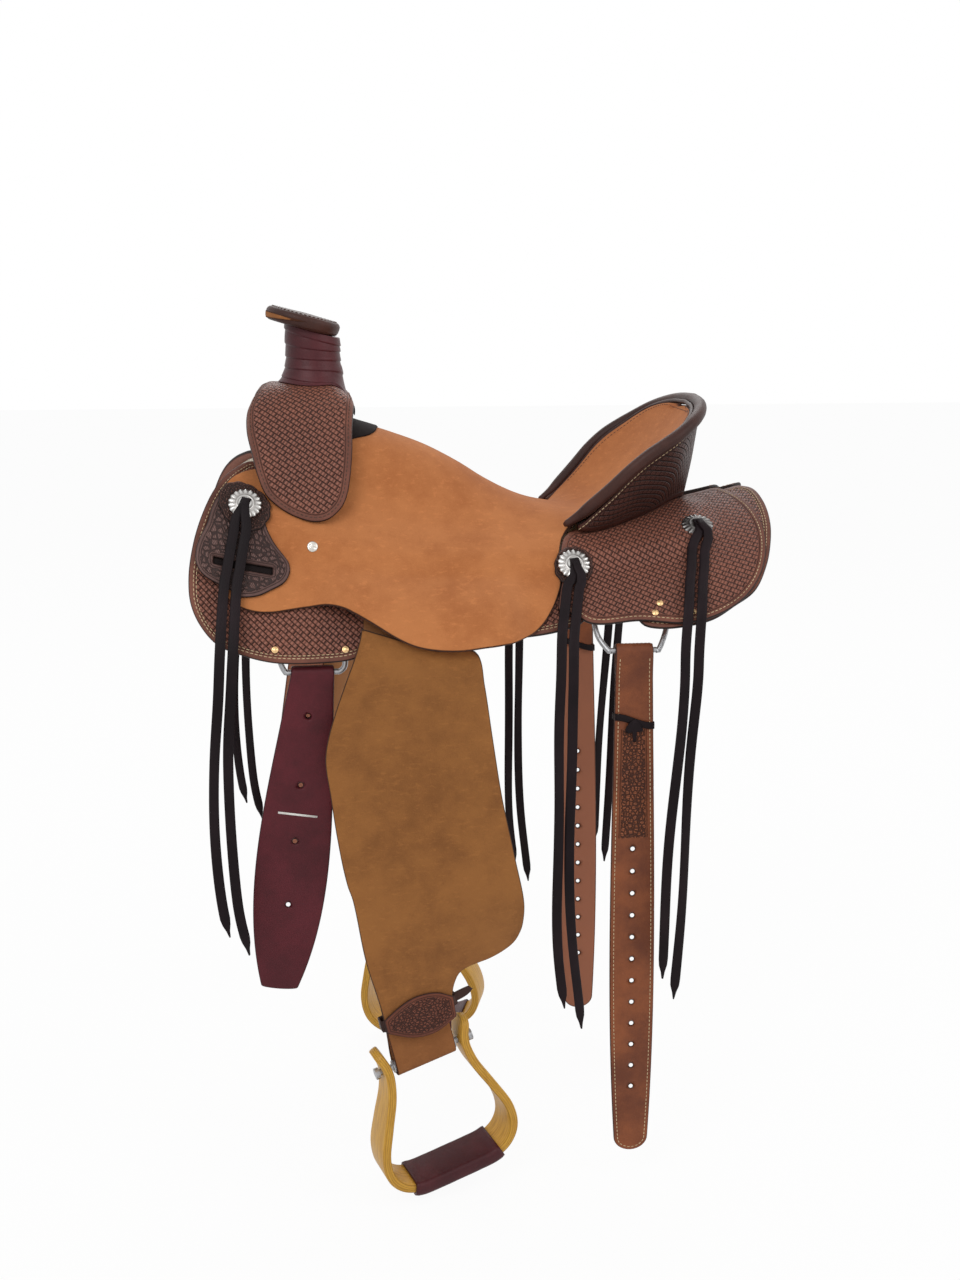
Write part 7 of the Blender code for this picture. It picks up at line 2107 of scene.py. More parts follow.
@dataclass
class Strings:
    """Pairs of thongs that leave the conchos and hang free."""

    width: float = 0.0115
    thick: float = 0.0025
    slit: float = 0.045
    shorter: float = 0.028
    stations: int = 70
    point: float = 0.022
    point_share: float = 0.86
    clear: float = 0.0013
    sway: Tuple[float, float] = (0.0035, 19.0)
    twist: Tuple[float, float] = (0.35, 13.0)

    def thong(self, name: str, side: Side, tie: str, sign: int) -> Tuple[bpy.types.Object, Array]:
        """One thong of a pair.

        Args:
            name: The piece's name.
            side: The side.
            tie: The tie.
            sign: 1 for the rear thong, -1 for the front one.

        Returns:
            The thong and its centreline.
        """
        route = ROUTES.get(f"{side.value}_{tie}") or ROUTES[f"near_{tie}"]
        trail = Trail(spline(route, 6))
        total = trail.total - (self.shorter if sign < 0 else 0.0)
        length = np.linspace(0.0, total, self.stations)
        low, high = SPREAD[tie]
        share = ease((length - self.slit) / (trail.total - self.slit))
        off = sign * (self.width / 2 + GAP + blend(low, high - self.width / 2, share) * 0.5)
        off = off * ease(length / (self.slit * 0.7)) + sign * 0.0008
        ahead = trail.ahead(length, 0.004)
        across = unit(np.array((1.0, 0.0, 0.0)) - ahead * ahead[:, :1])
        out = np.cross(ahead, across)
        out[out[:, 1] > 0] *= -1
        lift = self.clear * sign * (1 - ease((length - 0.02) / 0.05))
        line = trail.at(length) + across * off[:, None] + out * (self.clear + lift)[:, None]
        (swing, swing_rate), (spin, spin_rate) = self.sway, self.twist
        sway = swing * np.sin(length * swing_rate + sign + len(tie)) * ease((length - 0.10) / 0.2)
        twist = spin * np.sin(length * spin_rate + 1.3 * sign + len(tie)) * ease((length - 0.12) / 0.2)
        line = line + out * sway[:, None] * 0.6 + across * sway[:, None] * 0.35
        wide = self.width / 2 * (1 - self.point_share * ease((length - (total - self.point)) / self.point))
        wide = wide * blend(0.78, 1.0, ease(length / 0.03))
        ahead = unit(np.gradient(line, axis=0))
        across = unit(across - ahead * np.sum(ahead * across, axis=1, keepdims=True))
        out = np.cross(ahead, across)
        turned = across * np.cos(twist)[:, None] + out * np.sin(twist)[:, None]
        face = np.cross(ahead, turned)
        rows = np.stack([line + turned * (wide * a)[:, None] + face * (self.thick / 2 * b)
                         for a, b in THONG_CORNERS], axis=1)
        if side is Side.OFF:
            rows, line = rows * FLIP, line * FLIP
        return lofted(name, rows), line

    def loop(self, name: str, side: Side, tie: str) -> bpy.types.Object:
        """The thong's turn through the concho's two slots.

        Args:
            name: The piece's name.
            side: The side.
            tie: The tie.

        Returns:
            The piece.
        """
        place = SILVERWARE.place(side, tie)
        half = SILVERWARE.radius * 0.34
        share = np.linspace(-1.0, 1.0, 15)
        tall = SILVERWARE.height + 0.0006 + 0.0016 * (1 - share ** 2) - 0.0030 * np.abs(share) ** 6
        line = np.stack([0.0006 * np.sin(share * 2), share * half * 1.1, tall], axis=1)
        wide = self.width * 0.47
        rows = np.stack([line + np.array((wide * a, 0.0, 0.0011 * b)) for a, b in TURN_CORNERS], axis=1)
        rows = moved(rows.reshape(-1, 3), place).reshape(rows.shape)
        return lofted(name, rows * FLIP if side is Side.OFF else rows)

    def build(self) -> None:
        for side in Side:
            for tie in TIES:
                node = f"{side.value}_{tie}_strings"
                for sign, word in ((1, "rear"), (-1, "fore")):
                    piece, line = self.thong(f"{side.value}_{tie}_{word}_thong", side, tie, sign)
                    mount(piece, STRING_HIDE, node, node)
                    length = float(run_lengths(line)[-1])
                    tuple(line[0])
                loop = self.loop(f"{side.value}_{tie}_thong_turn", side, tie)
                mount(loop, STRING_HIDE, "saddle")


SILVERWARE = Silverware()


# Rigging

@dataclass(frozen=True)
class Strap:
    """Sizes of a strap that hangs from a rigging dee."""

    x: float
    bar: Tuple[float, float]
    tail: float
    reach: float
    lean: float
    width: float
    thick: float
    round_by: float
    plumb: float
    holes: Tuple[float, ...]
    meet: float = 0.034
    rod: float = 0.0038
    hole: float = 0.0026
    hole_margin: float = 0.004

    def trail(self) -> Trail:
        """Strap line (out, down): up the back, over the bar and down the front."""
        points = [(-GAP / 2, self.tail)]
        for k in range(9):
            share = k / 8
            points.append((-float(blend(GAP / 2, self.rod, ease(np.array(share)))), self.meet * (1 - share)))
        for k in range(1, 16):
            angle = math.pi * (1 - k / 16)
            points.append((self.rod * math.cos(angle), -self.rod * math.sin(angle)))
        for k in range(9):
            share = k / 8
            points.append((float(blend(self.rod, GAP / 2, ease(np.array(share)))), self.meet * share))
        points.append((GAP / 2, self.reach))
        return Trail(np.array(points))

    def span(self, start: float, end: float) -> Tuple[float, float]:
        """Millimetres along the pattern of a stretch of the front, from lengths below the dee."""
        top = self.trail().total - self.reach
        return (top + start) * MM, (top + end) * MM

    def form(self, across: Array, length: Array, face: Array) -> Array:
        """Points of the strap.

        Args:
            across: Lengths across it.
            length: Lengths along it.
            face: Share of its thickness.

        Returns:
            One point for each.
        """
        trail = self.trail()
        here, ahead = trail.at(length), trail.ahead(length, 0.0006)
        out = here[:, 0] + ahead[:, 1] * self.thick * face
        fall = here[:, 1] - ahead[:, 0] * self.thick * face
        slope = math.hypot(1.0, self.lean)
        low = np.maximum(fall, 0.0)
        x = self.x + across / slope + self.lean * low / slope
        z = (self.bar[1] - np.where(fall < 0, fall, fall / slope)
             + across * self.lean / slope * np.minimum(1.0, low / 0.05))
        y = -(self.bar[0] + out)
        dy, dz = y + self.bar[0], z - self.bar[1]
        cos, sin = math.cos(self.plumb), math.sin(self.plumb)
        return np.stack([x, -self.bar[0] + cos * dy - sin * dz, self.bar[1] + sin * dy + cos * dz], axis=1)

    def outline(self) -> Array:
        """Pattern of the strap, its free end rounded."""
        half, end, by = self.width / 2, self.trail().total, self.round_by
        loop = [(half, 0.0), (half, end - by)]
        for k in range(1, 8):
            angle = math.pi / 2 * k / 8
            loop.append((half * math.cos(angle), end - by + by * math.sin(angle)))
        loop.append((0.0, end))
        for k in range(7, 0, -1):
            angle = math.pi / 2 * k / 8
            loop.append((-half * math.cos(angle), end - by + by * math.sin(angle)))
        return smooth_loop(loop + [(-half, end - by), (-half, 0.0)], 0.004, 60.0)

    def build(self, name: str) -> bpy.types.Object:
        """The strap with its holes.

        Args:
            name: The piece's name.

        Returns:
            The near-side strap.
        """
        total = self.trail().total
        top = total - self.reach
        places = [top + fall for fall in self.holes]
        places += [self.tail - fall for fall in self.holes if fall < self.tail - self.hole_margin]
        holes = [round_loop((0.0, place), self.hole) for place in places]
        middle = self.tail + self.meet
        sheet = Sheet(self.outline(), self.form, self.thick, 0.0045, 0.0012, holes=tuple(holes),
                      dense=((self.tail - 0.002, middle + 0.040, 0.0012),))
        return sheet.build(name)


LATIGO = Strap(-0.209, (0.1955, -0.0868), 0.060, 0.385, -0.126, 0.0430, 0.004, 0.003, 0.0092939,
               (0.051, 0.133, 0.201, 0.279))
OFF_BILLET = Strap(-0.209, (0.1955, -0.0868), 0.075, 0.385, -0.130, 0.0430, 0.004, 0.016, 0.0087961,
                   (0.051, 0.133, 0.201, 0.279))
REAR_BILLET = Strap(0.1560, (0.1955, -0.0708), 0.085, 0.634, 0.016, 0.042, 0.0045, 0.018, 0.0064764,
                    (0.240, 0.268, 0.296, 0.324, 0.352, 0.380, 0.408, 0.436, 0.464, 0.492, 0.520, 0.548))
@dataclass(frozen=True)
class Dee:
    """Rod of a rigging dee, bent round a head on the skirt and a straight bar below."""

    x: float
    half_head: float
    half_bar: float
    top: float
    bar: Tuple[float, float]
    rise: float = 0.016
    thick: float = 0.0035
    bar_end: float = 0.004
    knee: Tuple[float, float] = (0.003, -0.005)

    def line(self) -> Array:
        """Points of the rod's centreline, as one loop."""
        under = level(BACK.skirt_under - GAP - self.thick)
        head = np.array([FOLDS.spot(self.x - self.half_head * math.cos(turn),
                                    self.top + self.rise * (1 - math.sin(turn)), under)
                         for turn in np.arange(7) * math.pi / 6])
        shifts = np.array((self.half_bar, self.half_bar - self.bar_end, 0.0))
        bar = np.array([(self.x + shift, -self.bar[0], self.bar[1])
                        for shift in (*shifts, *-shifts[1::-1])])
        out, fall = self.knee
        rear_knee = (head[-1] + bar[0]) / 2 + np.array((out, 0.0, fall))
        front_knee = (head[0] + bar[-1]) / 2 + np.array((-out, 0.0, fall))
        return np.round([*head, rear_knee, *bar, front_knee], FOLDS.digits)


DEES = {"front": Dee(-0.209, 0.036, 0.030, 0.206, (0.1955, -0.0868)),
        "rear": Dee(0.156, 0.045, 0.029, 0.160, (0.1955, -0.0708))}
TIE_LEAF = ((0.0, -0.004), (0.006, 0.002), (0.0105, 0.010), (0.0075, 0.012), (0.003, 0.012),
            (0.0015, 0.024), (-0.0015, 0.024), (-0.003, 0.012), (-0.0085, 0.013), (-0.0110, 0.010),
            (-0.006, 0.001))


@dataclass
class Rigging:
    """Dees, latigo and billets."""

    rod: float = 0.0032
    tie_drop: float = 0.083
    tie_room: float = 0.0012
    tie_half: float = 0.0042
    tie_lean: Tuple[float, float] = (0.006, 70.0)
    band_drop: float = 0.168
    band_room: float = 0.0005
    band_half: float = 0.0012
    band_slant: float = 0.03

    def build(self) -> None:
        """Make and dress the rigging."""
        for name, dee in DEES.items():
            points = dee.line()
            loop = spline([*points, points[0]], 5)[:-1]
            rings = tube_rings(loop, np.full(len(loop), self.rod), 14, closed=True)
            both_sides(lofted(f"near_{name}_dee_steel", rings, True), STEEL, "saddle", f"{name}_dee")
        mount(LATIGO.build("near_latigo_strap"), BURGUNDY, "near_latigo", "near_latigo")
        billet = OFF_BILLET.build("off_front_billet_strap")
        to_off_side(billet)
        mount(billet, RUSSET, "off_front_billet", "off_front_billet")
        both_sides(REAR_BILLET.build("near_rear_billet_strap"), RUSSET_TOOLED, "rear_billet",
                   "rear_billet")
        seam = Thread(0.0050, 0.0040)
        both_sides(seam.along("near_rear_billet_stitching", self.billet_rows(REAR_BILLET)), THREAD,
                   "rear_billet")
        stitches = seam.along("off_front_billet_stitching", self.billet_rows(OFF_BILLET))
        to_off_side(stitches)
        mount(stitches, THREAD, "off_front_billet")
        self.build_ties()
        self.build_band()

    def billet_rows(self, strap: Strap) -> List[Tuple[Array, Array]]:
        """Stitched line inside a billet's edge.

        Args:
            strap: The billet.

        Returns:
            The line's points and normals.
        """
        path = inset_loop(strap.outline(), 0.0046)
        start = strap.tail + strap.meet * 0.5
        return [surface_run(strap.form, run) for run in split_runs(path, path[:, 1] > start)]

    def build_ties(self) -> None:
        """Make and dress the thong tied round each rear billet."""
        strap = REAR_BILLET
        at = strap.trail().total - strap.reach + self.tie_drop
        half, (sway, rate) = strap.width / 2 + self.tie_room, self.tie_lean
        corner = ((-half, 1.25), (0.0, 1.5), (half, 1.25), (half + 0.0006, 0.2), (half, -1.05), (0.0, -1.25),
                  (-half, -1.05), (-half - 0.0006, 0.2))
        line = spline((*corner, corner[0]), 4)[:-1]
        rings = []
        for across, face in line:
            lean = sway * math.sin(across * rate)
            ring = []
            for k in range(8):
                turn = 2 * math.pi * k / 8
                grow = 0.0007 * math.sin(turn) / strap.thick
                down = at + lean + self.tie_half * math.cos(turn)
                spot = strap.form(np.array([across]), np.array([down]), np.array([face + grow]))
                ring.append(spot[0])
            rings.append(ring)
        both_sides(lofted("near_rear_billet_tie", np.array(rings), True), STRING_HIDE, "rear_billet")
        loop = smooth_loop([(u, at + v) for u, v in TIE_LEAF], 0.002, 70)
        sheet = Sheet(loop, lambda u, v, face: strap.form(u, v, 1.55 + face * 0.45), 0.002, 0.0028, 0.0007)
        both_sides(sheet.build("near_rear_billet_tie_leaf"), STRING_HIDE, "rear_billet")

    def build_band(self) -> None:
        """Make and dress the paper band round the latigo."""
        strap = LATIGO
        at = strap.trail().total - strap.reach + self.band_drop
        half = strap.width / 2 + self.band_room
        line = [(-half, 1.10), (half, 1.10), (half, -0.10), (-half, -0.10)]
        rings = []
        for across, face in line:
            over = face + (0.08 if face > 0.5 else -0.08)
            wide = across * 1.02
            edges = [(-1, across, face), (1, across, face), (1, wide, over), (-1, wide, over)]
            rings.append([strap.form(np.array([side]),
                                     np.array([at + self.band_half * k + across * self.band_slant]),
                                     np.array([out]))[0] for k, side, out in edges])
        mount(lofted("near_latigo_band", np.array(rings), True), PAPER, "near_latigo")


RUSSET_TOOLED = Leather("russet_tooled_finish", "russet_leather", (0.260, 0.080, 0.031),
                        (0.130, 0.038, 0.018), (0.045, 0.016, 0.010), 0.48, stamp=Stamp.SCROLL,
                        stamp_size=5.0, border=10.0, stamp_span=REAR_BILLET.span(0.092, 0.226))


# Fenders, leathers and stirrups

FENDER_EDGE = (
    (-0.0405, -0.0240), (-0.0415, -0.0170), (-0.0600, 0.0355), (-0.0720, 0.0700), (-0.0815, 0.1050),
    (-0.0835, 0.1240), (-0.0785, 0.1660), (-0.0725, 0.2130), (-0.0615, 0.2730), (-0.0560, 0.2900),
    (-0.0460, 0.3645), (-0.0400, 0.4100), (-0.0390, 0.4450), (0.0000, 0.4600), (0.0300, 0.4650),
    (0.0440, 0.4590), (0.0477, 0.4290), (0.0545, 0.4115), (0.0600, 0.4035), (0.0675, 0.3990),
    (0.1017, 0.3930), (0.1180, 0.3860), (0.1300, 0.3760), (0.1390, 0.3560), (0.1420, 0.3380),
    (0.1426, 0.3076), (0.1300, 0.2400), (0.1160, 0.1730), (0.1050, 0.1030), (0.0956, 0.0400),
    (0.0888, 0.0060), (0.0850, 0.0020), (0.0400, 0.0000), (0.0100, -0.0090),
)
LEAF_EDGE = ((-0.0395, 0.4300), (-0.0174, 0.4197), (0.0036, 0.4142), (0.0290, 0.4180), (0.0470, 0.4305),
             (0.0455, 0.4590), (0.0180, 0.4680), (-0.0082, 0.4645), (-0.0395, 0.4465))
STIRRUP_LINE = (
    (-0.0575, 0.0300), (-0.0510, 0.0120), (-0.0495, -0.0060), (-0.0550, -0.0320), (-0.0680, -0.0640),
    (-0.0805, -0.0980), (-0.0810, -0.1260), (-0.0695, -0.1450), (-0.0500, -0.1545), (-0.0250, -0.1560),
    (0.0, -0.1560),
)


@dataclass
class HangingLeather:
    """The fender with its stirrup leather, and how both turn towards the stirrup."""

    head: Tuple[float, float, float] = (-0.1135, -0.2218, -0.0600)
    swing_drop: float = 0.0175
    turn: float = math.radians(16.3)
    lean: float = math.radians(13.5)
    turn_span: Tuple[float, float] = (0.26, 0.48)
    drop: float = 0.5015
    plumb: float = 0.001772
    swing_aft: float = 0.0232
    thick: float = 0.0045
    leather_thick: float = 0.0035
    leather_width: float = 0.076
    turn_room: float = 0.0011
    roller: float = 0.008
    sleeve_room: float = 0.0031
    dip: Tuple[float, ...] = (0.130, 0.160, 0.300, 0.335)
    tail: float = 0.205
    hobble_thick: float = 0.003
    hobble_off: float = 0.0008
    hobble_sides: Tuple[float, float] = (-0.0415, 0.0495)
    hobble_drops: Tuple[float, float] = (0.4315, 0.4455)
    tip_thick: float = 0.0025
    tip_out: float = -0.004

    def directions(self, drop: Array) -> Tuple[Array, Array]:
        """Turn and lean of the leather at drops."""
        share = ease((drop - self.turn_span[0]) / (self.turn_span[1] - self.turn_span[0]))
        return self.turn * share, self.lean * share

    def downward(self, drop: Array) -> Array:
        """Unit direction down the leather at drops."""
        turn, lean = self.directions(drop)
        return np.stack([np.sin(lean) * np.cos(turn), np.sin(lean) * np.sin(turn), -np.cos(lean)], axis=1)

    def frame_at(self, drop: Array) -> Tuple[Array, Array, Array]:
        """Centre, across and out directions of the leather.

        Args:
            drop: Lengths down from its head.

        Returns:
            The three, one row for each drop.
        """
        lengths, centres = hang_table(self.key())
        rows = np.stack([np.interp(drop, lengths, column) for column in centres.T], axis=1)
        rows[:, 2] -= np.minimum(drop - lengths[0], 0.0)
        turn, lean = self.directions(drop)
        across = np.stack([np.cos(turn) * np.cos(lean), np.sin(turn) * np.cos(lean), np.sin(lean)], axis=1)
        out = np.stack([np.sin(turn), -np.cos(turn), np.zeros(turn.shape)], axis=1)
        return rows, across, out

    def key(self) -> Tuple[float, ...]:
        """The sizes that the centreline depends on."""
        return (*self.head, self.turn, self.lean, *self.turn_span)

    def settle(self, points: Array) -> Array:
        """Points turned to where the leather hangs plumb.

        Args:
            points: Points as drawn.

        Returns:
            The turned points.
        """
        pivot = np.array((self.head[0] + self.swing_aft, 0.0, self.head[2] - self.swing_drop))
        arm = points - pivot
        cos, sin = math.cos(self.plumb), math.sin(self.plumb)
        return pivot + np.stack([cos * arm[:, 0] + sin * arm[:, 2], arm[:, 1],
                                 -sin * arm[:, 0] + cos * arm[:, 2]], axis=1)

    def hang(self, across: Array, drop: Array, out: Array) -> Array:
        """Near-side points on the hanging leather.

        Args:
            across: Lengths along the horse.
            drop: Lengths down.
            out: Lengths out.

        Returns:
            One point for each.
        """
        centre, side, normal = self.frame_at(drop)
        over = np.maximum(self.swing_drop - drop, 0.0)
        stand = out - 0.50 * over * over / (over + 0.016)
        return self.settle(centre + side * across[:, None] + normal * stand[:, None])

    def fender_form(self, across: Array, drop: Array, face: Array) -> Array:
        """Points of the fender."""
        return self.hang(across, drop, self.thick * (face - 0.5))

    @property
    def ply_out(self) -> float:
        """Outside of the stirrup leather under the fender."""
        return -self.thick / 2 - GAP

    def stand_off(self, drop: Array) -> Array:
        """How far the stirrup leather stands off the fender."""
        a, b, c, d = self.dip
        turning = self.turn_room * ease((drop - 0.24) / 0.05)
        return np.maximum(self.sleeve_room * ease((drop - a) / (b - a)) * ease((d - drop) / (d - c)), turning)

    def leather_trail(self) -> Trail:
        """Stirrup leather line (out, drop): down the front, round the roller and up behind."""
        ply_in = self.ply_out - self.leather_thick
        bolt_out = ply_in - self.turn_room - GAP - self.roller
        radius = self.roller + GAP
        points = []
        for drop in (0.0180, *np.linspace(0.125, 0.34, 14), 0.36, 0.38, 0.405, 0.43, 0.45, 0.47):
            points.append((self.ply_out - float(self.stand_off(np.array(drop))), float(drop)))
        for k in range(19):
            angle = math.pi * k / 18
            ring = radius + self.leather_thick
            points.append((bolt_out + ring * math.cos(angle), self.drop + ring * math.sin(angle)))
        joined = ply_in - GAP - self.leather_thick
        start = bolt_out - radius - self.leather_thick
        for k in range(1, 9):
            share = float(ease(np.array(k / 8)))
            points.append((float(blend(start, joined - self.turn_room, share)), self.drop - 0.060 * k / 8))
        for drop in (0.42, 0.40, 0.365, *np.linspace(0.33, self.tail, 9)):
            points.append((joined - float(self.stand_off(np.array(drop))), float(drop)))
        return Trail(np.array(points))

    def leather_form(self, across: Array, length: Array, face: Array) -> Array:
        """Points of the stirrup leather.

        Args:
            across: Lengths across it.
            length: Lengths along it.
            face: Share of its thickness.

        Returns:
            One point for each.
        """
        trail = self.leather_trail()
        here, ahead = trail.at(length), trail.ahead(length, 0.0015)
        into = self.leather_thick * (face - 1.0)
        return self.hang(across, here[:, 1] - ahead[:, 0] * into, here[:, 0] + ahead[:, 1] * into)

    def build(self) -> None:
        """Make and dress the fenders, leathers and hobble straps."""
        loop = smooth_loop(FENDER_EDGE)
        both_sides(Sheet(loop, self.fender_form, self.thick, 0.006, 0.0015).build("near_fender_leather"),
                   FENDER_HIDE, "fender", "fender")
        half, total = self.leather_width / 2, self.leather_trail().total
        loop = smooth_loop([(half, 0.0), (half, total), (-half, total), (-half, 0.0)])
        sheet = Sheet(loop, self.leather_form, self.leather_thick, 0.006, 0.0012,
                      dense=((0.46, 0.56, 0.002),))
        both_sides(sheet.build("near_stirrup_leather_loop"), LOOP_HIDE, "fender", "stirrup_leather")
        self.build_hobble()

    def build_hobble(self) -> None:
        """Make and dress the hobble strap: its tooled leaf, its band and its tip."""
        front, thick = self.thick / 2 + self.hobble_off, self.hobble_thick
        leaf = smooth_loop(LEAF_EDGE, 0.003)

        def leaf_form(u: Array, v: Array, face: Array) -> Array:
            """Points of the leaf."""
            return self.hang(u, v, front + thick * face)
        both_sides(Sheet(leaf, leaf_form, thick, 0.0035, 0.0011).build("near_hobble_leaf"), HOBBLE,
                   "fender", "hobble_strap")
        ply_in = self.ply_out - self.leather_thick
        back = ply_in - 2 * self.turn_room - GAP - self.leather_thick - 0.0010
        left, right = self.hobble_sides
        high, low = self.hobble_drops
        corner = [(right - 0.010, front), (right - 0.001, front), (right, front - 0.001), (right, back + 0.001),
                  (right - 0.001, back), (left + 0.001, back), (left, back + 0.001), (left, front - 0.001),
                  (left + 0.001, front), (left + 0.010, front)]
        band = Trail(np.array(corner))

        def band_form(u: Array, v: Array, face: Array) -> Array:
            """Points of the band."""
            here, ahead = band.at(v), band.ahead(v, 0.0015)
            grow = thick * 0.8 * face
            return self.hang(here[:, 0] - ahead[:, 1] * grow, u, here[:, 1] - ahead[:, 0] * grow)
        loop = smooth_loop([(high, 0.0), (low, 0.0), (low, band.total), (high, band.total)], 0.004)
        piece = Sheet(loop, band_form, thick * 0.8, 0.004, 0.0009).build("near_hobble_band")
        both_sides(piece, PLAIN_DARK, "fender")
        tip = smooth_loop([(right - 0.012, 0.4325), (right + 0.010, 0.4290), (right + 0.020, 0.4280),
                           (right + 0.0245, 0.4345), (right + 0.017, 0.4400), (right - 0.012, 0.4440)], 0.003)

        def tip_form(u: Array, v: Array, face: Array) -> Array:
            """Points of the tip."""
            return self.hang(u, v, self.tip_out + self.tip_thick * face)
        piece = Sheet(tip, tip_form, self.tip_thick, 0.0035, 0.0009).build("near_hobble_tip")
        both_sides(piece, PLAIN_DARK, "fender")


@lru_cache(maxsize=None)
def hang_table(key: Tuple[float, ...]) -> Tuple[Array, Array]:
    """Centreline of the hanging leather at even lengths.

    Args:
        key: Its head, turn, lean and the span that it turns over.

    Returns:
        The lengths and the points.
    """
    head, turn, lean, start, end = np.array(key[:3]), key[3], key[4], key[5], key[6]
    step = 0.001
    lengths = np.arange(-0.06, 0.600, step)
    middle = lengths[:-1] + step / 2
    share = ease((middle - start) / (end - start))
    steps = np.stack([np.sin(lean * share) * np.cos(turn * share), np.sin(lean * share) * np.sin(turn * share),
                      -np.cos(lean * share)], axis=1) * step
    points = np.concatenate([[(0.0, 0.0, 0.0)], np.cumsum(steps, axis=0)])
    zero = np.array([np.interp(0.0, lengths, column) for column in points.T])
    return lengths, points - zero + head


HOBBLE = Leather("hobble_leather", "dark_tooled_leather", (0.200, 0.060, 0.032), (0.120, 0.036, 0.021),
                 (0.040, 0.014, 0.010), 0.52, stamp=Stamp.SCROLL, stamp_size=4.5, border=5.0)
HANGING = HangingLeather()


@dataclass
class Stirrup:
    """Bent-wood stirrup with its wrapped tread."""

    tread_depth: float = 0.051
    ear_depth: float = 0.034
    wood: float = 0.0105
    wrap: float = 0.0035
    wrap_half: float = 0.0575

    def line(self) -> Array:
        """Centreline of the wood, from ear to ear."""
        half = list(STIRRUP_LINE)
        return spline(half + [(-u, v) for u, v in half[-2::-1]], 6)

    def place(self) -> Matrix:
        """Placement of the near stirrup: X along the bolt, Y in, Z up."""
        drop = np.array([HANGING.drop])
        _, across, out = HANGING.frame_at(drop)
        ply_in = HANGING.ply_out - HANGING.leather_thick
        origin = HANGING.hang(np.zeros(1), drop, np.array([ply_in - HANGING.turn_room - GAP
                                                           - HANGING.roller]))[0]
        cos, sin = math.cos(HANGING.plumb), math.sin(HANGING.plumb)
        turn = np.array(((cos, 0.0, sin), (0.0, 1.0, 0.0), (-sin, 0.0, cos)))
        axes = np.stack([turn @ across[0], turn @ -out[0], turn @ -HANGING.downward(drop)[0]], axis=1)
        matrix = np.eye(4)
        matrix[:3, :3] = axes
        matrix[:3, 3] = origin
        return Matrix(matrix.tolist())

    def sections(self, line: Array, depth: Array, thick: Array, corner: float) -> Tuple[Array, Array]:
        """Round-cornered sections along the wood.

        Args:
            line: Centreline (u, v).
            depth: Depth at each point.
            thick: Thickness at each point.
            corner: Radius of the corners.

        Returns:
            The rings in the stirrup's frame, and their pattern in millimetres.
        """
        ahead = unit(np.gradient(line, axis=0))
        side = np.stack([ahead[:, 1], -ahead[:, 0]], axis=1)
        run = run_lengths(line)
        rings, marks = [], []
        for i in range(len(line)):
            half_d, half_t = depth[i] / 2, thick[i] / 2
            by = min(corner, half_t * 0.95, half_d * 0.95)
            ring, mark = [], []
            for centre_d, centre_t, start in ((half_d - by, half_t - by, 0), (-half_d + by, half_t - by, 1),
                                              (-half_d + by, -half_t + by, 2), (half_d - by, -half_t + by, 3)):
                for k in range(5):
                    angle = math.pi / 2 * (start + k / 4)
                    d, t = centre_d + by * math.cos(angle), centre_t + by * math.sin(angle)
                    spot = line[i] + side[i] * t
                    ring.append((spot[0], d, spot[1]))
                    mark.append((run[i] * MM, d * MM, t * MM))
            rings.append(ring)
            marks.append(mark)
        return np.array(rings), np.array(marks)

    def build(self) -> None:
        """Make and dress the stirrups."""
        place, line = self.place(), self.line()
        depth = blend(self.ear_depth, self.tread_depth, ease((0.02 - line[:, 1]) / 0.12))
        run = run_lengths(line)
        end = np.minimum(run, run[-1] - run)
        tip = np.clip(1 - end / 0.012, 0.0, 0.96)
        depth = depth * np.sqrt(1 - tip * tip)
        thick = self.wood * (1 - 0.25 * np.clip(1 - end / 0.004, 0, 1))
        rings, marks = self.sections(line, depth, thick, 0.0028)
        rings = moved(rings.reshape(-1, 3), place).reshape(rings.shape)
        both_sides(lofted("near_stirrup_bentwood", rings, False, marks), BENTWOOD, "stirrup",
                   "stirrup_frame")
        inside = np.flatnonzero((np.abs(line[:, 0]) < self.wrap_half) & (line[:, 1] < -0.1))
        core = line[inside]
        count = len(core)
        outer_d = np.full(count, self.tread_depth + 2 * (self.wrap + GAP))
        outer_t = np.full(count, self.wood + 2 * (self.wrap + GAP))
        ends = np.minimum(np.arange(count), count - 1 - np.arange(count))
        tuck = 0.0012 * (ends == 0)
        outer, marks = self.sections(core, outer_d - tuck, outer_t - tuck, 0.0058)
        inner, inner_marks = self.sections(core, np.full(count, self.tread_depth + 0.0006),
                                           np.full(count, self.wood + 0.0006), 0.0028)
        rings = np.concatenate([outer, inner[::-1]])
        rings = moved(rings.reshape(-1, 3), place).reshape(rings.shape)
        piece = lofted("near_tread_leather", rings, True, np.concatenate([marks, inner_marks[::-1]]))
        both_sides(piece, BURGUNDY_WRAP, "stirrup", "tread_wrap")
        side = unit(np.gradient(core, axis=0))
        normal = np.stack([side[:, 1], -side[:, 0]], axis=1)
        sign = -1.0 if normal[len(normal) // 2, 1] > 0 else 1.0
        low = core + normal * sign * (self.wood / 2 + self.wrap + GAP)
        seam = moved(np.stack([low[:, 0], np.full(count, 0.014), low[:, 1]], axis=1), place)
        up = np.stack([normal[:, 0] * sign, np.zeros(count), normal[:, 1] * sign], axis=1)
        up = up @ np.array(place.to_3x3()).T
        both_sides(Thread(0.0065, 0.0050, 0.0007).along("near_tread_stitching", [(seam, up)]), DARK_THREAD,
                   "stirrup")


# What stays as the frame has it

PLAIN_LOOP = Leather("inner_leather", "roughout_leather", (0.300, 0.135, 0.055), (0.200, 0.085, 0.035),
                     (0.060, 0.022, 0.012), 0.8, nap=0.4, patterned=False)


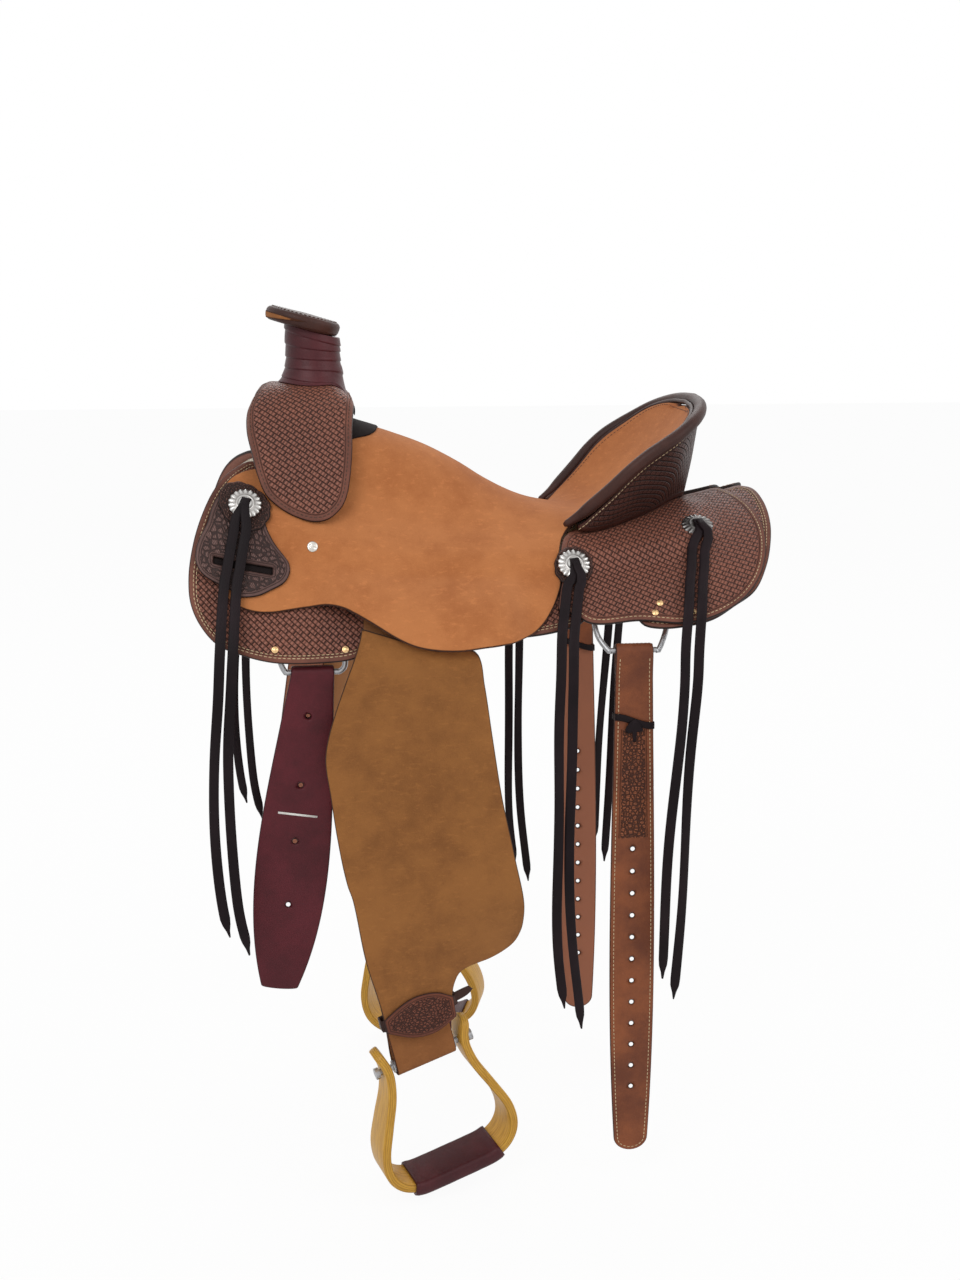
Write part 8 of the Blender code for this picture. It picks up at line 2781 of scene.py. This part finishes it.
@dataclass
class Tree:
    """Tree, ground seat, upper leathers and hardware that keep the frame's shapes."""

    rawhide: Tuple[str, ...] = ("tree_cantle", "near_tree_bar", "off_tree_bar")
    leather: Tuple[str, ...] = ("ground_seat", "near_upper_stirrup_leather", "off_upper_stirrup_leather")
    steel: Tuple[str, ...] = ("buckle_plate", "buckle_sleeve", "stirrup_bolt")

    def build(self) -> None:
        """Dress them."""
        dress_node("tree_fork", PLAIN_DARK)
        for name in self.rawhide:
            dress_node(name, RAWHIDE)
        for name in self.leather:
            dress_node(name, PLAIN_LOOP)
        for side in Side:
            for name in self.steel:
                dress_node(f"{side.value}_{name}", STEEL)


# Camera, light and floor

@dataclass
class Studio:
    """Camera, lamps and floor."""

    azimuth: float = -6.0
    elevation: float = 13.0
    distance: float = 1.95
    target: Tuple[float, float, float] = (0.0, 0.0, -0.10)
    focal: float = 1550.0
    image_height: float = 1280.0
    sensor: float = 36.0
    world: float = 0.62
    floor_drop: float = 0.012
    floor_half: float = 12.0
    floor_glow: float = 0.94
    lamps: Tuple[Tuple[float, float, float, float, float], ...] = (
        (-1.6, -2.6, 2.4, 1.8, 42.0), (2.4, -1.8, 1.6, 1.8, 22.0), (0.3, 2.6, 2.2, 2.2, 26.0),
    )

    def build_camera(self) -> None:
        """Set the camera at the photograph's angle."""
        data = bpy.data.cameras.new("camera")
        data.sensor_fit = "VERTICAL"
        data.sensor_height = self.sensor
        data.lens = self.focal / self.image_height * self.sensor
        camera = bpy.data.objects.new("camera", data)
        bpy.context.scene.collection.objects.link(camera)
        turn, rise = math.radians(self.azimuth), math.radians(self.elevation)
        away = Vector((math.sin(turn) * math.cos(rise), -math.cos(turn) * math.cos(rise), math.sin(rise)))
        camera.location = Vector(self.target) + away * self.distance
        camera.rotation_euler = (-away).to_track_quat("-Z", "Y").to_euler()
        bpy.context.scene.camera = camera

    def seen_share(self, nodes: NodeSheet) -> Socket:
        """1 for rays from the camera and for those that gloss and glass show."""
        camera = nodes.node("ShaderNodeLightPath", output="Is Camera Ray")
        return camera.larger(camera.output("Is Glossy Ray")).larger(camera.output("Is Transmission Ray"))

    def build_room(self, lowest: float) -> None:
        """Make floor, world and lamps.

        Args:
            lowest: Lowest point of the saddle.
        """
        mesh = bpy.data.meshes.new("floor")
        size, z = self.floor_half, lowest - self.floor_drop
        mesh.from_pydata([(-size, -size, z), (size, -size, z), (size, size, z), (-size, size, z)], [],
                         [(0, 1, 2, 3)])
        floor = bpy.data.objects.new("floor", mesh)
        bpy.context.scene.collection.objects.link(floor)
        floor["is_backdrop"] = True
        mesh.materials.append(self.floor_material())
        self.build_world()
        for k, (x, y, z_up, wide, power) in enumerate(self.lamps):
            light = bpy.data.lights.new(f"softbox_{k + 1}", "AREA")
            light.size = wide
            light.energy = power
            lamp = bpy.data.objects.new(light.name, light)
            lamp.location = (x, y, z_up)
            lamp.rotation_euler = (Vector(self.target) - lamp.location).to_track_quat("-Z", "Y").to_euler()
            bpy.context.scene.collection.objects.link(lamp)

    def floor_material(self) -> bpy.types.Material:
        """Pale ground that glows for the rays that are seen."""
        nodes = NodeSheet(bpy.data.materials.new("floor"))
        nodes.set({"Base Color": (0.86, 0.86, 0.86), "Roughness": 0.9, "Specular IOR Level": 0.1})
        glow = nodes.node("ShaderNodeEmission", None, {"Strength": 1.0})
        mixed = nodes.node("ShaderNodeMixShader", None, {0: self.seen_share(nodes) * self.floor_glow,
                                                         1: Socket(nodes, nodes.shader.outputs[0]), 2: glow})
        nodes.feed(nodes.tree.nodes["Material Output"].inputs["Surface"], mixed)
        return nodes.block

    def build_world(self) -> None:
        """White behind the saddle, plain soft light on it."""
        world = bpy.data.worlds.new("studio")
        bpy.context.scene.world = world
        nodes = NodeSheet(world, "Background")
        level_seen = nodes.node("ShaderNodeMapRange", None,
                                {"Value": self.seen_share(nodes), "To Min": self.world, "To Max": 1.0})
        nodes.set({"Color": (1.0, 1.0, 1.0), "Strength": level_seen})


def main() -> None:
    """Build every sub-assembly."""
    logging.basicConfig(level=logging.INFO, format="%(message)s")
    bpy.context.scene.view_settings.view_transform = "Standard"
    frame_box = [list(corner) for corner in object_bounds()]
    studio = Studio()
    studio.build_camera()
    parts = (Strings(), Skirts(), CANTLE, Seat(), Fork(), SILVERWARE, Rigging(), HANGING, Stirrup(), Tree())
    for part in parts:
        part.build()
        LOG.info("built %s", type(part).__name__)
    studio.build_room(frame_box[0][2])


if __name__ == "__main__":
    main()
